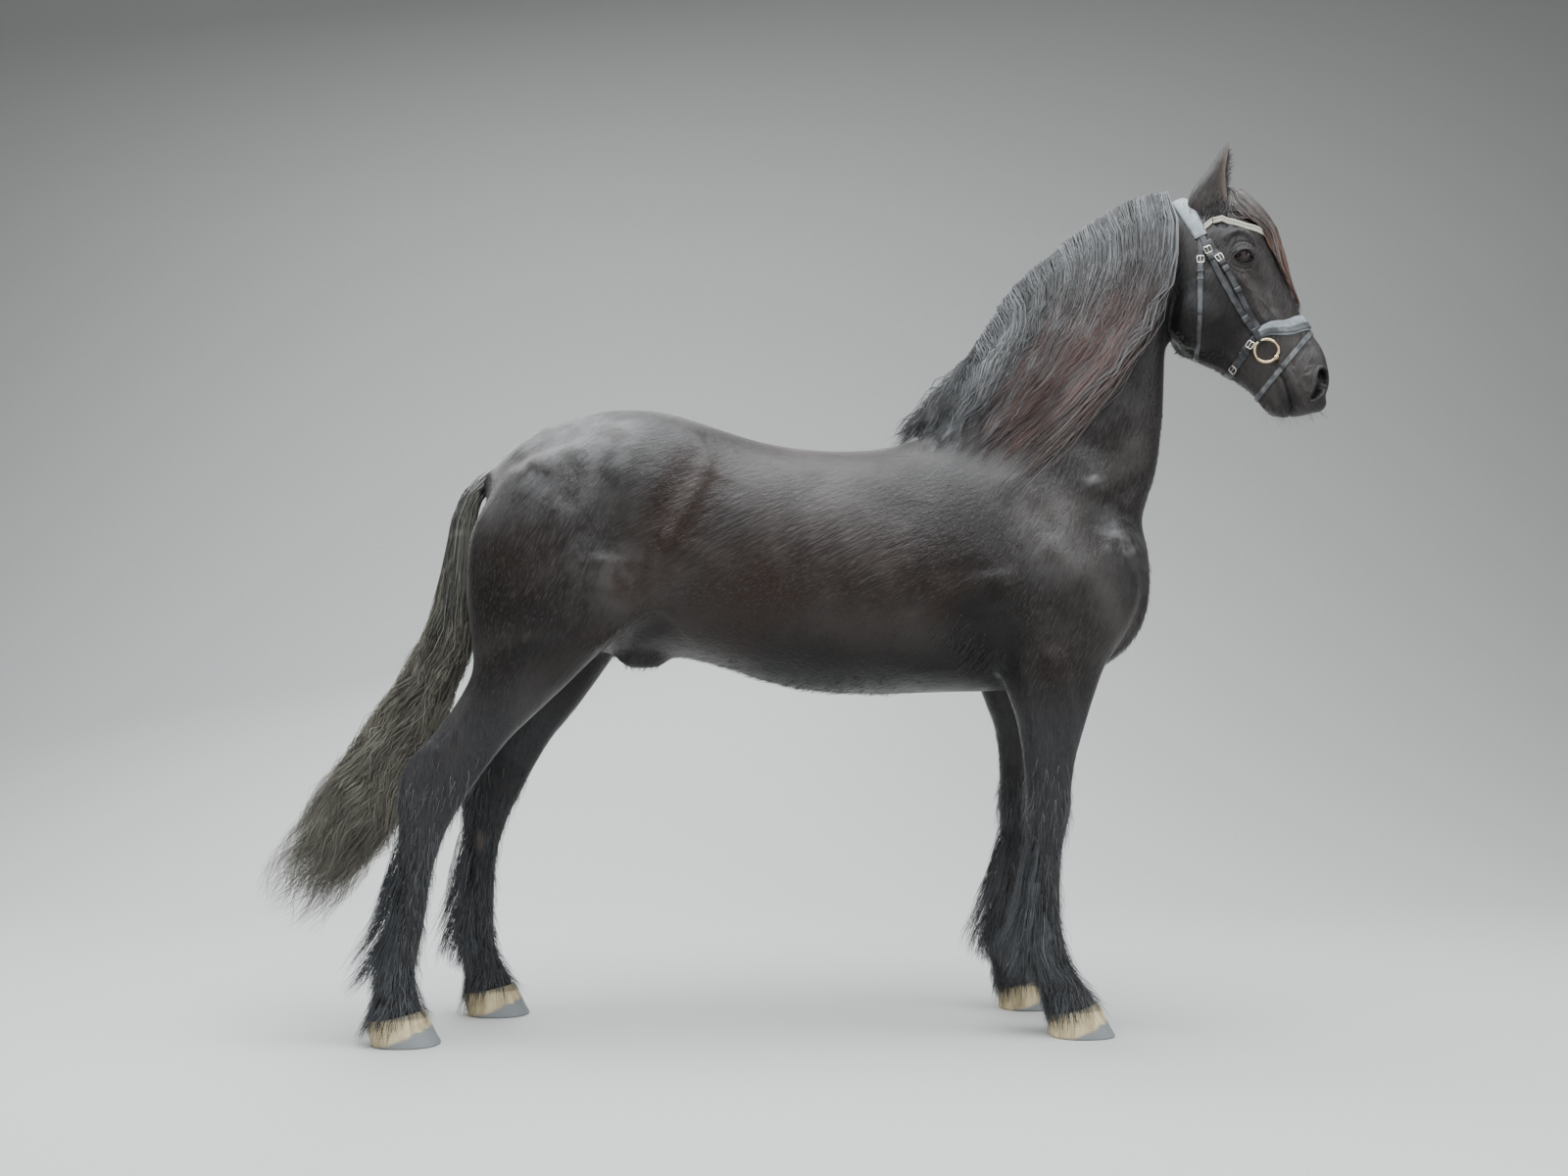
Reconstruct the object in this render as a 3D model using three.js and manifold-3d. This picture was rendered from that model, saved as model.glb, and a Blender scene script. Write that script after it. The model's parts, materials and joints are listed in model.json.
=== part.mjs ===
// A Friesian horse standing, life size, as a still museum model, wearing a bridle without reins.
// Millimetres. +X is forward, +Y is the horse's left, +Z is up, and the soles stand at z = 0.
// The body is drawn straight first. One sideways bend then turns the neck and head to the right.
import * as THREE from "three";
import { mergeVertices } from "three/addons/utils/BufferGeometryUtils.js";
import Module from "manifold-3d";

const wasm = await Module();
wasm.setup();

// Driving sizes
const GAP = 0.5; // width of the thin cuts between nodes
const CLEAR = 0.45; // how far a node stays off the form that it lies on
const SETTLE_CELLS = [0.002, 0.0027, 0.0033, 0.0023]; // points closer than this become one
const TURN = THREE.MathUtils.degToRad(14); // how far the head looks to the right
const TURN_START = 600; // where along the body the neck begins to turn
const TURN_END = 1150; // where the turn is complete, at the poll
const TURN_FLOOR = 1120; // nothing below this height turns
const TURN_FULL = 1420; // all above this height turns fully
const POLL_CUT = 1072; // plane between neck and head
const NECK_CUT = { back: [436, 1612], front: [1010, 1372] }; // plane between torso and neck, side view
const FORE_CUT = 862; // height of the plane under the elbows
const HIND_CUT = { front: [-430, 962], back: [-900, 905] }; // plane between thigh and gaskin
const KNEE_CUT = 505; // height of the plane under the knee
const HOCK_CUT = 520; // height of the plane under the hock
const EYE = { x: 1265, z: 2044, radius: 21, sunk: 11 };
const RIGHT = -1;
const LEFT = 1;

const COLOURS = {
  coat: new THREE.MeshStandardMaterial({ color: 0x2c2725, roughness: 0.5, metalness: 0 }),
  hair: new THREE.MeshStandardMaterial({ color: 0x3a3a38, roughness: 0.6, metalness: 0 }),
  hoof: new THREE.MeshStandardMaterial({ color: 0xb8a888, roughness: 0.75, metalness: 0 }),
  eye: new THREE.MeshStandardMaterial({ color: 0x1c100b, roughness: 0.1, metalness: 0 }),
  leather: new THREE.MeshStandardMaterial({ color: 0x1d1e20, roughness: 0.45, metalness: 0 }),
  padding: new THREE.MeshStandardMaterial({ color: 0x8492a0, roughness: 0.5, metalness: 0 }),
  braid: new THREE.MeshStandardMaterial({ color: 0xc9c6ae, roughness: 0.5, metalness: 0 }),
  brass: new THREE.MeshStandardMaterial({ color: 0xc8ac6a, roughness: 0.25, metalness: 1 }),
};

// Numbers and curves
const lerp = THREE.MathUtils.lerp;
const clamp = THREE.MathUtils.clamp;
const vec = (x, y, z) => new THREE.Vector3(x, y, z);

/** A seeded random source, so that every build gives the same locks. */
function randomSource(seed) {
  let state = seed;
  return () => {
    state = (state * 1664525 + 1013904223) % 4294967296;
    return state / 4294967296;
  };
}

/** The value at x of a list of [x, value] pairs in rising order of x. */
function along(pairs, x) {
  if (x <= pairs[0][0]) return pairs[0][1];
  for (let i = 1; i < pairs.length; i++) {
    const [x0, v0] = pairs[i - 1];
    const [x1, v1] = pairs[i];
    if (x <= x1) return lerp(v0, v1, (x - x0) / (x1 - x0));
  }
  return pairs[pairs.length - 1][1];
}

/** Turns the neck and head to the right: maps a point of the straight horse to the posed one. */
function bend(p) {
  const turn = TURN * THREE.MathUtils.smoothstep(p.z, TURN_FLOOR, TURN_FULL);
  if (p.x <= TURN_START || turn < 1e-6) return p.clone();
  const radius = (TURN_END - TURN_START) / turn;
  const angle = turn * clamp((p.x - TURN_START) / (TURN_END - TURN_START), 0, 1);
  const beyond = Math.max(0, p.x - TURN_END);
  const x = TURN_START + radius * Math.sin(angle) + beyond * Math.cos(angle);
  const y = -radius * (1 - Math.cos(angle)) - beyond * Math.sin(angle);
  return vec(x + p.y * Math.sin(angle), y + p.y * Math.cos(angle), p.z);
}

// Closed meshes and solids

/** A closed triangle mesh from points and faces, turned so that its faces point out. */
function closedGeometry(points, faces) {
  let volume = 0;
  for (const [a, b, c] of faces)
    volume += points[a].dot(points[b].clone().cross(points[c]));
  const index = faces.flatMap(([a, b, c]) => (volume < 0 ? [a, c, b] : [a, b, c]));
  const geometry = new THREE.BufferGeometry().setFromPoints(points);
  geometry.setIndex(index);
  return geometry;
}

/** A tube through rings of equal length, with both ends closed. */
function ringsGeometry(rings) {
  const sides = rings[0].length;
  const points = rings.flat();
  const faces = [];
  for (let r = 0; r + 1 < rings.length; r++)
    for (let s = 0; s < sides; s++) {
      const [a, b] = [r * sides + s, r * sides + ((s + 1) % sides)];
      faces.push([a, b, a + sides], [b, b + sides, a + sides]);
    }
  for (const [ring, first, flip] of [
    [rings[0], 0, true],
    [rings[rings.length - 1], (rings.length - 1) * sides, false],
  ]) {
    const hub = points.length;
    const middle = ring.reduce((sum, p) => sum.add(p), vec(0, 0, 0));
    points.push(middle.divideScalar(sides));
    for (let s = 0; s < sides; s++) {
      const [a, b] = [first + s, first + ((s + 1) % sides)];
      faces.push(flip ? [b, a, hub] : [a, b, hub]);
    }
  }
  return closedGeometry(points, faces);
}

/** The solid of a geometry as it stands, with points that coincide made one. */
function plainSolid(geometry) {
  const bare = geometry.clone();
  bare.deleteAttribute("normal");
  bare.deleteAttribute("uv");
  const merged = mergeVertices(bare, 1e-3);
  return new wasm.Manifold(
    new wasm.Mesh({
      numProp: 3,
      vertProperties: new Float32Array(merged.attributes.position.array),
      triVerts: new Uint32Array(merged.index.array),
    }),
  );
}

/** The posed solid of a geometry of the straight horse. */
function solid(geometry) {
  const posed = geometry.clone();
  const { position } = posed.attributes;
  for (let i = 0; i < position.count; i++)
    position.setXYZ(i, ...bend(vec().fromBufferAttribute(position, i)).toArray());
  return plainSolid(posed);
}

/** The geometry of a solid. */
function meshOf(body) {
  const { vertProperties, triVerts } = body.getMesh();
  const geometry = new THREE.BufferGeometry();
  geometry.setAttribute("position", new THREE.BufferAttribute(vertProperties, 3));
  geometry.setIndex(new THREE.BufferAttribute(triVerts, 1));
  return geometry;
}

const join = (solids) => wasm.Manifold.union(solids);

/** The piece with the most volume, which drops loose scraps. */
function largest(body) {
  const pieces = body.decompose();
  return pieces.reduce((best, piece) => (piece.volume() > best.volume() ? piece : best));
}

/** The faces that are left once points nearer than a cell are one and closed-up flaps are gone. */
function tidyFaces(body, cell) {
  const { attributes, index } = mergeVertices(meshOf(body), cell);
  const faces = new Map();
  for (let i = 0; i < index.count; i += 3) {
    const face = [index.getX(i), index.getX(i + 1), index.getX(i + 2)];
    if (new Set(face).size < 3) continue;
    while (face[0] !== Math.min(...face)) face.push(face.shift());
    const [a, b, c] = face;
    const back = [a, c, b].join();
    if (faces.get(back)?.length) faces.get(back).pop();
    else faces.set(face.join(), [...(faces.get(face.join()) ?? []), face]);
  }
  const geometry = new THREE.BufferGeometry();
  geometry.setAttribute("position", attributes.position);
  geometry.setIndex([...faces.values()].flat(2));
  return geometry;
}

/** Cuts a body back from the grown forms that it lies on. */
const clearOf = (body, grownForms) => grownForms.reduce((left, form) => left.subtract(form), body);

/**
 * A body whose nearly coincident points are made one, without the flaps and hollows that this
 * closes up. The rounds use unlike cells, so that no pair straddles a cell's edge each time.
 */
const settled = (body) =>
  SETTLE_CELLS.reduce((rest, cell) => largest(plainSolid(tidyFaces(rest, cell))), body);

/** An ellipsoid's geometry, with its own centre, radii and turn about Y. */
function ellipsoid(centre, radii, { tilt = 0, around = 8, down = 6, grown = 0 } = {}) {
  const geometry = new THREE.SphereGeometry(1, around, down);
  geometry.scale(...radii.map((radius) => radius + grown));
  geometry.rotateY(tilt);
  geometry.translate(...centre);
  return geometry;
}

/** All that lies below a slanted plane through two side-view points, as a large block. */
function below([x0, z0], [x1, z1], { xMin, xMax, yMin, yMax, drop, shift = 0 }) {
  const height = (x) => z0 + ((z1 - z0) * (x - x0)) / (x1 - x0) + shift;
  const rings = [xMin, xMax].map((x) => [
    vec(x, yMin, height(x) - drop),
    vec(x, yMax, height(x) - drop),
    vec(x, yMax, height(x)),
    vec(x, yMin, height(x)),
  ]);
  return plainSolid(ringsGeometry(rings));
}

// Ovals: cross-sections that are seen edge-on from the side

/**
 * One oval spans from its upper (or front) point to its lower (or back) point in the side view and
 * reaches `half` to each side of y. A positive egg narrows the upper end, and power squares it off.
 */
function oval(upper, lower, half, { y = 0, egg = 0, power = 2 } = {}) {
  return [...upper, ...lower, half, y, egg, power];
}

/** The ring of points of an oval. side -1 is the horse's right. */
function ovalRing([ux, uz, lx, lz, half, y, egg, power], sides, side) {
  const ring = [];
  for (let i = 0; i < sides; i++) {
    const angle = Math.PI / 2 + (2 * Math.PI * i) / sides;
    const rounded = (v) => Math.sign(v) * Math.abs(v) ** (2 / power);
    const [across, up] = [rounded(Math.cos(angle)), rounded(Math.sin(angle))];
    ring.push(
      vec(
        (ux + lx) / 2 + (up * (ux - lx)) / 2,
        side * y + across * half * (1 - egg * up),
        (uz + lz) / 2 + (up * (uz - lz)) / 2,
      ),
    );
  }
  return ring;
}

/** Ovals between the given ones, on a smooth curve through them. */
function smoothOvals(ovals, steps) {
  const made = [];
  const at = (i) => ovals[clamp(i, 0, ovals.length - 1)];
  for (let i = 0; i + 1 < ovals.length; i++)
    for (let s = 0; s < steps; s++) {
      const t = s / steps;
      made.push(
        at(i).map((p1, k) => {
          const [p0, p2, p3] = [at(i - 1)[k], at(i + 1)[k], at(i + 2)[k]];
          const slope = (p2 - p0) * t;
          const bow = (2 * p0 - 5 * p1 + 4 * p2 - p3) * t ** 2;
          const twist = (3 * p1 - p0 - 3 * p2 + p3) * t ** 3;
          return p1 + 0.5 * (slope + bow + twist);
        }),
      );
    }
  made.push(ovals[ovals.length - 1]);
  return made;
}

/** Ovals that reach further out all round. */
function grow(ovals, by = CLEAR) {
  return ovals.map(([ux, uz, lx, lz, half, ...rest]) => {
    const span = Math.hypot(ux - lx, uz - lz);
    const [dx, dz] = [(by * (ux - lx)) / span, (by * (uz - lz)) / span];
    return [ux + dx, uz + dz, lx - dx, lz - dz, half + by, ...rest];
  });
}

/** A loft through ovals. */
function loft(ovals, { sides, steps = 1, side = RIGHT }) {
  return ringsGeometry(smoothOvals(ovals, steps).map((o) => ovalRing(o, sides, side)));
}

// The body's ovals

const TORSO = [
  oval([-800, 1440], [-800, 1120], 90),
  oval([-760, 1513], [-760, 1040], 165),
  oval([-680, 1576], [-680, 1000], 222),
  oval([-560, 1626], [-560, 985], 258, { egg: -0.04 }),
  oval([-430, 1643], [-430, 975], 280, { egg: -0.04, power: 2.1 }),
  oval([-300, 1630], [-300, 968], 284, { power: 2.1 }),
  oval([-170, 1590], [-170, 940], 272, { egg: 0.05, power: 2.1 }),
  oval([-50, 1555], [-50, 900], 284, { egg: 0.08 }),
  oval([80, 1538], [80, 874], 306, { egg: 0.1 }),
  oval([220, 1538], [220, 866], 314, { egg: 0.12 }),
  oval([340, 1562], [340, 867], 300, { egg: 0.17 }),
  oval([450, 1600], [450, 870], 272, { egg: 0.26 }),
  oval([570, 1600], [570, 873], 246, { egg: 0.26 }),
  oval([700, 1560], [700, 885], 226, { egg: 0.15 }),
  oval([820, 1480], [820, 915], 202),
  oval([910, 1410], [910, 965], 165),
  oval([970, 1350], [970, 1035], 116),
  oval([998, 1280], [998, 1130], 55),
];

const NECK = [
  oval([430, 1585], [930, 1000], 205, { egg: 0.2 }),
  oval([478, 1688], [985, 1330], 160, { egg: 0.3 }),
  oval([558, 1828], [1030, 1470], 130, { egg: 0.3 }),
  oval([680, 1985], [1048, 1610], 110, { egg: 0.28 }),
  oval([828, 2112], [1055, 1730], 98, { egg: 0.24 }),
  oval([968, 2199], [1063, 1822], 91, { egg: 0.16 }),
  oval([1085, 2227], [1100, 1858], 73, { egg: 0.05 }),
];

const HEAD = [
  oval([1060, 2222], [1062, 1880], 72),
  oval([1150, 2252], [1085, 1842], 84, { power: 2.2 }),
  oval([1226, 2242], [1108, 1806], 97, { egg: -0.05, power: 2.3 }),
  oval([1288, 2192], [1140, 1780], 101, { egg: -0.12, power: 2.4 }),
  oval([1327, 2136], [1180, 1760], 97, { egg: -0.1, power: 2.4 }),
  oval([1355, 2075], [1215, 1738], 86, { egg: 0, power: 2.3 }),
  oval([1380, 2010], [1245, 1715], 75, { egg: 0.12, power: 2.2 }),
  oval([1403, 1950], [1270, 1693], 66, { egg: 0.16, power: 2.2 }),
  oval([1425, 1890], [1290, 1672], 58, { egg: 0.14, power: 2.2 }),
  oval([1450, 1842], [1302, 1650], 55, { egg: 0.08, power: 2.2 }),
  oval([1476, 1795], [1318, 1630], 57, { power: 2.2 }),
  oval([1488, 1740], [1345, 1617], 57, { power: 2.2 }),
  oval([1488, 1695], [1380, 1612], 50),
  oval([1470, 1656], [1420, 1613], 32),
];

const FORELEG = [
  oval([700, 1480], [430, 1400], 92, { y: 105 }),
  oval([855, 1300], [450, 1235], 112, { y: 128 }),
  oval([945, 1165], [478, 1095], 114, { y: 143 }),
  oval([910, 1035], [510, 990], 98, { y: 158 }),
  oval([838, 940], [548, 918], 80, { y: 170 }),
  oval([803, 862], [572, 850], 68, { y: 180 }),
  oval([777, 790], [592, 780], 60, { y: 185 }),
  oval([746, 690], [605, 682], 51, { y: 188 }),
  oval([732, 612], [608, 603], 52, { y: 189, power: 2.3 }),
  oval([726, 552], [608, 546], 50, { y: 190, power: 2.3 }),
  oval([709, 480], [620, 475], 40, { y: 190 }),
  oval([700, 400], [617, 396], 35, { y: 190 }),
  oval([699, 300], [611, 296], 35, { y: 190 }),
  oval([708, 224], [603, 208], 45, { y: 190 }),
  oval([731, 160], [634, 138], 41, { y: 190 }),
  oval([770, 108], [655, 82], 50, { y: 190 }),
  oval([786, 84], [662, 58], 56, { y: 190 }),
];

const HINDLEG = [
  oval([-420, 1540], [-745, 1440], 125, { y: 115 }),
  oval([-330, 1335], [-822, 1300], 143, { y: 148 }),
  oval([-335, 1180], [-836, 1185], 142, { y: 157 }),
  oval([-382, 1070], [-831, 1085], 125, { y: 167 }),
  oval([-448, 1000], [-818, 1008], 108, { y: 176 }),
  oval([-532, 918], [-808, 932], 88, { y: 182 }),
  oval([-622, 830], [-836, 862], 71, { y: 186 }),
  oval([-700, 755], [-886, 785], 58, { y: 188 }),
  oval([-757, 682], [-945, 715], 49, { y: 190 }),
  oval([-792, 633], [-980, 662], 50, { y: 190, power: 2.3 }),
  oval([-824, 583], [-986, 598], 51, { y: 190, power: 2.3 }),
  oval([-850, 538], [-985, 542], 45, { y: 190 }),
  oval([-878, 468], [-984, 468], 37, { y: 190 }),
  oval([-896, 390], [-988, 387], 34, { y: 190 }),
  oval([-907, 300], [-1000, 296], 35, { y: 190 }),
  oval([-922, 226], [-1022, 214], 44, { y: 190 }),
  oval([-930, 165], [-1024, 148], 41, { y: 190 }),
  oval([-918, 108], [-1036, 84], 50, { y: 190 }),
  oval([-906, 84], [-1050, 58], 56, { y: 190 }),
];

// Where the left legs stand, ahead of or behind the right ones, by height
const STANCE = {
  fore: {
    [RIGHT]: [[0, 0]],
    [LEFT]: [
      [0, -60],
      [100, -50],
      [215, -28],
      [400, -2],
      [560, 8],
      [750, 14],
      [900, 0],
    ],
  },
  hind: {
    [RIGHT]: [[0, 0]],
    [LEFT]: [
      [0, 186],
      [100, 170],
      [215, 134],
      [320, 112],
      [600, 92],
      [800, 57],
      [900, 28],
      [1000, 0],
    ],
  },
};

/** A leg's ovals with each point moved forward as the stance says. */
function stand(ovals, stance) {
  return ovals.map(([ux, uz, lx, lz, ...rest]) => [
    ux + along(stance, uz),
    uz,
    lx + along(stance, lz),
    lz,
    ...rest,
  ]);
}

const SIDES = [
  [RIGHT, "right"],
  [LEFT, "left"],
];
const LEGS = SIDES.flatMap(([side, sideName]) => [
  { end: "fore", side, sideName, ovals: stand(FORELEG, STANCE.fore[side]) },
  { end: "hind", side, sideName, ovals: stand(HINDLEG, STANCE.hind[side]) },
]);

const SIDES_OF = { torso: 18, neck: 16, head: 18, leg: 10 }; // how many sides each loft has

const bodyGeometries = [
  loft(TORSO, { sides: SIDES_OF.torso }),
  loft(NECK, { sides: SIDES_OF.neck }),
  loft(HEAD, { sides: SIDES_OF.head }),
  ...LEGS.map(({ ovals, side }) => loft(ovals, { sides: SIDES_OF.leg, side })),
];

// Finding the skin of the straight horse, to lay locks and straps on it

const skinMaterial = new THREE.MeshBasicMaterial({ side: THREE.DoubleSide });
const skinMeshes = bodyGeometries.map((geometry) => new THREE.Mesh(geometry, skinMaterial));

/** The outermost skin point within reach of a centre, or null where the ray meets nothing. */
function touch(centre, outward, reach = 700) {
  const from = centre.clone().addScaledVector(outward, reach);
  const ray = new THREE.Raycaster(from, outward.clone().negate(), 0, reach);
  const [hit] = ray.intersectObjects(skinMeshes, false);
  return hit ? hit.point : null;
}

/** How far the skin stands out sideways at a place in the side view. */
function breadth(x, z, side) {
  const hit = touch(vec(x, 0, z), vec(0, side, 0));
  return hit ? Math.abs(hit.y) : 0;
}

// Locks of long hair

/**
 * A flat, tapered lock along guide points, with a ring at each of the shares of its length. shape
 * gives its width by share, and outward the way its flat face looks there.
 */
function lock(guides, { width, thickness, shape, outward, shares }) {
  const curve = new THREE.CatmullRomCurve3(guides, false, "centripetal");
  const rings = [];
  for (const share of shares) {
    const point = curve.getPointAt(share);
    const tangent = curve.getTangentAt(share);
    const across = tangent.clone().cross(outward(share)).normalize();
    const face = across.clone().cross(tangent).normalize();
    const broad = (along(shape, share) * width) / 2;
    const deep = (lerp(1, 0.5, share) * thickness) / 2;
    rings.push([
      point.clone().addScaledVector(across, broad),
      point.clone().addScaledVector(face, deep),
      point.clone().addScaledVector(across, -broad),
      point.clone().addScaledVector(face, -deep),
    ]);
  }
  const points = rings.flat();
  const faces = [
    [0, 1, 2],
    [0, 2, 3],
  ];
  for (let r = 0; r + 1 < rings.length; r++)
    for (let s = 0; s < 4; s++) {
      const [a, b] = [r * 4 + s, r * 4 + ((s + 1) % 4)];
      faces.push([a, a + 4, b], [b, a + 4, b + 4]);
    }
  const tip = points.length;
  points.push(curve.getPointAt(1));
  const last = tip - 4;
  for (let s = 0; s < 4; s++) faces.push([last + s, tip, last + ((s + 1) % 4)]);
  return solid(closedGeometry(points, faces));
}

// Mane: locks that rise from the crest, fall to the right and sweep back over the shoulder

const crest = new THREE.CatmullRomCurve3(NECK.map(([x, z]) => vec(x, 0, z)));
const MANE = {
  locks: 16,
  lifts: [11, 26, 41], // locks side by side take turns at these heights over the skin
  reaches: [1, 0.93, 0.8],
  width: 134,
  thickness: 13,
  shape: [
    [0, 0.85],
    [0.2, 1],
    [0.5, 0.8],
    [0.8, 0.5],
    [1, 0.2],
  ],
  endX: [
    [0, 400],
    [0.3, 462],
    [0.55, 520],
    [0.8, 585],
    [1, 640],
  ],
  endZ: [
    [0, 1545],
    [0.3, 1520],
    [0.55, 1462],
    [0.8, 1408],
    [1, 1445],
  ],
};

/** One lock of the mane. place runs from the withers, 0, to the poll, 1. */
function maneLock(place, layer, random) {
  const root = crest.getPointAt(place);
  const tangent = crest.getTangentAt(place);
  const up = vec(-tangent.z, 0, tangent.x);
  const reach = MANE.reaches[layer];
  const lift = MANE.lifts[layer];
  const end = vec(
    lerp(root.x, along(MANE.endX, place), reach) + (random() - 0.5) * 44,
    0,
    lerp(root.z, along(MANE.endZ, place), reach) + (random() - 0.5) * 40,
  );
  const bow = vec(root.x + 14, 0, end.z + 0.45 * (root.z - end.z));
  const sway = (random() - 0.5) * 20;
  const guides = [
    root.clone().addScaledVector(up, -32),
    root.clone().addScaledVector(up, lift - 3).add(vec(0, -4, 0)),
  ];
  for (const t of [0.15, 0.35, 0.55, 0.78, 1]) {
    const [a, b, c] = [(1 - t) ** 2, 2 * t * (1 - t), t ** 2];
    const x = a * root.x + b * bow.x + c * end.x + sway * Math.sin(7 * t);
    const z = a * root.z + b * bow.z + c * end.z;
    guides.push(vec(x, -breadth(x, z, RIGHT) - lift * lerp(1, 0.7, t), z));
  }
  return lock(guides, {
    ...MANE,
    width: MANE.width * lerp(0.85, 1.1, random()),
    outward: (share) => (share === 0 ? vec(0, 1, 0) : vec(0, -1, Math.max(0, 1.4 - 9 * share))),
    shares: [0, 0.08, 0.22, 0.42, 0.63, 0.83],
  });
}

function mane() {
  const random = randomSource(11);
  return Array.from({ length: MANE.locks }, (_, i) =>
    maneLock(lerp(0.17, 0.985, i / (MANE.locks - 1)), i % MANE.lifts.length, random),
  );
}

// Forelock: locks that rise between the ears and lie down the middle of the face

const faceLine = new THREE.CatmullRomCurve3(HEAD.slice(1, 10).map(([x, z]) => vec(x, 0, z)));
const FORELOCK = {
  locks: 5,
  lifts: [10, 24],
  root: 0.1,
  tip: 0.8,
  width: 46,
  thickness: 12,
  shape: [
    [0, 0.32],
    [0.14, 0.5],
    [0.3, 1],
    [0.7, 0.7],
    [1, 0.25],
  ],
};

function forelock() {
  const random = randomSource(10);
  return Array.from({ length: FORELOCK.locks }, (_, i) => {
    const spread = (2 * i) / (FORELOCK.locks - 1) - 1;
    const tip = FORELOCK.tip - 0.26 * spread ** 2 - 0.08 * random();
    const guides = [0, 0.08, 0.25, 0.5, 0.75, 1].map((t, step) => {
      const place = lerp(FORELOCK.root, tip, t);
      const tangent = faceLine.getTangentAt(place);
      const outward = vec(-tangent.z, 0, tangent.x);
      const y = spread * along([[0, 8], [0.08, 10], [0.3, 44], [1, 30]], t);
      const centre = faceLine.getPointAt(place).addScaledVector(outward, -60).setY(y);
      const skin = touch(centre, outward) ?? centre;
      const lift = step === 0 ? -20 : FORELOCK.lifts[i % 2] + 6;
      return skin.addScaledVector(outward, lift);
    });
    return lock(guides, {
      ...FORELOCK,
      outward: (share) => (share === 0 ? vec(-1, 0, 0.2) : vec(0.9, 0.5 * spread, 0.4)),
      shares: [0, 0.14, 0.34, 0.58, 0.8],
    });
  });
}

// Tail: a tapering core round the dock, and locks that stream back from it

const tailLine = new THREE.CatmullRomCurve3([
  vec(-775, 0, 1465),
  vec(-828, 0, 1430),
  vec(-868, 0, 1350),
  vec(-880, 0, 1230),
  vec(-893, 0, 1090),
  vec(-928, 0, 950),
  vec(-1000, 0, 790),
  vec(-1085, 0, 640),
  vec(-1170, 0, 500),
  vec(-1282, 0, 340),
]);
const TAIL = {
  // half sizes at each share of the length: along the body's plane and across it
  deep: [
    [0, 22],
    [0.1, 28],
    [0.3, 44],
    [0.5, 66],
    [0.75, 98],
    [1, 128],
  ],
  wide: [
    [0, 24],
    [0.1, 32],
    [0.3, 54],
    [0.5, 70],
    [0.75, 88],
    [1, 96],
  ],
  coreEnd: 0.5,
  rows: [
    { locks: 7, rim: 0.95, start: 0.05, end: 1 },
    { locks: 3, rim: 0.5, start: 0.34, end: 1 },
  ],
  width: 124,
  thickness: 26,
  shape: [
    [0, 0.32],
    [0.3, 0.6],
    [0.65, 1],
    [0.85, 0.85],
    [1, 0.4],
  ],
};

function tailPoint(share, depth, width, inset) {
  const point = tailLine.getPointAt(share);
  const tangent = tailLine.getTangentAt(share);
  const back = vec(tangent.z, 0, -tangent.x);
  return point
    .addScaledVector(back, depth * inset * along(TAIL.deep, share))
    .add(vec(0, width * inset * along(TAIL.wide, share), 0));
}

function tailCore() {
  const shares = [0, 0.06, 0.14, 0.25, 0.38, TAIL.coreEnd];
  const rings = shares.map((share, i) => {
    const inset = i === shares.length - 1 ? 0.25 : 0.78;
    return Array.from({ length: 8 }, (_, s) => {
      const angle = (2 * Math.PI * s) / 8;
      return tailPoint(share, Math.cos(angle), Math.sin(angle), inset);
    });
  });
  return solid(ringsGeometry(rings));
}

function tailLocks() {
  const random = randomSource(23);
  return TAIL.rows.flatMap(({ locks, rim, start, end }, row) =>
    Array.from({ length: locks }, (_, i) => {
      const angle = (2 * Math.PI * (i + 0.5 * row + 0.2 * random())) / locks;
      const [depth, width] = [Math.cos(angle), Math.sin(angle)];
      const last = end - 0.09 * random();
      const guides = [0, 0.15, 0.4, 0.7, 1].map((t) => {
        const swell = t === 0 ? 0.45 * rim : rim * (1 + 0.06 * Math.sin(8 * t + 2 * i));
        return tailPoint(lerp(start, last, t), depth, width, swell);
      });
      return lock(guides, {
        ...TAIL,
        width: TAIL.width * lerp(0.85, 1.1, random()),
        outward: () => vec(-depth, width, -0.3 * depth),
        shares: [0, 0.2, 0.42, 0.64, 0.84],
      });
    }),
  );
}

// Feather: locks that grow round the back of the cannon and fetlock and fall over the hoof

const FEATHER = {
  tiers: [
    { root: 410, fall: 210, flare: 30, angles: [-38, 38] },
    { root: 300, fall: 200, flare: 62, angles: [-66, 0, 66] },
    { root: 205, fall: 150, flare: 58, angles: [-92, 0, 92] },
  ],
  width: 78,
  thickness: 15,
  shape: [
    [0, 0.7],
    [0.4, 1],
    [1, 0.45],
  ],
};

/** The leg's front, back and half breadth at a height. */
function legAt(ovals, z) {
  const rows = [...ovals].reverse();
  const at = (height, value) => along(rows.map((o) => [o[height], o[value]]), z);
  return { front: at(1, 0), back: at(3, 2), half: at(1, 4), y: at(1, 5) };
}

/** How far the leg reaches from its middle at a height, and that middle. */
function legReach({ ovals, side }, z, away) {
  const { front, back, half, y } = legAt(ovals, z);
  const middle = vec((front + back) / 2, side * y, z);
  return { middle, reach: 1 / Math.hypot((2 * away.x) / (front - back), away.y / half) };
}

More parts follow.
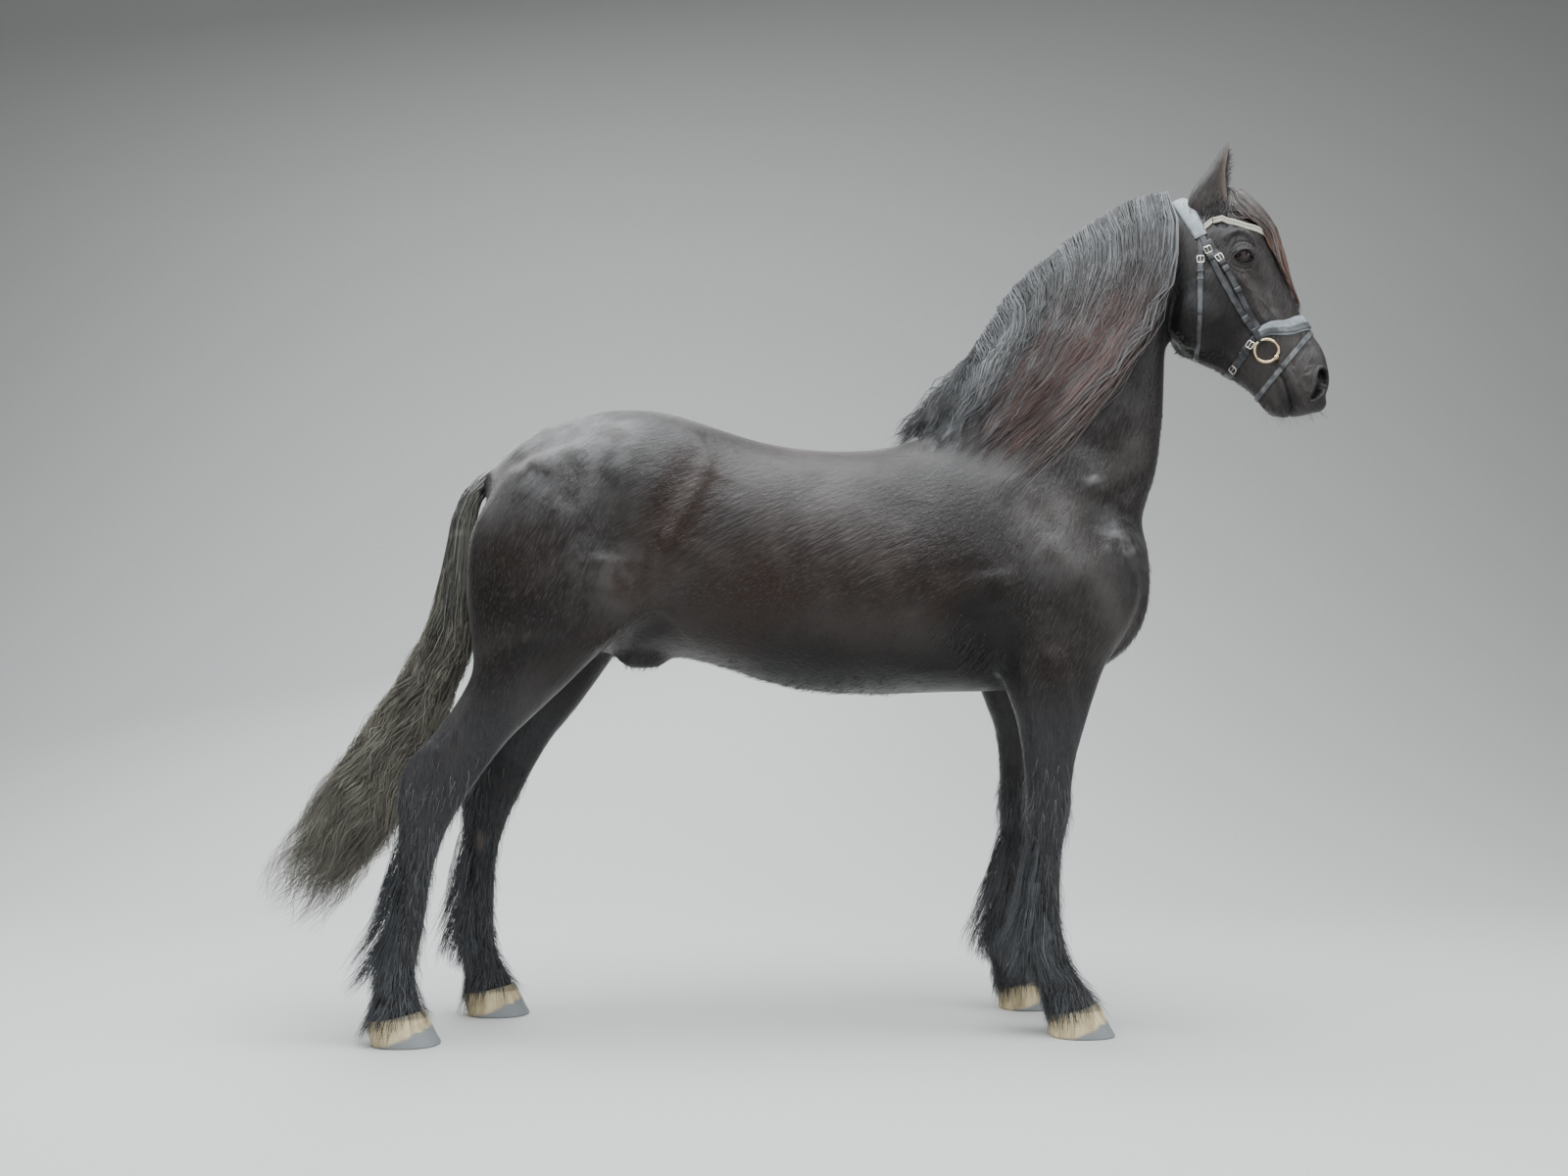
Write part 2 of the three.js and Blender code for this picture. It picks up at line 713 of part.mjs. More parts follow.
function feather(leg, seed) {
  const random = randomSource(seed);
  return FEATHER.tiers.flatMap(({ root, fall, flare, angles }) =>
    angles.map((around) => {
      const angle = THREE.MathUtils.degToRad(around + 10 * (random() - 0.5));
      const away = vec(-Math.cos(angle), Math.sin(angle), 0);
      const rooted = legReach(leg, root, away).reach;
      const drop = fall * lerp(0.88, 1.06, random());
      const flared = flare * lerp(0.25, 1, Math.max(0, Math.cos(angle)));
      const guides = [0, 0.14, 0.4, 0.7, 1].map((t) => {
        const { middle, reach } = legReach(leg, root - drop * t, away);
        const out = Math.max(reach + 5, rooted + flared * t ** 0.8);
        return middle.addScaledVector(away, t === 0 ? reach - 14 : out);
      });
      return lock(guides, {
        ...FEATHER,
        width: FEATHER.width * lerp(0.85, 1.1, random()),
        outward: () => away,
        shares: [0, 0.25, 0.5, 0.78],
      });
    }),
  );
}

// Hooves: slanted blocks with a flat sole

const HOOF = { toe: 40, length: 166, half: 71, wall: 12 };

function hoof({ ovals, side }, grown = 0) {
  const [ux, uz, lx, lz, half, y] = ovals[ovals.length - 1];
  const toe = ux + HOOF.toe;
  const heel = toe - HOOF.length;
  const ground = oval([toe, 0], [heel, 0], HOOF.half, { y, power: 2.3 });
  const rim = oval([toe - 3, 7], [heel, 7], HOOF.half, { y, power: 2.3 });
  const waist = oval([lerp(toe, ux, 0.55), lerp(0, uz, 0.55)], [lerp(heel, lx, 0.55), 30], 65, {
    y,
    power: 2.2,
  });
  const top = oval([ux - 3, uz - 1.3 + grown], [lx + 2, lz - 0.4 + grown], half + 2, { y });
  return solid(loft(grow([ground, rim, waist, top], grown), { sides: 14, side }));
}

// Ears: upright cups that open forwards and outwards

const EAR = [
  oval([1226, 2222], [1152, 2208], 30, { y: 52 }),
  oval([1232, 2248], [1146, 2246], 31, { y: 57 }),
  oval([1238, 2290], [1166, 2290], 28, { y: 62 }),
  oval([1243, 2330], [1194, 2334], 21, { y: 64 }),
  oval([1243, 2360], [1219, 2362], 11, { y: 64 }),
  oval([1240, 2377], [1236, 2378], 3, { y: 64 }),
];
const EAR_CUP = [
  oval([1255, 2252], [1196, 2250], 17, { y: 72 }),
  oval([1262, 2290], [1182, 2290], 23, { y: 78 }),
  oval([1262, 2328], [1206, 2330], 17, { y: 78 }),
  oval([1256, 2354], [1228, 2356], 8, { y: 74 }),
];

const EAR_BASE = { x: 1192, y: 55, z: 2250, lean: 0.28, size: [150, 74, 300] };

function ear(side) {
  const cup = solid(loft(EAR_CUP, { sides: 8, side }));
  return solid(loft(EAR, { sides: 11, side })).subtract(cup);
}

/** The block round one ear, down to the leaning plane at its base. */
function earBlock(side, lift) {
  const [long, broad, tall] = EAR_BASE.size;
  const block = new THREE.BoxGeometry(long, broad, tall);
  block.translate(0, 0, tall / 2 + lift);
  block.rotateX(-side * EAR_BASE.lean);
  block.translate(EAR_BASE.x, side * EAR_BASE.y, EAR_BASE.z);
  return solid(block);
}

// Face: eye sockets and lids, nostrils, lips and the line of the mouth

const eyeBreadth = breadth(EYE.x, EYE.z, RIGHT);
const eyeCentre = (side) => [EYE.x, side * (eyeBreadth - EYE.sunk), EYE.z];
const eyeForm = (side, radius) =>
  ellipsoid(eyeCentre(side), [radius, radius, radius], { around: 10, down: 7 });

/** Lids with the orbit, brow, nostril rim and cheek, as geometries. */
function facialForms(side, grown = 0) {
  const [x, y, z] = eyeCentre(side);
  return [
    ellipsoid([x, y - side * 2, z], [34, 24, 27], { tilt: 0.5, grown }),
    ellipsoid([x - 6, y - side * 6, z + 24], [40, 17, 15], { tilt: 0.6, grown }),
    ellipsoid([1457, side * 42, 1700], [20, 19, 34], { tilt: -0.25, grown }),
    ellipsoid([1150, side * 56, 1893], [78, 45, 98], { tilt: 0.25, grown }),
  ];
}

function facialHollows(side) {
  const [x, y, z] = eyeCentre(side);
  return [
    ellipsoid([1454, side * 56, 1703], [9, 18, 18], { tilt: -0.25 }),
    ellipsoid([x + 1, y + side * 21, z], [24, 15, 14], { tilt: 0.35 }),
    eyeForm(side, EYE.radius + GAP),
  ];
}

/** The upper lip, and the lower lip with the chin. */
const lips = (grown = 0) => [
  ellipsoid([1447, 0, 1652], [36, 44, 32], { tilt: 0.5, grown }),
  ellipsoid([1352, 0, 1634], [42, 36, 22], { tilt: 0.35, grown }),
];

const allForms = (grown) => [RIGHT, LEFT].flatMap((side) => facialForms(side, grown)).concat(lips(grown));
for (const form of allForms(0)) skinMeshes.push(new THREE.Mesh(form, skinMaterial));

/** A thin blade along the mouth, from its corner to between the lips. */
function mouthLine() {
  const blade = [
    oval([1352, 1736], [1342, 1728], 90),
    oval([1378, 1680], [1372, 1677], 90),
    oval([1403, 1590], [1393, 1590], 90),
  ];
  const inner = [
    oval([1366, 1742], [1328, 1722], 38),
    oval([1400, 1680], [1350, 1677], 36),
    oval([1425, 1628], [1371, 1628], 26),
  ];
  return solid(loft(blade, { sides: 12 })).subtract(solid(loft(inner, { sides: 12 })));
}

// Bridle

/** A closed or open band from rows of four corners each: two on the skin side, two outside. */
function bandGeometry(rows, closed) {
  const points = rows.flat();
  const faces = [];
  const spans = closed ? rows.length : rows.length - 1;
  for (let r = 0; r < spans; r++)
    for (let s = 0; s < 4; s++) {
      const next = ((r + 1) % rows.length) * 4;
      const [a, b] = [r * 4 + s, r * 4 + ((s + 1) % 4)];
      const [c, d] = [next + s, next + ((s + 1) % 4)];
      faces.push([a, b, c], [b, d, c]);
    }
  if (!closed) {
    const last = (rows.length - 1) * 4;
    faces.push([0, 2, 1], [0, 3, 2]);
    faces.push([last, last + 1, last + 2], [last, last + 2, last + 3]);
  }
  return closedGeometry(points, faces);
}

const SUNK = 5; // how deep a strap reaches before the head is cut out of it
const STRAP_REACH = 220; // how far from a strap's centre the skin is looked for

/** The four corners of a strap at one place, over the skin points of its two edges. */
function strapRow(origins, outward, height) {
  const [a, b] = origins.map((origin) => touch(origin, outward, STRAP_REACH) ?? origin);
  return [
    a.clone().addScaledVector(outward, -SUNK),
    b.clone().addScaledVector(outward, -SUNK),
    b.clone().addScaledVector(outward, height),
    a.clone().addScaledVector(outward, height),
  ];
}

/**
 * A strap that wraps the head. facing is the side-view direction that its middle looks in, the
 * angles run from the left, negative, to the right, and rise moves it across its width.
 */
function wrapStrap({ centre, facing, from, to, steps, width, height, rise = () => 0 }, grown = 0) {
  const length = Math.hypot(...facing);
  const ahead = vec(facing[0] / length, 0, facing[1] / length);
  const over = vec(-ahead.z, 0, ahead.x);
  const closed = to - from >= 360;
  const rows = Array.from({ length: closed ? steps : steps + 1 }, (_, i) => {
    const angle = THREE.MathUtils.degToRad(lerp(from, to, i / steps));
    const outward = ahead.clone().multiplyScalar(Math.cos(angle));
    outward.add(vec(0, -Math.sin(angle), 0)).normalize();
    const middle = vec(centre[0], 0, centre[1]).addScaledVector(over, rise(angle));
    const edges = [-0.5, 0.5].map((share) =>
      middle.clone().addScaledVector(over, share * (width(angle) + 2 * grown)),
    );
    return strapRow(edges, outward, height + grown);
  });
  return solid(bandGeometry(rows, closed));
}

/** A strap that runs down one side of the head through side-view points. */
function sideStrap({ guides, side, width, height, steps = 8 }) {
  const curve = new THREE.CatmullRomCurve3(guides.map(([x, z]) => vec(x, 0, z)));
  const rows = Array.from({ length: steps + 1 }, (_, i) => {
    const point = curve.getPointAt(i / steps);
    const tangent = curve.getTangentAt(i / steps);
    const across = vec(-tangent.z, 0, tangent.x);
    const edges = [-0.5, 0.5].map((share) => point.clone().addScaledVector(across, share * width));
    return strapRow(edges, vec(0, side, 0), height);
  });
  return solid(bandGeometry(rows, false));
}

const BUCKLE = { long: 27, broad: 27, bar: 3.5, depth: 3.5 };

/** A square buckle frame that lies over a strap on the side of the head. */
function buckle({ at, heading, side, lift }) {
  const [x, y] = [BUCKLE.long / 2, BUCKLE.broad / 2];
  const [inX, inY] = [x - BUCKLE.bar, y - BUCKLE.bar];
  const corners = (a, b) => [
    new THREE.Vector2(-a, -b),
    new THREE.Vector2(a, -b),
    new THREE.Vector2(a, b),
    new THREE.Vector2(-a, b),
  ];
  const frame = new THREE.Shape(corners(x, y));
  frame.holes.push(new THREE.Path(corners(inX, inY).reverse()));
  const geometry = new THREE.ExtrudeGeometry(frame, { depth: BUCKLE.depth, bevelEnabled: false });
  geometry.translate(0, 0, -BUCKLE.depth / 2);
  geometry.rotateX(Math.PI / 2);
  geometry.rotateY(-Math.atan2(heading[1], heading[0]));
  const spread = [-0.5, 0, 0.5].map((share) =>
    breadth(at[0] + share * x * heading[0], at[1] + share * x * heading[1], side),
  );
  geometry.translate(at[0], side * (Math.max(...spread) + lift), at[1]);
  return solid(geometry);
}

const BIT = { x: 1317, z: 1782, radius: 31, wire: 4, lift: 13, stub: [22, -22] };

/** A bit ring with the end of the mouthpiece that joins it to the corner of the mouth. */
function bitRing(side) {
  const spread = breadth(BIT.x, BIT.z, side) + BIT.lift;
  const ring = new THREE.TorusGeometry(BIT.radius, BIT.wire, 4, 14);
  ring.rotateX(Math.PI / 2);
  ring.translate(BIT.x, side * spread, BIT.z);
  const centre = [BIT.x + BIT.stub[0], side * (spread - 7), BIT.z + BIT.stub[1]];
  return join([solid(ring), solid(ellipsoid(centre, [8, 14, 8], { around: 6, down: 4 }))]);
}

const CROWN = [1152, 2116]; // where the straps meet below the ear
const LOW = [1296, 1822]; // where the cheekpiece meets the ring
const degrees = THREE.MathUtils.radToDeg;

const STRAPS = {
  crownpiece: {
    centre: CROWN, facing: [-50, 118], from: -92, to: 92, steps: 11,
    width: () => 46,
    height: 5,
    material: COLOURS.padding,
  },
  browband: {
    centre: [1178, 2128], facing: [1, 0], from: -92, to: 92, steps: 18,
    rise: (angle) => along([[0, -14], [40, -2], [65, 16], [92, 12]], Math.abs(degrees(angle))),
    width: () => 19,
    height: 6,
    material: COLOURS.braid,
  },
  noseband: {
    centre: [1332, 1797], facing: [229, 154], from: -100, to: 100, steps: 18,
    rise: (angle) => 6 + 38 * Math.sin(angle) ** 2,
    width: (angle) => along([[0, 50], [60, 42], [100, 22]], Math.abs(degrees(angle))),
    height: 7,
    material: COLOURS.padding,
  },
  jaw_strap: {
    centre: [1332, 1797], facing: [229, 154], from: 102, to: 258, steps: 18,
    rise: (angle) => 6 + 38 * Math.sin(angle) ** 2,
    width: () => 20,
    height: 7,
    material: COLOURS.leather,
  },
  flash_strap: {
    centre: [1366, 1748], facing: [158, 186], from: 0, to: 360, steps: 20,
    width: () => 14,
    height: 6,
    material: COLOURS.leather,
  },
  throatlatch: {
    centre: [1148, 1950], facing: [-0.05, -1], from: -146, to: 146, steps: 17,
    width: () => 16,
    height: 4,
    material: COLOURS.leather,
  },
};
const SIDE_STRAPS = {
  cheekpiece: { guides: [[1158, 2084], [1196, 2004], [1244, 1903], LOW], width: 17, height: 4 },
  noseband_hanger: {
    guides: [[1181, 2086], [1210, 2018], [1256, 1922], [1296, 1853]],
    width: 15,
    height: 4,
  },
};
const DOWN_CHEEK = [0.42, -0.907];
const BUCKLES = {
  cheekpiece: { at: [1186, 2024], heading: DOWN_CHEEK, lift: 9 },
  throatlatch: { at: [1149, 2030], heading: [-0.02, -1], lift: 10 },
  jaw_strap: { at: [1262, 1797], heading: [0.76, 0.65], lift: 13 },
};

// Assembly

const nodes = [];

/** Notes one named node of the horse. */
function addNode(name, body, material) {
  nodes.push({ name, body, material });
  return body;
}

const sheath = [
  ellipsoid([-372, 0, 985], [92, 44, 52], { tilt: -0.18 }),
  ellipsoid([-345, 0, 955], [34, 27, 22], { tilt: -0.1, around: 8, down: 5 }),
];
const whole = join([...bodyGeometries, ...sheath].map(solid));

// The plane between neck and head is square to the bent neck.
const pollPoint = bend(vec(POLL_CUT, 0, TURN_FULL));
const pollTurn = (TURN * (POLL_CUT - TURN_START)) / (TURN_END - TURN_START);
const HALL = 3000; // larger than the horse

/** A block that holds all that lies ahead of the poll plane, moved forward by the shift. */
function aheadOfPoll(shift) {
  const geometry = new THREE.BoxGeometry(HALL, HALL, HALL);
  geometry.translate(HALL / 2 + shift, 0, 0);
  geometry.rotateZ(-pollTurn);
  geometry.translate(pollPoint.x, pollPoint.y, HALL / 2 + 1500);
  return plainSolid(geometry);
}

const everySide = { xMin: -HALL, xMax: HALL, yMin: -HALL, yMax: HALL, drop: 2 * HALL };
const belowNeck = (shift) => below(NECK_CUT.back, NECK_CUT.front, { ...everySide, shift });

/** The block round one leg, up to the given plane. */
function legBlock({ end, side }, [back, front], shift) {
  const [xMin, xMax] = end === "fore" ? [400, 1000] : [-1200, -380];
  const [yMin, yMax] = side < 0 ? [-400, -4] : [4, 400];
  return below(back, front, { xMin, xMax, yMin, yMax, drop: 1100, shift });
}

const flat = (height) => [
  [-HALL, height],
  [HALL, height],
];
const legTop = ({ end }) =>
  end === "fore" ? flat(FORE_CUT) : [HIND_CUT.back, HIND_CUT.front];
const legMiddle = ({ end }) => flat(end === "fore" ? KNEE_CUT : HOCK_CUT);

const head = whole.intersect(aheadOfPoll(GAP / 2));
const behindPoll = whole.subtract(aheadOfPoll(-GAP / 2));
const neck = largest(behindPoll.subtract(belowNeck(GAP / 2)));
let torso = behindPoll.intersect(belowNeck(-GAP / 2));
for (const leg of LEGS) torso = torso.subtract(legBlock(leg, legTop(leg), GAP / 2));
torso = largest(torso);
addNode("torso", torso, COLOURS.coat);

for (const [i, leg] of LEGS.entries()) {
  const name = `${leg.end}_${leg.sideName}`;
  addNode(`hoof_${name}`, hoof(leg), COLOURS.hoof);
  const limb = behindPoll.intersect(legBlock(leg, legTop(leg), -GAP / 2));
  const upper = largest(limb.subtract(legBlock(leg, legMiddle(leg), GAP / 2)));
  addNode(`${leg.end === "fore" ? "forearm" : "gaskin"}_${leg.sideName}`, upper, COLOURS.coat);
  const cannon = limb.intersect(legBlock(leg, legMiddle(leg), -GAP / 2));
  const haired = join([cannon, ...feather(leg, 31 + i)]).subtract(hoof(leg, CLEAR));
  addNode(`cannon_${name}`, largest(haired), COLOURS.coat);
}

const hollows = [RIGHT, LEFT].flatMap(facialHollows).map(solid);
const eared = join([head, ...allForms(0).map(solid), ear(RIGHT), ear(LEFT)]).intersect(
  aheadOfPoll(GAP / 2),
);
let face = eared;
for (const side of [RIGHT, LEFT]) face = face.subtract(earBlock(side, -GAP / 2));
for (const hollow of [...hollows, mouthLine()]) face = face.subtract(hollow);
const headStraps = [STRAPS.browband, STRAPS.crownpiece].map((strap) => wrapStrap(strap, CLEAR));
const overStraps = clearOf(join(forelock()), headStraps);
addNode("head", largest(join([largest(face), overStraps])), COLOURS.coat);

const grownTorso = solid(loft(grow(TORSO), { sides: SIDES_OF.torso }));
const grownNeck = solid(loft(grow(NECK), { sides: SIDES_OF.neck }));
const grownLegs = LEGS.map(({ ovals, side }) => solid(loft(grow(ovals), { sides: SIDES_OF.leg, side })));
const shoulders = join([grownTorso, grownNeck, ...grownLegs]).intersect(belowNeck(GAP / 2));
const maned = join([neck, clearOf(join(mane()), [shoulders])]);
addNode("neck", largest(maned.subtract(aheadOfPoll(-GAP / 2))), COLOURS.hair);

for (const [side, sideName] of SIDES) {
  addNode(`eye_${sideName}`, solid(eyeForm(side, EYE.radius)), COLOURS.eye);
  addNode(`ear_${sideName}`, largest(eared.intersect(earBlock(side, GAP / 2))), COLOURS.coat);
}

const dock = join([tailCore(), ...tailLocks()]);
addNode("tail", largest(clearOf(dock, [grownTorso, ...grownLegs])), COLOURS.hair);

const grownHead = join([loft(grow(HEAD), { sides: SIDES_OF.head }), ...allForms(CLEAR)].map(solid));
const grownStraps = Object.values(STRAPS).map((strap) => wrapStrap(strap, CLEAR));
for (const [name, strap] of Object.entries(STRAPS)) {
  const band = clearOf(wrapStrap(strap), [grownHead, grownNeck]);
  addNode(`bridle_${name}`, largest(band), strap.material);
}
for (const [side, sideName] of SIDES) {
  for (const [name, { guides, width, height }] of Object.entries(SIDE_STRAPS)) {
    const strap = sideStrap({ guides, side, width, height });
    const band = clearOf(strap, [grownHead, grownNeck, ...grownStraps]);
    addNode(`bridle_${name}_${sideName}`, largest(band), COLOURS.leather);
  }
  for (const [name, place] of Object.entries(BUCKLES))
    addNode(`buckle_${name}_${sideName}`, buckle({ ...place, side }), COLOURS.brass);
  addNode(`bit_ring_${sideName}`, clearOf(bitRing(side), [grownHead, ...grownStraps]), COLOURS.brass);
}

// The part's origin is under the middle of its bounding box.
const box = new THREE.Box3();
for (const { body } of nodes) {
  const { min, max } = body.boundingBox();
  box.expandByPoint(vec(...min)).expandByPoint(vec(...max));
}
const shift = [-(box.min.x + box.max.x) / 2, -(box.min.y + box.max.y) / 2, -box.min.z];

const horse = new THREE.Group();
for (const { name, body, material } of nodes) {
  const node = new THREE.Mesh(meshOf(settled(body.translate(shift))), material);
  node.geometry.computeVertexNormals();
  node.name = name;
  horse.add(node);
}

export default horse;
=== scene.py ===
import json
import logging
import math
from dataclasses import dataclass, field, replace
from enum import Enum
from typing import Callable, Optional, Sequence, Union

import bmesh
import bpy
import numpy as np
from bpy.types import ID, Material, Mesh, Node, NodeSocket, NodeTree, Object
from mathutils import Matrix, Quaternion, Vector
from mathutils.bvhtree import BVHTree

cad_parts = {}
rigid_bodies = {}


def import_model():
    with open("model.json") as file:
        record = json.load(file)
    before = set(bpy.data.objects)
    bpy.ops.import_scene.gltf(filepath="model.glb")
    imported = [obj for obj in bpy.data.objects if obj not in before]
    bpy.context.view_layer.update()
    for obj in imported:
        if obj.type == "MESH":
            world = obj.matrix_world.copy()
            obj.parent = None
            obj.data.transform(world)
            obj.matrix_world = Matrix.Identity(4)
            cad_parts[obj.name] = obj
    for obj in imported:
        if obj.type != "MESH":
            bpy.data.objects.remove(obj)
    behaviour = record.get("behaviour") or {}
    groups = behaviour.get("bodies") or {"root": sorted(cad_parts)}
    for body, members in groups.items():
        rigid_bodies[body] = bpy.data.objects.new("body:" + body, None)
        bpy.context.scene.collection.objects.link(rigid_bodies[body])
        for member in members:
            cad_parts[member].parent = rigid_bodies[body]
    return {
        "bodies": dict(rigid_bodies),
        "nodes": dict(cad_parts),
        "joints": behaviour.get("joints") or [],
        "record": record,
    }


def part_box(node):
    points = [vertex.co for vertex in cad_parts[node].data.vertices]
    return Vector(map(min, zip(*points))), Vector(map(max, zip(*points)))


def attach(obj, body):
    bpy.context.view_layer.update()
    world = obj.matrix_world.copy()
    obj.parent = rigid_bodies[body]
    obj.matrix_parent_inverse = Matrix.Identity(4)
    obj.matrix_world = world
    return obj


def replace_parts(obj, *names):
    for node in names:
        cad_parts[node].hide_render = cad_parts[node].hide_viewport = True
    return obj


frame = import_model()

logging.basicConfig(level=logging.INFO, format="%(message)s")
log = logging.getLogger("horse")

Pairs = Sequence[tuple[float, float]]
Rgb = tuple[float, float, float]
Value = Union[NodeSocket, float, tuple[float, ...]]

MM = 0.001  # metres in a millimetre
TINY = 1e-9
RIGHT = -1
LEFT = 1
COAT_DEPTH = 3.0  # how far the skin lies inside the solids
EYE = (1265, 2044)  # x and z of the eyes' middle
NOSE = (1460, 1692)  # x and z of the nostrils' middle
HEAD_FROM = (1035, 1560)  # x and z past which the skin is the head's
GOLDEN = 2.39996  # the angle that spreads locks evenly round, in radians
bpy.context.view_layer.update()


def side_name(side: int) -> str:
    """The side's word in the names of pieces."""
    return "right" if side == RIGHT else "left"


# Numbers and curves


def columns(*values: np.ndarray) -> np.ndarray:
    """Values of one shape, or single numbers, side by side as the last axis of an array."""
    return np.stack(np.broadcast_arrays(*values), axis=-1)


def turns(count: int) -> np.ndarray:
    """Angles once round, without the last."""
    return np.linspace(0, math.tau, count, endpoint=False)


def along(pairs: Pairs, x: np.ndarray) -> np.ndarray:
    """The value at x of pairs in rising order.

    Args:
        pairs: (x, value) pairs.
        x: where to read them.

    Returns:
        The values, held level past both ends.
    """
    places, values = zip(*pairs)
    return np.interp(x, places, values)


def smoothstep(x: np.ndarray, low: float, high: float) -> np.ndarray:
    """A smooth rise from 0 at low to 1 at high."""
    t = np.clip((np.asarray(x, float) - low) / (high - low), 0, 1)
    return t * t * (3 - 2 * t)


def unit(vectors: np.ndarray) -> np.ndarray:
    """The vectors at length one."""
    return vectors / np.maximum(np.linalg.norm(vectors, axis=-1, keepdims=True), TINY)


def spline(guides: np.ndarray, count: int) -> np.ndarray:
    """Points on smooth curves through guide points.

    Args:
        guides: (curves, guides, values) array.
        count: points wanted on each curve.

    Returns:
        (curves, count, values) array.
    """
    guides = np.asarray(guides, float)
    last = guides.shape[1] - 1
    place = np.linspace(0, last, count)
    i = np.minimum(place.astype(int), last - 1)
    t = (place - i)[None, :, None]
    p0, p1 = guides[:, np.maximum(i - 1, 0)], guides[:, i]
    p2, p3 = guides[:, i + 1], guides[:, np.minimum(i + 2, last)]
    return p1 + 0.5 * (
        (p2 - p0) * t
        + (2 * p0 - 5 * p1 + 4 * p2 - p3) * t**2
        + (3 * p1 - p0 - 3 * p2 + p3) * t**3
    )


def curve_at(guides: Sequence[Sequence[float]], share: np.ndarray, fine: int = 400) -> np.ndarray:
    """Points at shares of a smooth curve's length.

    Args:
        guides: the curve's guide points.
        share: places along it, from 0 to 1.
        fine: how many points it is measured with.

    Returns:
        The points, with one more axis than share.
    """
    line = spline(np.asarray(guides, float)[None], fine)[0]
    length = np.concatenate([[0], np.cumsum(np.linalg.norm(np.diff(line, axis=0), axis=1))])
    where = np.asarray(share, float) * length[-1]
    return np.stack([np.interp(where, length, line[:, k]) for k in range(line.shape[1])], axis=-1)


@dataclass(frozen=True)
class Pose:
    """One sideways bend that turns the neck and head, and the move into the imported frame.

    Attributes:
        shift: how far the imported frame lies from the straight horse's own, in millimetres.
        turn: how far the head is turned, in radians.
        start: x at which the bend starts.
        end: x at which it is complete.
        floor: height below which nothing bends.
        full: height above which the turn is full.
    """

    shift: tuple[float, float]
    turn: float = math.radians(14)
    start: float = 600
    end: float = 1150
    floor: float = 1120
    full: float = 1420

    def place(self, points: np.ndarray) -> np.ndarray:
        """Points of the straight horse in millimetres, posed, in metres."""
        points = np.asarray(points, float)
        x, y, z = points[..., 0], points[..., 1], points[..., 2]
        turn = np.maximum(self.turn * smoothstep(z, self.floor, self.full), TINY)
        radius = (self.end - self.start) / turn
        angle = turn * np.clip((x - self.start) / (self.end - self.start), 0, 1)
        beyond = np.maximum(0, x - self.end)
        bent_x = self.start + radius * np.sin(angle) + beyond * np.cos(angle) + y * np.sin(angle)
        bent_y = -radius * (1 - np.cos(angle)) - beyond * np.sin(angle) + y * np.cos(angle)
        ahead = x > self.start
        posed_x = np.where(ahead, bent_x, x) + self.shift[0]
        posed_y = np.where(ahead, bent_y, y) + self.shift[1]
        return columns(posed_x, posed_y, z) * MM


# Meshes


@dataclass
class Shape:
    """A triangle or quad mesh as arrays.

    Attributes:
        points: (n, 3) array in millimetres on the straight horse.
        faces: (m, 3) or (m, 4) array of point numbers.
    """

    points: np.ndarray
    faces: np.ndarray

    def outward(self) -> "Shape":
        """The same closed mesh with its faces turned out."""
        a, b, c = (self.points[self.faces[:, k]] for k in range(3))
        inside_out = np.einsum("ij,ij->i", a, np.cross(b, c)).sum() < 0
        return Shape(self.points, self.faces[:, ::-1] if inside_out else self.faces)


def joined(shapes: Sequence[Shape]) -> Shape:
    """Several meshes as one, not merged."""
    starts = np.cumsum([0] + [len(shape.points) for shape in shapes[:-1]])
    return Shape(
        np.concatenate([shape.points for shape in shapes]),
        np.concatenate([shape.faces + start for shape, start in zip(shapes, starts)]),
    )


def mesh_from(name: str, points: np.ndarray, faces: np.ndarray) -> Mesh:
    """A smooth-shaded Blender mesh from arrays."""
    mesh = bpy.data.meshes.new(name)
    mesh.vertices.add(len(points))
    mesh.vertices.foreach_set("co", np.asarray(points, np.float32).ravel())
    mesh.loops.add(faces.size)
    mesh.loops.foreach_set("vertex_index", np.asarray(faces, np.int32).ravel())
    mesh.polygons.add(len(faces))
    starts = np.arange(0, faces.size, faces.shape[1], dtype=np.int32)
    mesh.polygons.foreach_set("loop_start", starts)
    mesh.polygons.foreach_set("use_smooth", np.ones(len(faces), bool))
    mesh.update(calc_edges=True)
    return mesh


def values_of(items: Sequence, key: str, width: int, kind: type = np.float32) -> np.ndarray:
    """One value of all of a mesh's items.

    Args:
        items: the mesh's points, edges or faces.
        key: the value's name.
        width: how many numbers it has.
        kind: the numbers' type.

    Returns:
        An array with a row for each item.
    """
    values = np.empty(len(items) * width, kind)
    items.foreach_get(key, values)
    return values.reshape(-1, width)


def points_of(mesh: Mesh) -> np.ndarray:
    """Where the mesh's points are."""
    return values_of(mesh.vertices, "co", 3).astype(float)


def edges_of(mesh: Mesh) -> np.ndarray:
    """The mesh's edges as pairs of point numbers."""
    return values_of(mesh.edges, "vertices", 2, np.int32)


def shape_of(mesh: Mesh) -> Shape:
    """A Blender mesh as triangles."""
    mesh.calc_loop_triangles()
    return Shape(points_of(mesh), values_of(mesh.loop_triangles, "vertices", 3, np.int32))


def ray_tree(shape: Shape) -> BVHTree:
    """A tree that finds where rays meet the shape."""
    return BVHTree.FromPolygons(shape.points.tolist(), shape.faces.tolist())


def linked(name: str, data: ID) -> Object:
    """A new object in the scene."""
    made = bpy.data.objects.new(name, data)
    bpy.context.collection.objects.link(made)
    return made


def baked(source: Object) -> Mesh:
    """The object's mesh with its modifiers applied. The object itself goes."""
    graph = bpy.context.evaluated_depsgraph_get()
    made = bpy.data.meshes.new_from_object(source.evaluated_get(graph))
    bpy.data.objects.remove(source)
    return made


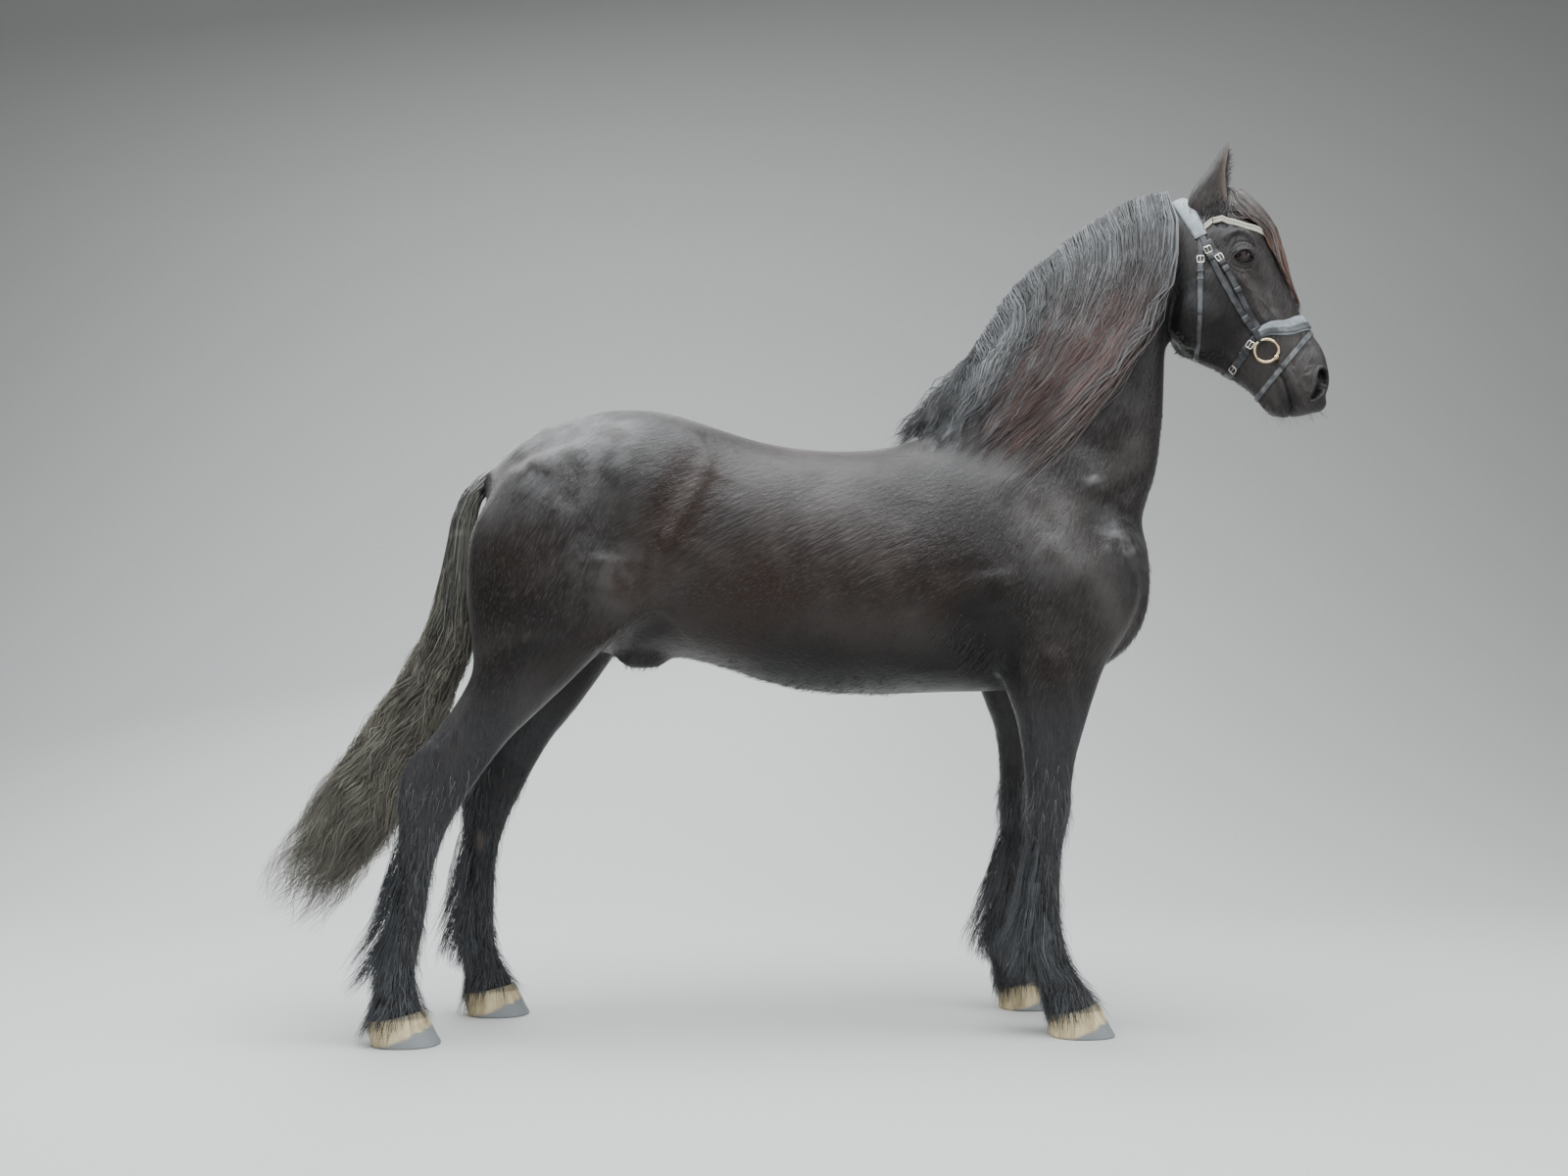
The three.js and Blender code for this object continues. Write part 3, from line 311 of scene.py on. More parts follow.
def tube(rings: np.ndarray, closed: bool = False) -> Shape:
    """A tube through rings of points.

    Args:
        rings: (rings, points, 3) array.
        closed: whether it closes on itself. Its ends are shut by fans where it doesn't.

    Returns:
        The closed mesh, facing out.
    """
    count, sides = rings.shape[:2]
    rows = np.arange(count if closed else count - 1)[:, None]
    spots = np.arange(sides)[None, :]
    a = rows * sides + spots
    b = rows * sides + (spots + 1) % sides
    c = ((rows + 1) % count) * sides + (spots + 1) % sides
    d = ((rows + 1) % count) * sides + spots
    quads = columns(a, b, c, d).reshape(-1, 4)
    faces = np.concatenate([quads[:, [0, 1, 2]], quads[:, [0, 2, 3]]])
    points = rings.reshape(-1, 3)
    if not closed:
        hub = len(points)
        points = np.concatenate([points, rings[:1].mean(axis=1), rings[-1:].mean(axis=1)])
        spot = np.arange(sides)
        after = (spot + 1) % sides
        last = (count - 1) * sides
        first_fan = columns(after, spot, hub)
        last_fan = columns(last + spot, last + after, np.full(sides, hub + 1))
        faces = np.concatenate([faces, first_fan, last_fan])
    return Shape(points, faces).outward()


def ellipsoid(
    centre: Sequence[float], radii: Sequence[float], tilt: float = 0.0, rows: int = 24
) -> Shape:
    """A closed ellipsoid.

    Args:
        centre: its middle.
        radii: its half sizes.
        tilt: how far it is turned about Y, in radians.
        rows: rings from pole to pole.

    Returns:
        The closed mesh.
    """
    down = np.linspace(0.02, math.pi - 0.02, rows)[:, None]
    round_about = turns(2 * rows)[None, :]
    ball = columns(
        np.sin(down) * np.cos(round_about), np.sin(down) * np.sin(round_about),
        np.cos(down) * np.ones_like(round_about),
    ) * np.asarray(radii, float)
    x, z = ball[..., 0].copy(), ball[..., 2].copy()
    ball[..., 0] = x * math.cos(tilt) + z * math.sin(tilt)
    ball[..., 2] = z * math.cos(tilt) - x * math.sin(tilt)
    return tube(ball + np.asarray(centre, float))


# Ovals: cross-sections that are seen edge-on from the side


def oval(
    upper: tuple[float, float],
    lower: tuple[float, float],
    half: float,
    y: float = 0,
    egg: float = 0,
    power: float = 2,
) -> tuple[float, ...]:
    """One oval from its upper or front point to its lower or back point in the side view.

    Args:
        upper: x and z of the upper or front point.
        lower: x and z of the lower or back point.
        half: how far it reaches to each side.
        y: how far its middle lies from the horse's middle.
        egg: how much narrower its upper end is.
        power: how squared off it is, 2 for an ellipse.

    Returns:
        The eight values as one row.
    """
    return (*upper, *lower, half, y, egg, power)


def loft(ovals: Sequence[tuple[float, ...]], steps: int, sides: int, side: int = RIGHT) -> Shape:
    """A closed tube on a smooth surface through ovals.

    Args:
        ovals: rows as oval gives them.
        steps: rings from one oval to the next.
        sides: points round each ring.
        side: the side of the horse that it is on.

    Returns:
        The closed mesh.
    """
    table = np.asarray(ovals, float)
    rows = spline(table[None], (len(table) - 1) * steps + 1)[0]
    ux, uz, lx, lz, half, y, egg, power = (rows[:, k, None] for k in range(8))
    angle = math.pi / 2 + turns(sides)[None, :]
    across, up = (
        np.sign(v) * np.abs(v) ** (2 / power) for v in (np.cos(angle), np.sin(angle))
    )
    x, z = ((high + low + up * (high - low)) / 2 for high, low in ((ux, lx), (uz, lz)))
    return tube(columns(x, side * y + across * half * (1 - egg * up), z))


def shrunk(ovals: Sequence[tuple[float, ...]], by: float) -> list[tuple[float, ...]]:
    """Ovals that lie further in all round."""
    made = []
    for ux, uz, lx, lz, half, *rest in ovals:
        span = math.hypot(ux - lx, uz - lz)
        dx, dz = by * (ux - lx) / span, by * (uz - lz) / span
        made.append((ux - dx, uz - dz, lx + dx, lz + dz, half - by, *rest))
    return made


TORSO = [
    oval((-800, 1440), (-800, 1120), 90),
    oval((-760, 1513), (-760, 1040), 165),
    oval((-680, 1576), (-680, 1000), 222),
    oval((-560, 1626), (-560, 985), 258, egg=-0.04),
    oval((-430, 1643), (-430, 975), 280, egg=-0.04, power=2.1),
    oval((-300, 1630), (-300, 968), 284, power=2.1),
    oval((-170, 1590), (-170, 940), 272, egg=0.05, power=2.1),
    oval((-50, 1555), (-50, 900), 284, egg=0.08),
    oval((80, 1538), (80, 874), 306, egg=0.1),
    oval((220, 1538), (220, 866), 314, egg=0.12),
    oval((340, 1562), (340, 867), 300, egg=0.17),
    oval((450, 1600), (450, 870), 272, egg=0.26),
    oval((570, 1600), (570, 873), 246, egg=0.26),
    oval((700, 1560), (700, 885), 226, egg=0.15),
    oval((820, 1480), (820, 915), 202),
    oval((910, 1410), (910, 965), 165),
    oval((970, 1350), (970, 1035), 116),
    oval((998, 1280), (998, 1130), 55),
]
NECK = [
    oval((430, 1585), (930, 1000), 205, egg=0.2),
    oval((478, 1688), (985, 1330), 160, egg=0.3),
    oval((558, 1828), (1030, 1470), 130, egg=0.3),
    oval((680, 1985), (1048, 1610), 110, egg=0.28),
    oval((828, 2112), (1055, 1730), 98, egg=0.24),
    oval((968, 2199), (1063, 1822), 91, egg=0.16),
    oval((1085, 2227), (1100, 1858), 73, egg=0.05),
]
HEAD = [
    oval((1060, 2222), (1062, 1880), 72),
    oval((1150, 2252), (1085, 1842), 84, power=2.2),
    oval((1226, 2242), (1108, 1806), 97, egg=-0.05, power=2.3),
    oval((1288, 2192), (1140, 1780), 101, egg=-0.12, power=2.4),
    oval((1327, 2136), (1180, 1760), 97, egg=-0.1, power=2.4),
    oval((1355, 2075), (1215, 1738), 86, power=2.3),
    oval((1380, 2010), (1245, 1715), 75, egg=0.12, power=2.2),
    oval((1403, 1950), (1270, 1693), 66, egg=0.16, power=2.2),
    oval((1425, 1890), (1290, 1672), 58, egg=0.14, power=2.2),
    oval((1450, 1842), (1302, 1650), 55, egg=0.08, power=2.2),
    oval((1476, 1795), (1318, 1630), 57, power=2.2),
    oval((1488, 1740), (1345, 1617), 57, power=2.2),
    oval((1488, 1695), (1380, 1612), 50),
    oval((1470, 1656), (1420, 1613), 32),
]
FORELEG = [
    oval((700, 1480), (430, 1400), 92, y=105),
    oval((855, 1300), (450, 1235), 112, y=128),
    oval((945, 1165), (478, 1095), 114, y=143),
    oval((910, 1035), (510, 990), 98, y=158),
    oval((838, 940), (548, 918), 80, y=170),
    oval((803, 862), (572, 850), 68, y=180),
    oval((777, 790), (592, 780), 60, y=185),
    oval((746, 690), (605, 682), 51, y=188),
    oval((732, 612), (608, 603), 52, y=189, power=2.3),
    oval((726, 552), (608, 546), 50, y=190, power=2.3),
    oval((709, 480), (620, 475), 40, y=190),
    oval((700, 400), (617, 396), 35, y=190),
    oval((699, 300), (611, 296), 35, y=190),
    oval((708, 224), (603, 208), 45, y=190),
    oval((731, 160), (634, 138), 41, y=190),
    oval((770, 108), (655, 82), 50, y=190),
    oval((786, 84), (662, 58), 56, y=190),
]
HINDLEG = [
    oval((-420, 1540), (-745, 1440), 125, y=115),
    oval((-330, 1335), (-822, 1300), 143, y=148),
    oval((-335, 1180), (-836, 1185), 142, y=157),
    oval((-382, 1070), (-831, 1085), 125, y=167),
    oval((-448, 1000), (-818, 1008), 108, y=176),
    oval((-532, 918), (-808, 932), 88, y=182),
    oval((-622, 830), (-836, 862), 71, y=186),
    oval((-700, 755), (-886, 785), 58, y=188),
    oval((-757, 682), (-945, 715), 49, y=190),
    oval((-792, 633), (-980, 662), 50, y=190, power=2.3),
    oval((-824, 583), (-986, 598), 51, y=190, power=2.3),
    oval((-850, 538), (-985, 542), 45, y=190),
    oval((-878, 468), (-984, 468), 37, y=190),
    oval((-896, 390), (-988, 387), 34, y=190),
    oval((-907, 300), (-1000, 296), 35, y=190),
    oval((-922, 226), (-1022, 214), 44, y=190),
    oval((-930, 165), (-1024, 148), 41, y=190),
    oval((-918, 108), (-1036, 84), 50, y=190),
    oval((-906, 84), (-1050, 58), 56, y=190),
]
# Where the left legs stand, ahead of or behind the right ones, by height
FORE_STANCE = [(0, -60), (100, -50), (215, -28), (400, -2), (560, 8), (750, 14), (900, 0)]
HIND_STANCE = [
    (0, 186), (100, 170), (215, 134), (320, 112), (600, 92), (800, 57), (900, 28), (1000, 0),
]


class End(Enum):
    """Which pair a leg belongs to."""

    FORE = "fore"
    HIND = "hind"


@dataclass(frozen=True)
class Leg:
    """One leg: its pair and its side."""

    end: End
    side: int

    @property
    def name(self) -> str:
        """The end and side as the nodes' names have them."""
        return f"{self.end.value}_{side_name(self.side)}"

    @property
    def stance(self) -> list[tuple[float, float]]:
        """How far it stands forward of the drawn leg, by height."""
        if self.side == RIGHT:
            return [(0, 0)]
        return FORE_STANCE if self.end is End.FORE else HIND_STANCE

    @property
    def ovals(self) -> list[tuple[float, ...]]:
        """Its ovals where it stands."""
        drawn = FORELEG if self.end is End.FORE else HINDLEG
        return [
            (ux + along(self.stance, uz), uz, lx + along(self.stance, lz), lz, *rest)
            for ux, uz, lx, lz, *rest in drawn
        ]

    def at(self, z: np.ndarray) -> tuple[np.ndarray, np.ndarray, np.ndarray]:
        """Its front x, back x and half breadth at heights."""
        rows = np.asarray(self.ovals[::-1])
        z = np.asarray(z, float)
        return (
            np.interp(z, rows[:, 1], rows[:, 0]),
            np.interp(z, rows[:, 3], rows[:, 2]),
            np.interp(z, rows[:, 1], rows[:, 4]),
        )


EAR_STUMP = [
    oval((1222, 2170), (1140, 2166), 32, y=44),
    oval((1228, 2200), (1140, 2194), 33, y=49),
    oval((1229, 2224), (1141, 2220), 31, y=53),
    oval((1222, 2242), (1150, 2240), 22, y=57),
]
LEGS = [Leg(end, side) for side in (RIGHT, LEFT) for end in (End.FORE, End.HIND)]
TAIL_LINE = [
    (-775, 0, 1465), (-828, 0, 1430), (-868, 0, 1350), (-880, 0, 1230), (-893, 0, 1090),
    (-928, 0, 950), (-1000, 0, 790), (-1085, 0, 640), (-1170, 0, 500), (-1282, 0, 340),
]
DOCK_END = 0.34  # share of the tail's line at which the dock ends
TAIL_DEEP = [(0, 22), (0.1, 28), (0.3, 50), (0.5, 84), (0.75, 116), (1, 108)]
TAIL_WIDE = [(0, 24), (0.1, 32), (0.3, 54), (0.5, 70), (0.75, 88), (1, 96)]


# Skin


class Relief(Enum):
    """What a stroke does to the skin along its line."""

    RIDGE = "a rounded ridge, or a groove where its height is negative"
    FOLD = "a fold, raised on the left of the line and sunk on its right"


@dataclass(frozen=True)
class Stroke:
    """A muscle, fold, vein or groove, drawn on the skin in the side view.

    Attributes:
        places: x and z of its line's points.
        radius: how far it reaches to each side.
        height: how far it lifts the skin.
        relief: its cross-section.
        sides: the sides of the horse that have it.
        within: the range of distances from the middle in which it acts.
        all_round: whether it acts on skin that faces any way, not only to its side.
    """

    places: tuple[tuple[float, float], ...]
    radius: float
    height: float
    relief: Relief = Relief.RIDGE
    sides: tuple[int, ...] = (RIGHT, LEFT)
    within: tuple[float, float] = (0, 1000)
    all_round: bool = False

    def lift(self, flat: np.ndarray) -> np.ndarray:
        """How far it lifts skin points.

        Args:
            flat: x and z of the points.

        Returns:
            One height for each.
        """
        line = np.asarray(self.places, float)
        if len(line) > 2:
            line = spline(line[None], 4 * len(line))[0]
        nearest = np.full(len(flat), np.inf)
        turned = np.zeros(len(flat))
        share = np.zeros(len(flat))
        for i, (a, b) in enumerate(zip(line[:-1], line[1:])):
            span = b - a
            t = np.clip(((flat - a) @ span) / max(span @ span, TINY), 0, 1)
            off = flat - a - t[:, None] * span
            distance = np.hypot(off[:, 0], off[:, 1])
            closer = distance < nearest
            nearest = np.where(closer, distance, nearest)
            hand = np.sign(span[0] * off[:, 1] - span[1] * off[:, 0])
            turned = np.where(closer, hand, turned)
            share = np.where(closer, (i + t) / (len(line) - 1), share)
        near = np.clip(1 - (nearest / self.radius) ** 2, 0, 1) ** 2
        fade = 1.0
        if len(line) > 1:
            fade = smoothstep(share, -0.02, 0.2) * (1 - smoothstep(share, 0.8, 1.02)) * 0.75 + 0.25
        if self.relief is Relief.FOLD:
            across = np.tanh(turned * nearest / (0.16 * self.radius))
            return self.height * near * across * fade
        return self.height * near * fade


def ridge(radius: float, height: float, *places: tuple[float, float], **options) -> Stroke:
    """A ridge or groove through side-view places."""
    return Stroke(places, radius, height, **options)


def fold(radius: float, height: float, *places: tuple[float, float], **options) -> Stroke:
    """A fold through side-view places, raised on the left of its line."""
    return Stroke(places, radius, height, Relief.FOLD, **options)


BODY_STROKES = [
    # flank, stifle and thigh
    ridge(120, -8, (-180, 1430), (-215, 1340), (-270, 1240)),
    ridge(
        36, 9.5, (-208, 1500), (-216, 1440), (-255, 1345), (-308, 1250), (-350, 1178), (-392, 1105),
        (-412, 1060),
    ),
    ridge(52, -10, (-262, 1460), (-302, 1370), (-350, 1262), (-392, 1180), (-425, 1105)),
    ridge(80, 6, (-215, 1530), (-290, 1510)),
    ridge(120, 13, (-455, 1215), (-462, 1105)),
    ridge(24, 7, (-520, 972), (-462, 1004), (-411, 1042), (-366, 1080), (-330, 1092)),
    ridge(34, -8, (-470, 962), (-415, 1000), (-360, 1040), (-300, 1062)),
    ridge(22, 5, (-330, 1090), (-285, 1060), (-240, 1000)),
    ridge(40, -4.5, (-425, 1370), (-579, 1215), (-715, 1115)),
    ridge(80, 5, (-560, 1340), (-690, 1190)),
    ridge(40, -4.5, (-690, 1450), (-765, 1290), (-785, 1150)),
    ridge(150, 6, (-560, 1540), (-660, 1430)),
    ridge(46, -5, (-505, 1075), (-600, 1030), (-720, 1020)),
    # barrel and ribs
    ridge(70, -4, (164, 1407), (240, 1350), (323, 1297)),
    ridge(36, 1.8, (-60, 1340), (-40, 1180), (20, 1060)),
    ridge(36, 1.8, (20, 1360), (50, 1190), (110, 1050)),
    ridge(36, 1.8, (100, 1370), (140, 1190), (200, 1050)),
    ridge(36, 1.6, (190, 1370), (230, 1190), (290, 1060)),
    ridge(90, -7, (342, 1119), (370, 1000), (380, 920)),
    # shoulder, elbow and triceps
    ridge(80, -12, (418, 1200), (436, 1120), (436, 1050)),
    ridge(110, 12, (520, 1180), (540, 1075)),
    ridge(38, -7, (424, 1046), (470, 1006), (520, 950), (565, 905)),
    ridge(110, 9, (650, 1250), (760, 1130)),
    ridge(60, -6, (549, 1060), (644, 985), (758, 1036), (827, 1127), (873, 1189)),
    ridge(46, -4.5, (389, 1526), (502, 1496), (603, 1393), (714, 1269), (800, 1160)),
    ridge(60, 6, (460, 1565), (560, 1460), (660, 1340)),
    ridge(70, 13, (879, 1294), (905, 1262), (932, 1232)),
    ridge(46, 8, (837, 1412), (826, 1436)),
    ridge(42, -8, (846, 1366), (890, 1348), (944, 1318)),
    ridge(60, -6, (800, 1330), (830, 1230)),
    fold(60, 7, (973, 1136), (939, 1042), (861, 948), within=(20, 260)),
    # neck
    ridge(80, 6, (720, 1900), (860, 1740), (940, 1560)),
    ridge(60, -6, (600, 1640), (760, 1560), (900, 1480)),
    ridge(46, -3, (1022, 1800), (1012, 1640), (980, 1480)),
    ridge(40, 2, (990, 1780), (970, 1640), (930, 1500)),
    ridge(30, -5, (960, 1440), (930, 1400), (880, 1380)),
]
LEG_STROKES = [
    # forearm
    ridge(42, 7, (669, 985), (700, 900), (731, 782)),
    ridge(30, -5, (640, 950), (660, 860), (676, 740)),
    ridge(32, 6, (590, 930), (612, 850), (640, 740)),
    ridge(26, -4, (740, 900), (748, 800), (730, 700)),
    # knee
    ridge(34, 6, (700, 610), (704, 560)),
    ridge(18, -4, (640, 640), (650, 590), (640, 540)),
    ridge(20, 5, (622, 605), (618, 560)),
    # fore cannon and its tendons
    ridge(11, -4.5, (655, 500), (650, 400), (650, 260)),
    ridge(10, 3, (635, 500), (632, 400), (630, 260)),
    # gaskin and hock
    ridge(52, 8, (-560, 980), (-640, 880), (-720, 780)),
    ridge(30, -7, (-800, 900), (-850, 800), (-900, 730)),
    ridge(20, 6, (-830, 880), (-885, 770), (-950, 690)),
    ridge(20, 6, (-940, 710), (-962, 660), (-960, 600)),
    ridge(26, -6, (-880, 720), (-900, 660), (-930, 600)),
    ridge(30, 5, (-820, 640), (-850, 590)),
    # hind cannon and its tendons
    ridge(11, -4.5, (-935, 520), (-945, 400), (-955, 260)),
    ridge(10, 3, (-958, 520), (-968, 400), (-978, 260)),
    # pasterns
    ridge(22, -4, (640, 190), (690, 150)),
    ridge(22, -4, (-1000, 190), (-960, 150)),
]
HEAD_STROKES = [
    ridge(20, 6, (1258, 1990), (1272, 1952), (1291, 1905), (1309, 1862)),
    ridge(26, -3.5, (1296, 1985), (1312, 1935), (1328, 1890)),
    ridge(30, -4, (1334, 1985), (1352, 1930), (1370, 1880), (1384, 1830)),
    ridge(16, 4.5, (1213, 2082), (1228, 2104), (1258, 2113), (1286, 2098), (1302, 2066)),
    ridge(28, -8, (1191, 2137), (1209, 2146), (1234, 2134)),
    ridge(24, -3.5, (1196, 2076), (1178, 2040), (1172, 2000)),
    fold(40, -4.5, (1092, 2118), (1071, 2025), (1064, 1932), (1052, 1840)),
    ridge(70, 6, (1128, 1990), (1150, 1900), (1190, 1850)),
    fold(30, -4, (1075, 1835), (1130, 1795), (1200, 1760), (1240, 1730)),
    ridge(5.5, 1.3, (1240, 2000), (1262, 1960), (1310, 1922), (1345, 1878), (1360, 1845)),
    ridge(5, 1.1, (1300, 1930), (1292, 1890), (1304, 1850)),
    ridge(5, 1.0, (1345, 1878), (1330, 1850), (1340, 1810)),
    ridge(14, 3, (1395, 1880), (1420, 1830), (1440, 1790)),
    ridge(20, -3, (1410, 1800), (1424, 1762), (1432, 1738)),
    # wrinkles round the eye
    ridge(6, -1.0, (1228, 2030), (1240, 2014), (1258, 2005), (1280, 2006), (1296, 2018)),
    ridge(6, -0.8, (1224, 2018), (1240, 2000), (1262, 1993)),
    ridge(6, -0.9, (1232, 2062), (1252, 2079), (1278, 2079), (1298, 2062)),
    # mouth and chin
    ridge(14, 2.4, (1338, 1738), (1350, 1706), (1360, 1670), (1366, 1632)),
    ridge(16, 3.2, (1366, 1742), (1380, 1710), (1392, 1672), (1400, 1636)),
    ridge(6, -2, (1328, 1765), (1342, 1772), (1356, 1770)),
    ridge(6, -2, (1373, 1767), (1384, 1754), (1389, 1739)),
    ridge(6, -1.6, (1318, 1750), (1332, 1744), (1344, 1742)),
    ridge(5, -1.3, (1386, 1730), (1392, 1712), (1394, 1696)),
    ridge(18, -4, (1296, 1668), (1310, 1652), (1322, 1640)),
    ridge(22, 4, (1330, 1640), (1352, 1630)),
    ridge(18, 3.5, (1422, 1722), (1430, 1690), (1420, 1662)),
    ridge(12, -2.5, (1400, 1690), (1404, 1660), (1400, 1640)),
]
TINTS = [
    ridge(130, 0.8, (-222, 1510), (-250, 1400), (-312, 1270), (-385, 1150), (-425, 1080)),
    ridge(210, 0.6, (-260, 1150), (-130, 1090), (0, 1000)),
    ridge(120, 0.7, (385, 1190), (415, 1100), (430, 1040)),
    ridge(70, 0.5, (-70, 1530), (120, 1520), (270, 1535)),
    ridge(330, 0.5, (-150, 1240), (100, 1190), (330, 1170)),
    ridge(170, 0.35, (60, 960), (400, 930)),
    ridge(170, 0.35, (-600, 1280), (-740, 1150)),
    ridge(70, 0.5, (-520, 975), (-430, 1030)),
    ridge(90, 0.45, (-600, 880), (-540, 960)),
    ridge(80, 0.3, (1235, 1990), (1270, 1930)),
    ridge(90, 0.3, (1180, 2290), (1236, 2370)),
    ridge(110, 0.3, (700, 1000), (640, 880)),
]
# Painted highlights: where pale grey is painted into the coat and the coat is glossier, on the shoulder,
# croup, thigh, cheekbone and nose
PAINTED_HIGHLIGHTS = [
    ridge(84, 0.95, (868, 1320), (900, 1268), (925, 1225)),
    ridge(50, 0.7, (837, 1415), (824, 1450)),
    ridge(260, 0.6, (-380, 1600), (-560, 1530), (-700, 1400)),
    ridge(190, 0.3, (-440, 1260), (-470, 1120)),
    ridge(170, 0.22, (620, 1330), (700, 1150)),
    ridge(60, 0.4, (1310, 1940), (1350, 1880)),
    ridge(40, 0.3, (1430, 1800), (1450, 1760)),
]
# Painted shade: where the coat is painted darker, on the jaw, the throat, behind the elbows, under the
# belly, in the groin, on the chest, at the ear's base and on the gaskin
PAINTED_SHADES = [
    ridge(150, 0.8, (1150, 2010), (1180, 1900), (1260, 1820)),
    ridge(130, 0.9, (1075, 2050), (1040, 1900), (990, 1760), (930, 1640)),
    ridge(130, 0.9, (452, 1130), (500, 1010), (600, 930)),
    ridge(170, 0.95, (-120, 930), (150, 900), (460, 900)),
    ridge(110, 0.7, (-420, 1000), (-330, 960)),
    ridge(110, 0.6, (840, 1130), (925, 1180)),
    ridge(70, 0.8, (1185, 2140), (1240, 2120)),
    ridge(150, 0.6, (-640, 1020), (-560, 880)),
]
MOUTH = Stroke(
    ((1347, 1738), (1352, 1724), (1362, 1706), (1371, 1672), (1380, 1631), (1386, 1590)),
    5.0, -6.0, all_round=True,
)
NOSTRIL = [
    (1448, 1708), (1451, 1722), (1457, 1731), (1466, 1734), (1474, 1730), (1479, 1719), (1480, 1707),
    (1479, 1692), (1475, 1679), (1464, 1667), (1452, 1658), (1441, 1650), (1431, 1648), (1429, 1655),
    (1436, 1666), (1442, 1678), (1446, 1693),
]
EYE_OUTLINE = [
    (1244.5, 2040), (1251, 2048), (1260, 2053), (1270, 2054), (1278, 2050.5), (1284, 2043), (1287, 2034),
    (1283, 2029), (1276, 2025.5), (1266, 2024.5), (1256, 2027), (1249, 2031.5),
]


@dataclass(frozen=True)
class EyePlace:
    """One eyeball: where it sits in the straight head, and the almond that its lids leave open.

    Attributes:
        side: the side of the head.
        depth: how far its centre is from the head's middle.
        x: its place along the horse.
        z: its height.
        radius: half its size.
    """

    side: int
    depth: float
    x: float = EYE[0]
    z: float = EYE[1]
    radius: float = 21

    @property
    def centre(self) -> np.ndarray:
        """The eyeball's centre."""
        return np.array([self.x, self.side * self.depth, self.z])

    def openness(self, points: np.ndarray) -> tuple[np.ndarray, np.ndarray]:
        """How far points are from the opening's middle, as shares of its outline and in mm."""
        outline = np.asarray(EYE_OUTLINE) - (self.x, self.z)
        angles = np.arctan2(outline[:, 1], outline[:, 0])
        order = np.argsort(angles)
        reach = np.hypot(*outline.T)[order]
        off = points[:, [0, 2]] - (self.x, self.z)
        angle = np.arctan2(off[:, 1], off[:, 0])
        rim = np.interp(angle, angles[order], reach, period=math.tau)
        distance = np.hypot(*off.T)
        return distance / rim, distance

    def on_ball(self, flat: np.ndarray, lift: float) -> np.ndarray:
        """Side-view points laid on the eyeball, lifted off it."""
        off = flat - (self.x, self.z)
        out = np.sqrt(np.maximum((self.radius + lift) ** 2 - (off**2).sum(axis=1), 0))
        return columns(flat[:, 0], self.side * (self.depth + out), flat[:, 1])


def depth_inside(flat: np.ndarray, outline: Pairs) -> np.ndarray:
    """How deep points lie inside a closed outline, negative outside."""
    corners = np.asarray(outline, float)
    nearest = np.full(len(flat), np.inf)
    inside = np.zeros(len(flat), bool)
    for a, b in zip(corners, np.roll(corners, -1, axis=0)):
        span = b - a
        t = np.clip(((flat - a) @ span) / (span @ span), 0, 1)
        nearest = np.minimum(nearest, np.linalg.norm(flat - a - t[:, None] * span, axis=1))
        crosses = (a[1] > flat[:, 1]) != (b[1] > flat[:, 1])
        at = a[0] + (flat[:, 1] - a[1]) * span[0] / (span[1] if abs(span[1]) > TINY else TINY)
        inside ^= crosses & (flat[:, 0] < at)
    return np.where(inside, nearest, -nearest)


def smoothed(
    points: np.ndarray, edges: np.ndarray, weight: np.ndarray, rounds: int
) -> np.ndarray:
    """Points moved towards the mean of their neighbours.

    Args:
        points: (n, 3) places.
        edges: pairs of neighbours.
        weight: how much each point follows, from 0 to 1.
        rounds: how many times over.

    Returns:
        The moved points.
    """
    count = len(points)
    degree = np.maximum(np.bincount(edges.ravel(), minlength=count), 1)
    a, b = edges.T
    for _ in range(rounds):
        mean = np.stack(
            [
                (np.bincount(a, points[b, k], count) + np.bincount(b, points[a, k], count)) / degree
                for k in range(3)
            ],
            axis=1,
        )
        points = points + 0.5 * weight[:, None] * (mean - points)
    return points


def moved(mesh: Mesh, points: np.ndarray) -> None:
    """Sets where the mesh's points are."""
    mesh.vertices.foreach_set("co", points.astype(np.float32).ravel())
    mesh.update()


def attribute(mesh: Mesh, name: str, values: np.ndarray) -> None:
    """Stores one number for each point of the mesh."""
    layer = mesh.attributes.new(name, "FLOAT", "POINT")
    layer.data.foreach_set("value", np.asarray(values, np.float32))


def apart(points: np.ndarray, place: tuple[float, float]) -> np.ndarray:
    """How far points lie from a place in the side view."""
    return np.hypot(points[:, 0] - place[0], points[:, 2] - place[1])


def on_head(points: np.ndarray) -> np.ndarray:
    """Which points are the head's."""
    return (points[:, 0] > HEAD_FROM[0]) & (points[:, 2] > HEAD_FROM[1])


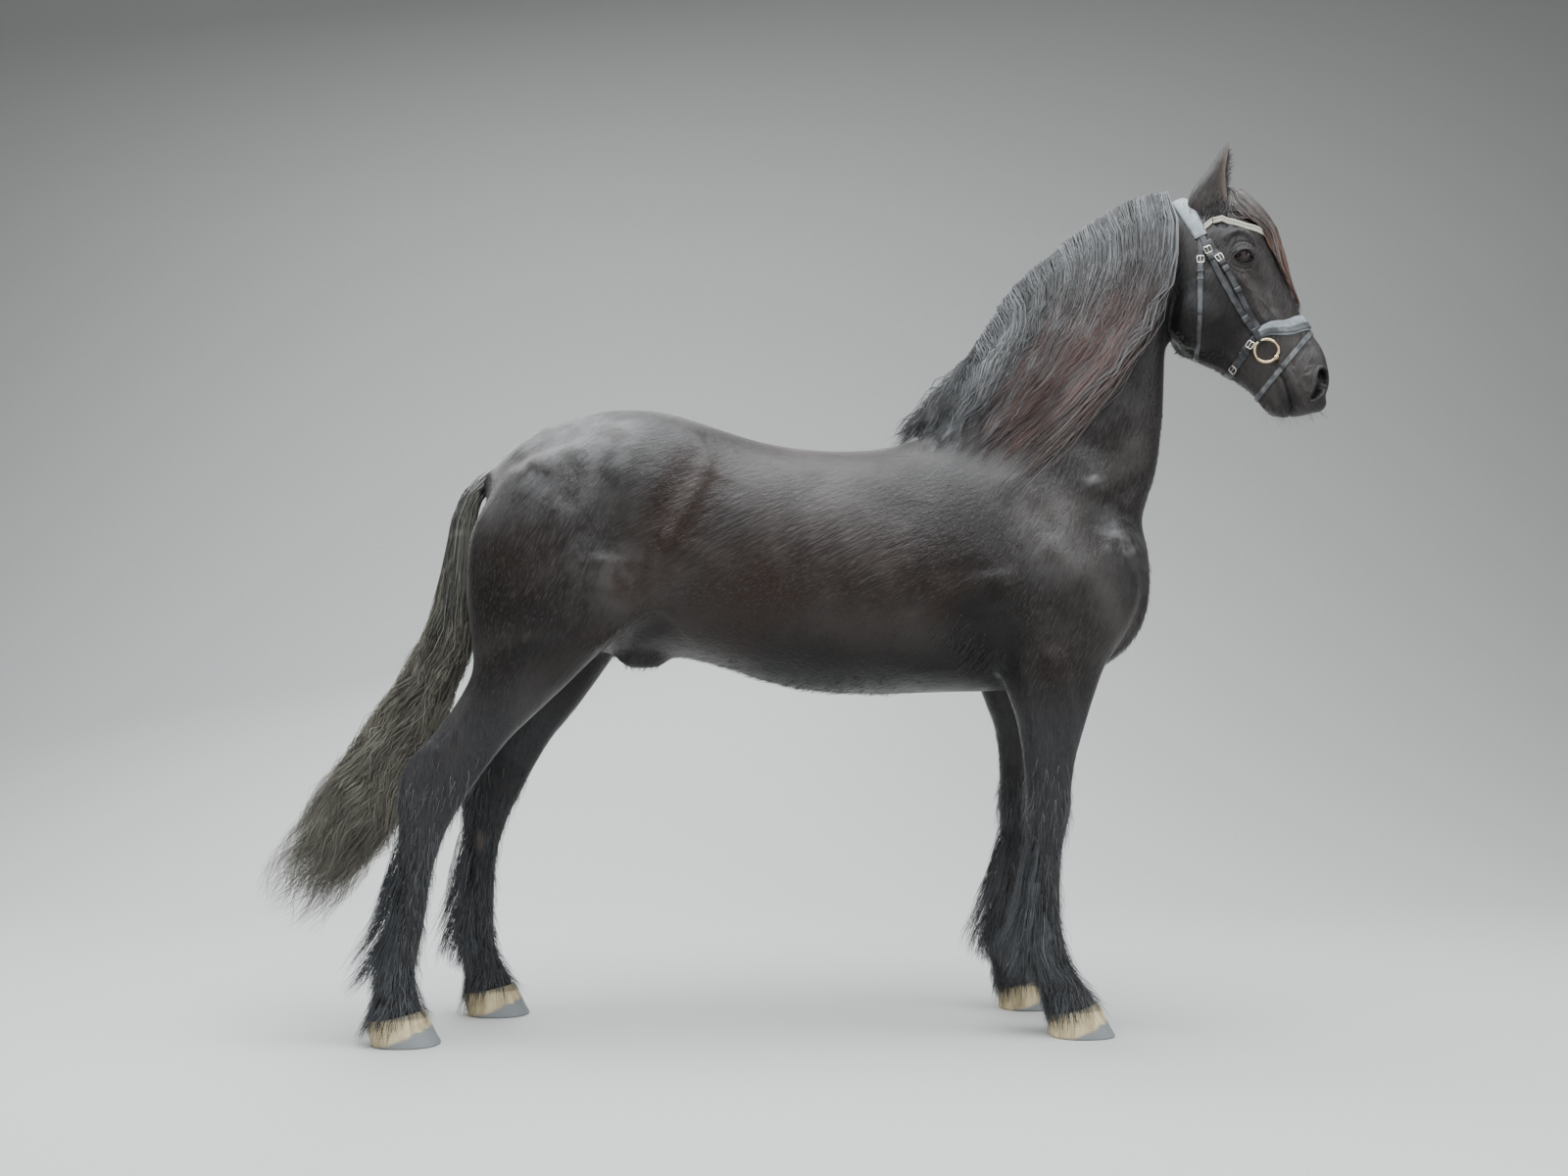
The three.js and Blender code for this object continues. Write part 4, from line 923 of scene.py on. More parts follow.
@dataclass
class Skin:
    """The whole skin: one mesh grown from the body's lofts, then sculpted.

    Attributes:
        cell: size of the first mesh's cells.
        share: how much of the faces stays in the piece, away from the eyes and nostrils.
    """

    cell: float = 7.5
    share: float = 0.41
    mesh: Mesh = field(init=False)
    eyes: list[EyePlace] = field(init=False)

    def forms(self) -> list[Shape]:
        """The closed shapes that make up the body."""
        by = COAT_DEPTH
        body = [
            loft(shrunk(TORSO, by), 6, 72),
            loft(shrunk(NECK, by), 8, 64),
            loft(shrunk(HEAD, by), 6, 64),
            ellipsoid((-372, 0, 985), (92 - by, 44 - by, 52 - by), -0.18),
            ellipsoid((-345, 0, 955), (34 - by, 27 - by, 22 - by), -0.1),
            ellipsoid((1447, 0, 1652), (36 - by, 44 - by, 32 - by), 0.5),
            ellipsoid((1352, 0, 1634), (42 - by, 36 - by, 22 - by), 0.35),
            tube(self.dock()),
            *(loft(EAR_STUMP, 4, 32, side) for side in (RIGHT, LEFT)),
        ]
        for leg in LEGS:
            body.append(loft(shrunk(leg.ovals, by), 5, 40, leg.side))
        for eye in self.eyes:
            x, y, z = eye.centre
            side = eye.side
            body += [
                ellipsoid((x, y - side * 2, z), (34 - by, 24 - by, 27 - by), 0.5),
                ellipsoid((x - 6, y - side * 6, z + 24), (40 - by, 17 - by, 15 - by), 0.6),
                ellipsoid((1457, side * 42, 1700), (20 - by, 19 - by, 34 - by), -0.25),
                ellipsoid((1150, side * 56, 1893), (78 - by, 45 - by, 98 - by), 0.25),
            ]
        return body

    def dock(self) -> np.ndarray:
        """Rings of the bare dock inside the tail's hair."""
        rings = 14
        middle = curve_at(TAIL_LINE, np.linspace(0, DOCK_END, rings))
        tangent = unit(np.gradient(middle, axis=0))
        back = columns(tangent[:, 2], 0, -tangent[:, 0])
        angle = turns(20)[None, :, None]
        size = np.linspace(25, 14, rings)[:, None, None]
        size[0] = 34  # flared where it leaves the croup
        return middle[:, None] + size * (
            np.cos(angle) * back[:, None] + np.sin(angle) * np.array([0, 1, 0])
        )

    def build(self) -> None:
        """Makes the sculpted mesh of the straight horse."""
        hit = ray_tree(loft(HEAD, 1, 18)).ray_cast(Vector((EYE[0], -500, EYE[1])), Vector((0, 1, 0)))[0]
        self.eyes = [EyePlace(side, abs(hit.y) - 11) for side in (RIGHT, LEFT)]
        self.mesh = self.remeshed(joined(self.forms()))
        self.smooth(self.softness, 70)
        self.smooth(lambda p: np.ones(len(p)), 3)
        self.refine(on_head)
        self.refine(
            lambda p: (on_head(p) & (p[:, 0] > 1300) & (p[:, 2] < 1790))
            | (apart(p, EYE) < 62) & (np.abs(p[:, 1]) > 50)
        )
        self.smooth(lambda p: on_head(p).astype(float), 4)
        self.carve(BODY_STROKES)
        self.carve(LEG_STROKES)
        firm_legs = lambda z: 1 - 0.9 * (1 - smoothstep(z, 560, 1000))
        self.smooth(lambda p: np.where(p[:, 0] > HEAD_FROM[0], 0, firm_legs(p[:, 2])), 4)
        self.carve(HEAD_STROKES)
        self.carve([MOUTH])
        self.pierce_nostrils()
        for eye in self.eyes:
            self.open_lids(eye)
        log.info("skin: %d points, %d faces", len(self.mesh.vertices), len(self.mesh.polygons))

    def smooth(self, weight: Callable[[np.ndarray], np.ndarray], rounds: int) -> None:
        """Smooths the skin, each point by the weight of its place."""
        points = points_of(self.mesh)
        moved(self.mesh, smoothed(points, edges_of(self.mesh), weight(points), rounds))

    def remeshed(self, shape: Shape) -> Mesh:
        """One even mesh over all the shapes."""
        source = linked("skin_source", mesh_from("skin_source", shape.points, shape.faces))
        modifier = source.modifiers.new("even", "REMESH")
        modifier.mode = "VOXEL"
        modifier.voxel_size = self.cell
        modifier.use_smooth_shade = True
        return baked(source)

    def softness(self, points: np.ndarray) -> np.ndarray:
        """How much each point is blended into its neighbours: most where the legs join."""
        x, z = points[:, 0], points[:, 2]
        trunk = smoothstep(z, 860, 1080) * (1 - smoothstep(x, 900, 1050) * smoothstep(z, 1500, 1700))
        head = smoothstep(x, 1020, 1080) * smoothstep(z, 1560, 1640)
        return np.clip(np.maximum(trunk, 0.06) * (1 - head) + 0.04 * head, 0, 1)

    def refine(self, chosen: Callable[[np.ndarray], np.ndarray]) -> None:
        """Splits the faces whose points are chosen by their places."""
        inside = chosen(points_of(self.mesh))
        work = bmesh.new()
        work.from_mesh(self.mesh)
        work.verts.ensure_lookup_table()
        edges = [edge for edge in work.edges if all(inside[end.index] for end in edge.verts)]
        bmesh.ops.subdivide_edges(work, edges=edges, cuts=1, use_grid_fill=True)
        work.to_mesh(self.mesh)
        work.free()

    def carve(self, strokes: Sequence[Stroke]) -> None:
        """Applies strokes to the skin along its normals."""
        points = points_of(self.mesh)
        normals = values_of(self.mesh.vertex_normals, "vector", 3)
        flat = points[:, [0, 2]].copy()
        for end, ahead in ((End.FORE, flat[:, 0] > 0), (End.HIND, flat[:, 0] <= 0)):
            moving = ahead & (points[:, 1] > 0) & (flat[:, 1] < 1000)
            flat[moving, 0] -= along(Leg(end, LEFT).stance, flat[moving, 1])
        total = np.zeros(len(points))
        for stroke in strokes:
            line = np.asarray(stroke.places)
            low, high = line.min(axis=0) - stroke.radius, line.max(axis=0) + stroke.radius
            near = np.all((flat > low) & (flat < high), axis=1)
            out = np.abs(points[:, 1])
            near &= (out >= stroke.within[0]) & (out <= stroke.within[1])
            for side in stroke.sides:
                here = np.flatnonzero(near & (points[:, 1] * side >= 0))
                lift = stroke.lift(flat[here])
                if not stroke.all_round:
                    lift *= smoothstep(normals[here, 1] * side, 0.02, 0.5)
                total[here] += lift
        moved(self.mesh, points + normals * total[:, None])

    def thinned(self) -> Shape:
        """The skin with fewer and larger faces, apart from those round the eyes and nostrils."""
        source = linked("skin_source", self.mesh)
        points = points_of(self.mesh)
        eyes = (apart(points, EYE) < 45) & (np.abs(points[:, 1]) > 40)
        nostrils = apart(points, NOSE) < 50
        free = source.vertex_groups.new(name="free")
        free.add(np.flatnonzero(~(eyes | nostrils)).tolist(), 1.0, "REPLACE")
        modifier = source.modifiers.new("thin", "DECIMATE")
        modifier.ratio = self.share
        modifier.vertex_group = "free"
        return shape_of(baked(source))

    def pierce_nostrils(self) -> None:
        """Pushes the nostrils' hollows into the head and raises their rims."""
        points = points_of(self.mesh)
        for side in (RIGHT, LEFT):
            here = np.flatnonzero((apart(points, NOSE) < 62) & (points[:, 1] * side > 10))
            out = points[here, 1] * side
            outside = smoothstep(out, 12, 24)
            inside = depth_inside(points[here][:, [0, 2]], NOSTRIL)
            sunk = np.minimum(26, 0.62 * out) * smoothstep(inside, -1, 8) * outside
            rim = 4.6 * np.exp(-(((inside + 4.5) / 4.5) ** 2)) * outside
            points[here] += sunk[:, None] * unit(np.array([-0.45, -side * 0.85, 0.25]))
            points[here] += rim[:, None] * unit(np.array([0.25, side * 1.0, 0.0]))
        moved(self.mesh, points)

    def open_lids(self, eye: EyePlace) -> None:
        """Lays the lids on the eyeball and sinks the skin behind it."""
        points = points_of(self.mesh)
        here = np.flatnonzero((apart(points, (eye.x, eye.z)) < 48) & (points[:, 1] * eye.side > 40))
        share, distance = eye.openness(points[here])
        skin = points[here, 1] * eye.side
        dome = lambda lift: np.sqrt(np.maximum((eye.radius + lift) ** 2 - distance**2, 0)) + eye.depth
        lid, soft = dome(3.6), 2.0
        over = np.logaddexp(skin / soft, lid / soft) * soft
        edge = smoothstep(share, 1.0, 1.28)
        y = dome(1.6) * (1 - edge) + over * edge
        crease = 1.7 * np.exp(-(((share - 1.55) / 0.09) ** 2)) * (points[here, 2] > eye.z - 4)
        crease += 0.6 * np.exp(-(((share - 1.5) / 0.08) ** 2)) * (points[here, 2] < eye.z - 4)
        y -= crease
        y = np.where(share < 0.97, dome(-3) - 1, y)
        blend = 1 - smoothstep(share, 1.9, 2.4)
        points[here, 1] = eye.side * (y * blend + skin * (1 - blend))
        moved(self.mesh, points)


# Finishes


class Nodes:
    """A node tree, built with short calls."""

    def __init__(self, tree: NodeTree) -> None:
        """Takes an empty tree, or one that Blender has begun."""
        self.nodes, self.links = tree.nodes, tree.links

    def add(self, kind: str, settings: Optional[dict] = None, **sockets) -> Node:
        """A new node.

        Args:
            kind: its type.
            settings: its own settings, set before its sockets.
            **sockets: a value or a socket to link for each input, with _ for a space in its name.

        Returns:
            The node.
        """
        node = self.nodes.new(kind)
        for key, value in (settings or {}).items():
            setattr(node, key, value)
        for key, value in sockets.items():
            self.feed(node.inputs[key.replace("_", " ")], value)
        return node

    def feed(self, socket: NodeSocket, value: Union[Value, ID]) -> None:
        """Sets a socket, or links it where the value is a socket."""
        if isinstance(value, NodeSocket):
            self.links.new(value, socket)
        else:
            socket.default_value = value


class Tree(Nodes):
    """A material's nodes, with the patterns that the finishes share."""

    def __init__(self, name: str) -> None:
        """Starts a material of that name."""
        self.material = bpy.data.materials.new(name)
        self.material.use_nodes = True
        super().__init__(self.material.node_tree)
        self.shader = self.nodes["Principled BSDF"]
        self.place = self.add("ShaderNodeTexCoord").outputs["Object"]

    def stored(self, name: str, share: float = 1) -> NodeSocket:
        """A share of a number stored on the mesh."""
        number = self.add("ShaderNodeAttribute", {"attribute_name": name}).outputs["Fac"]
        return number if share == 1 else self.times(number, share)

    def stretched(self, lengths: Sequence[float], turn: Sequence[float] = (0, 0, 0)) -> NodeSocket:
        """Object places in a turned frame whose axes are drawn out by lengths."""
        node = self.add("ShaderNodeMapping", {"vector_type": "TEXTURE"}, Vector=self.place)
        node.inputs["Rotation"].default_value = turn
        node.inputs["Scale"].default_value = lengths
        return node.outputs["Vector"]

    def noise(
        self, scale: float, detail: float = 2, where: Optional[NodeSocket] = None, distortion: float = 0
    ) -> NodeSocket:
        """A noise pattern.

        Args:
            scale: how fine it is.
            detail: how many finer patterns it adds.
            where: the places that it reads, the object's own where it is left out.
            distortion: how far it is twisted.

        Returns:
            Its value.
        """
        node = self.add("ShaderNodeTexNoise", Vector=where or self.place, Scale=scale, Detail=detail)
        node.inputs["Distortion"].default_value = distortion
        return node.outputs["Fac"]

    def times(self, a: NodeSocket, b: Value) -> NodeSocket:
        """The product of two values."""
        node = self.add("ShaderNodeMath", {"operation": "MULTIPLY"})
        self.feed(node.inputs[0], a)
        self.feed(node.inputs[1], b)
        return node.outputs[0]

    def fitted(
        self, value: NodeSocket, low: float, high: float, to_low: float = 0, to_high: float = 1
    ) -> NodeSocket:
        """A value moved smoothly from one range to another, and kept in it.

        Args:
            value: the value.
            low: where the first range starts.
            high: where it ends.
            to_low: where the second range starts.
            to_high: where it ends.

        Returns:
            The moved value.
        """
        node = self.add("ShaderNodeMapRange", {"interpolation_type": "SMOOTHSTEP"}, Value=value)
        for key, number in zip(("From Min", "From Max", "To Min", "To Max"), (low, high, to_low, to_high)):
            node.inputs[key].default_value = number
        return node.outputs["Result"]

    def mix(self, share: Value, a: Value, b: Value) -> NodeSocket:
        """A blend of two colours."""
        node = self.add("ShaderNodeMix", {"data_type": "RGBA"})
        for socket, value in zip((node.inputs[0], node.inputs[6], node.inputs[7]), (share, a, b)):
            self.feed(socket, colour(value) if isinstance(value, tuple) else value)
        return node.outputs[2]

    def blend(self, share: Value, a: Value, b: Value) -> NodeSocket:
        """A blend of two values."""
        node = self.add("ShaderNodeMix", {"data_type": "FLOAT"})
        for socket, value in zip((node.inputs[0], node.inputs[2], node.inputs[3]), (share, a, b)):
            self.feed(socket, value)
        return node.outputs[0]

    def bump(
        self, height: NodeSocket, strength: float, distance: float, normal: Optional[NodeSocket] = None
    ) -> NodeSocket:
        """A normal that follows a height pattern.

        Args:
            height: the pattern.
            strength: how much of it shows.
            distance: how high it stands, in metres.
            normal: the normal of a coarser pattern under it.

        Returns:
            The normal.
        """
        node = self.add("ShaderNodeBump", Height=height, Strength=strength, Distance=distance)
        if normal is not None:
            self.feed(node.inputs["Normal"], normal)
        return node.outputs["Normal"]

    def finish(self, **sockets) -> Material:
        """Sets the shader's sockets and gives the material."""
        for key, value in sockets.items():
            socket = self.shader.inputs[key.replace("_", " ")]
            self.feed(socket, colour(value) if isinstance(value, tuple) and len(value) == 3 else value)
        return self.material


def colour(value: Sequence[float]) -> tuple[float, ...]:
    """A colour with full alpha."""
    return (*value[:3], 1.0)


@dataclass(frozen=True)
class CoatFinish:
    """Short dark hair: nearly black, browner where the sun has bleached it, with painted highlights in pale
    grey and painted shade in near black.
    """

    black: Rgb = (0.0062, 0.0046, 0.004)
    grey: Rgb = (0.046, 0.0405, 0.038)
    brown: Rgb = (0.019, 0.0082, 0.0048)
    bare: Rgb = (0.009, 0.0078, 0.0076)
    # pale: the colour of the painted highlights
    pale: Rgb = (0.11, 0.11, 0.112)
    lip: Rgb = (0.13, 0.1, 0.085)
    # dark: the colour of the painted shade
    dark: Rgb = (0.0026, 0.0023, 0.0023)
    shank: Rgb = (0.027, 0.0285, 0.032)
    # how the coat lies, as turns about Y: level on the barrel, steep on the shoulder, upright below
    lies: Rgb = (-0.5, -1.12, -1.57)

    def streaks(self, tree: Tree, fine: float, long: float, detail: float) -> NodeSocket:
        """A pattern of streaks that follows the lie of the coat."""
        level, steep, upright = (
            tree.noise(fine, detail, tree.stretched((long, 1, 1), (0, turn, 0))) for turn in self.lies
        )
        return tree.blend(tree.stored("leg"), tree.blend(tree.stored("steep"), level, steep), upright)

    def material(self) -> Material:
        """The coat's material, with the hair as bump."""
        tree = Tree("coat")
        hairs = self.streaks(tree, 340, 11, 4)
        tufts = self.streaks(tree, 95, 6, 4)
        patches = tree.fitted(tree.noise(3.4, 5, distortion=0.5), 0.4, 0.72)
        base = tree.mix(patches, self.black, self.grey)
        base = tree.mix(tree.stored("leg", 0.6), base, self.shank)
        base = tree.mix(tree.stored("brown", 0.9), base, self.brown)
        base = tree.mix(tree.fitted(hairs, 0.47, 0.74, 0, 0.8), base, self.grey)
        base = tree.mix(tree.fitted(tufts, 0.5, 0.22, 0, 0.45), base, (0.0022, 0.0017, 0.0016))
        # painted highlight: pale grey mixed into the coat in patches where the highlight mask lies; the same
        # mask lowers the roughness
        painted_highlight = tree.times(tree.stored("painted_highlight"), tree.fitted(tree.noise(17, 4), 0.36, 0.6))
        base = tree.mix(tree.times(painted_highlight, 0.75), base, self.pale)
        # painted shade: near black mixed in where the painted-shade strokes lie
        base = tree.mix(tree.stored("dark", 0.95), base, self.dark)
        base = tree.mix(tree.stored("bare"), base, self.bare)
        base = tree.mix(tree.stored("lip"), base, self.lip)
        # painted shade: near black inside the nostrils
        base = tree.mix(tree.stored("deep"), base, (0.002, 0.0015, 0.0015))
        normal = tree.bump(tree.noise(14, 3), 0.12, 0.012)
        normal = tree.bump(tufts, 0.55, 0.0045, normal)
        normal = tree.bump(hairs, 0.8, 0.0017, normal)
        rough = tree.fitted(tree.noise(5, 3), 0.3, 0.7, 0.34, 0.5)
        rough = tree.blend(painted_highlight, rough, 0.3)
        return tree.finish(
            Base_Color=base,
            Roughness=rough,
            Normal=normal,
            Sheen_Weight=0.05,
            Sheen_Roughness=0.4,
            Specular_IOR_Level=0.24,
        )


@dataclass(frozen=True)
class HairFinish:
    """Hair whose colour runs from the roots to the tips and varies from hair to hair.

    Attributes:
        name: the material's name.
        root: colour at the roots.
        middle: colour further down.
        tip: colour of the tips that the sun has reddened.
        pale: colour of the lightest hairs.
        roughness: how dull it is.
    """

    name: str
    root: Rgb
    middle: Rgb
    tip: Rgb
    pale: Rgb
    roughness: float = 0.42

    def material(self) -> Material:
        """The hair's material."""
        tree = Tree(self.name)
        length, tone = tree.stored("along"), tree.stored("tone")
        shade = tree.mix(tree.fitted(length, 0.05, 0.55), self.root, self.middle)
        sunned = tree.times(tree.fitted(length, 0.25, 0.85), tree.stored("red"))
        shade = tree.mix(sunned, shade, self.tip)
        shade = tree.mix(tree.fitted(tone, 0.35, 1.0, 0, 0.85), shade, self.pale)
        shade = tree.mix(tree.fitted(tone, 0.0, 0.35, 0.75, 0), shade, (0.005, 0.0045, 0.0045))
        shade = tree.mix(tree.fitted(tree.noise(32, 3), 0.5, 0.8, 0, 0.35), shade, self.pale)
        normal = tree.bump(tree.noise(700, 2), 0.25, 0.0006)
        return tree.finish(
            Base_Color=shade, Roughness=self.roughness, Normal=normal, Specular_IOR_Level=0.6,
            Sheen_Weight=0.05,
        )


MANE_HAIR = HairFinish(
    "mane_hair", (0.02, 0.0215, 0.023), (0.019, 0.0187, 0.0187), (0.15, 0.07, 0.052), (0.155, 0.162, 0.168)
)
FORELOCK_HAIR = HairFinish(
    "forelock_hair", (0.028, 0.027, 0.027), (0.045, 0.037, 0.034), (0.16, 0.068, 0.04), (0.16, 0.138, 0.128)
)
TAIL_HAIR = HairFinish(
    "tail_hair", (0.018, 0.018, 0.016), (0.085, 0.081, 0.062), (0.15, 0.138, 0.104), (0.3, 0.29, 0.235)
)
LEG_HAIR = HairFinish(
    "leg_hair", (0.016, 0.0175, 0.02), (0.032, 0.036, 0.041), (0.045, 0.048, 0.05), (0.14, 0.153, 0.165)
)
SHORT_HAIR = HairFinish(
    "short_hair", (0.006, 0.005, 0.0046), (0.012, 0.0092, 0.008), (0.03, 0.017, 0.011), (0.04, 0.036, 0.034)
)


@dataclass(frozen=True)
class HoofFinish:
    """Pale striped horn with a grey-blue band at the ground."""

    def material(self) -> Material:
        """The horn's material."""
        tree = Tree("hoof_horn")
        stripes = tree.noise(60, 4, tree.stretched((1, 1, 12)))
        rings = tree.noise(9, 3, tree.stretched((5, 5, 0.16)))
        base = tree.mix(tree.fitted(stripes, 0.35, 0.7), (0.42, 0.34, 0.19), (0.62, 0.52, 0.32))
        base = tree.mix(tree.fitted(tree.noise(25, 5), 0.5, 0.75, 0, 0.5), base, (0.24, 0.19, 0.11))
        base = tree.mix(tree.stored("worn"), base, (0.19, 0.205, 0.21))
        base = tree.mix(tree.fitted(tree.stored("height"), 0.88, 1.0, 0, 0.7), base, (0.12, 0.1, 0.07))
        normal = tree.bump(rings, 0.35, 0.0012)
        normal = tree.bump(stripes, 0.3, 0.0007, normal)
        return tree.finish(Base_Color=base, Roughness=0.62, Normal=normal)


@dataclass(frozen=True)
class EyeFinish:
    """A dark brown eye with a level, oval pupil, under a clear wet front."""

    def material(self) -> Material:
        """The eyeball's material."""
        tree = Tree("eye_glass")
        iris, pupil = tree.stored("iris"), tree.stored("pupil")
        fibres = tree.noise(420, 3)
        base = tree.mix(tree.fitted(fibres, 0.35, 0.65), (0.022, 0.0105, 0.009), (0.05, 0.024, 0.019))
        base = tree.mix(tree.fitted(pupil, 0.9, 1.15, 1, 0), base, (0.002, 0.002, 0.003))
        base = tree.mix(tree.fitted(iris, 0.84, 0.98), base, (0.006, 0.004, 0.004))
        base = tree.mix(tree.fitted(iris, 1.2, 1.4), base, (0.026, 0.016, 0.014))
        return tree.finish(
            Base_Color=base, Roughness=0.45, Specular_IOR_Level=0.2, Coat_Weight=0.45, Coat_Roughness=0.04,
            Normal=tree.bump(fibres, 0.1, 0.0003),
        )


@dataclass(frozen=True)
class LeatherFinish:
    """Tanned, dyed leather with a fine grain and worn patches."""

    name: str
    base: Rgb
    worn: Rgb
    roughness: float = 0.36
    grain: float = 900

    def material(self) -> Material:
        """The leather's material."""
        tree = Tree(self.name)
        cells = tree.add("ShaderNodeTexVoronoi", {"feature": "SMOOTH_F1"}, Vector=tree.place)
        cells.inputs["Scale"].default_value = self.grain
        cloud = tree.noise(38, 4)
        base = tree.mix(tree.fitted(cloud, 0.4, 0.75), self.base, self.worn)
        normal = tree.bump(cells.outputs["Distance"], 0.35, 0.0005)
        normal = tree.bump(tree.noise(110, 3), 0.2, 0.0009, normal)
        rough = tree.fitted(cloud, 0.3, 0.7, self.roughness, self.roughness + 0.16)
        return tree.finish(Base_Color=base, Roughness=rough, Normal=normal)


@dataclass(frozen=True)
class MetalFinish:
    """Cast and polished metal with fine scratches."""

    name: str
    base: Rgb
    roughness: float = 0.2

    def material(self) -> Material:
        """The metal's material."""
        tree = Tree(self.name)
        scratches = tree.noise(300, 3, tree.stretched((1, 1, 0.2)))
        tint = tree.mix(tree.fitted(tree.noise(90, 3), 0.4, 0.8, 0, 0.6), self.base, (0.24, 0.2, 0.14))
        rough = tree.fitted(scratches, 0.3, 0.7, self.roughness, self.roughness + 0.14)
        return tree.finish(
            Base_Color=tint, Metallic=1.0, Roughness=rough, Normal=tree.bump(scratches, 0.06, 0.0003)
        )


@dataclass(frozen=True)
class PlainFinish:
    """A soft even surface with a light grain, for skin rims, cords and studio pieces."""

    name: str
    base: Rgb
    roughness: float = 0.5
    scale: float = 300
    depth: float = 0.0004

    def material(self) -> Material:
        """The surface's material."""
        tree = Tree(self.name)
        grain = tree.noise(self.scale, 3)
        dark = tuple(0.7 * value for value in self.base)
        base = tree.mix(tree.fitted(grain, 0.35, 0.7), dark, self.base)
        return tree.finish(
            Base_Color=base, Roughness=self.roughness, Normal=tree.bump(grain, 0.3, self.depth)
        )


# Making pieces


@dataclass
class Maker:
    """Turns shapes of the straight horse into finished pieces of the scene."""

    pose: Pose

    def piece(
        self, name: str, shape: Shape, material: Material, slot: Optional[str] = None
    ) -> Object:
        """A piece from a shape.

        Args:
            name: the piece's name.
            shape: its mesh on the straight horse.
            material: its finish.
            slot: the record's material slot, which is not used.

        Returns:
            The object, riding the body.
        """
        mesh = mesh_from(name, self.pose.place(shape.points), shape.faces)
        return self.show(name, mesh, material)

    def show(
        self, name: str, mesh: Mesh, material: Material
    ) -> Object:
        """A piece from a posed mesh."""
        made = linked(name, mesh)
        mesh.materials.append(material)
        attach(made, "root")
        log.info("%s: %d faces", name, len(mesh.polygons))
        return made


# Hair


@dataclass
class Strands:
    """Many hairs or tufts, each a thin closed tube that tapers to a point.

    Attributes:
        paths: (strands, points, 3) lines on the straight horse.
        width: (strands, points) half widths.
        outward: (strands, points, 3) ways that the flat side looks.
        roots: (strands, 2) places of the roots on an unwrap of the skin.
        tone: (strands,) shade of each, from 0 to 1.
        red: (strands,) how far the sun has reddened each tip.
    """

    paths: np.ndarray
    width: np.ndarray
    outward: np.ndarray
    roots: np.ndarray
    tone: np.ndarray
    red: np.ndarray

    PATCH = 0.003  # breadth of each strand's patch on the unwrap

    def taken(self, chosen: np.ndarray) -> "Strands":
        """Some of the strands."""
        values = (self.paths, self.width, self.outward, self.roots, self.tone, self.red)
        return Strands(*(value[chosen] for value in values))

    def rings(self, pose: Pose) -> np.ndarray:
        """The posed cross-sections, three points each, without the tips."""
        centre = pose.place(self.paths)
        ahead = pose.place(self.paths + self.outward) - centre
        tangent = unit(np.gradient(centre, axis=1))
        across = unit(np.cross(tangent, ahead))
        up = np.cross(across, tangent)
        width = self.width[..., None] * MM
        return np.stack(
            [centre + across * width, centre + up * width * 0.7, centre - across * width], axis=2
        )[:, :-1]

    def piece(self, maker: Maker, name: str, material: Material, slot: str) -> Object:
        """The strands as one piece with its unwrap.

        Args:
            maker: makes the piece.
            name: its name.
            material: its finish.
            slot: the record's material slot, which is not used.

        Returns:
            The object.
        """
        count, steps = self.paths.shape[:2]
        rings = self.rings(maker.pose)
        tips = maker.pose.place(self.paths[:, -1:])
        points = np.concatenate([rings.reshape(count, -1, 3), tips], axis=1)
        faces, spots = self.pattern(steps)
        each = points.shape[1]
        every = (faces[None] + np.arange(count)[:, None, None] * each).reshape(-1, 3)
        mesh = mesh_from(name, points.reshape(-1, 3), every)
        share = np.append(np.repeat(np.linspace(0, 1, steps)[:-1], 3), 1)
        attribute(mesh, "along", np.tile(share, count))
        attribute(mesh, "tone", np.repeat(self.tone, each))
        attribute(mesh, "red", np.repeat(self.red, each))
        layer = mesh.uv_layers.new(name="OFBake")
        unwrap = self.roots[:, None, :] + self.PATCH * (spots.reshape(-1, 2) - 0.5)[None]
        layer.data.foreach_set("uv", unwrap.astype(np.float32).ravel())
        return maker.show(name, mesh, material)

    def pattern(self, steps: int) -> tuple[np.ndarray, np.ndarray]:
        """The faces of one strand, and where their corners lie in its patch."""
        faces, spots = [], []
        for ring in range(steps - 2):
            for side in range(3):
                a, b = 3 * ring + side, 3 * ring + (side + 1) % 3
                low, high = (ring + 1) / steps, (ring + 2) / steps
                left, right = side / 3, (side + 1) / 3
                faces += [(a, b, b + 3), (a, b + 3, a + 3)]
                spots += [[(low, left), (low, right), (high, right)]]
                spots += [[(low, left), (high, right), (high, left)]]
        last, tip = 3 * (steps - 2), 3 * (steps - 1)
        for side in range(3):
            faces.append((last + side, last + (side + 1) % 3, tip))
            low, left = (steps - 1) / steps, side / 3
            spots.append([(low, left), (low, left + 1 / 3), (1, left + 1 / 6)])
        faces.append((0, 2, 1))
        spots.append([(0, 0), (0, 1), (1 / steps, 0.5)])
        return np.array(faces), np.array(spots)


def between(grid: np.ndarray, row: np.ndarray, column: np.ndarray) -> np.ndarray:
    """A grid's values between its points.

    Args:
        grid: the values by row and column.
        row: rows to read at, with fractions.
        column: columns to read at, with fractions.

    Returns:
        The blended values.
    """
    u, v = (np.clip(place, 0, size - 1.001) for place, size in zip((row, column), grid.shape))
    i, j = u.astype(int), v.astype(int)
    low, high = (grid[k, j] * (1 - v + j) + grid[k, j + 1] * (v - j) for k in (i, i + 1))
    return low * (1 - u + i) + high * (u - i)


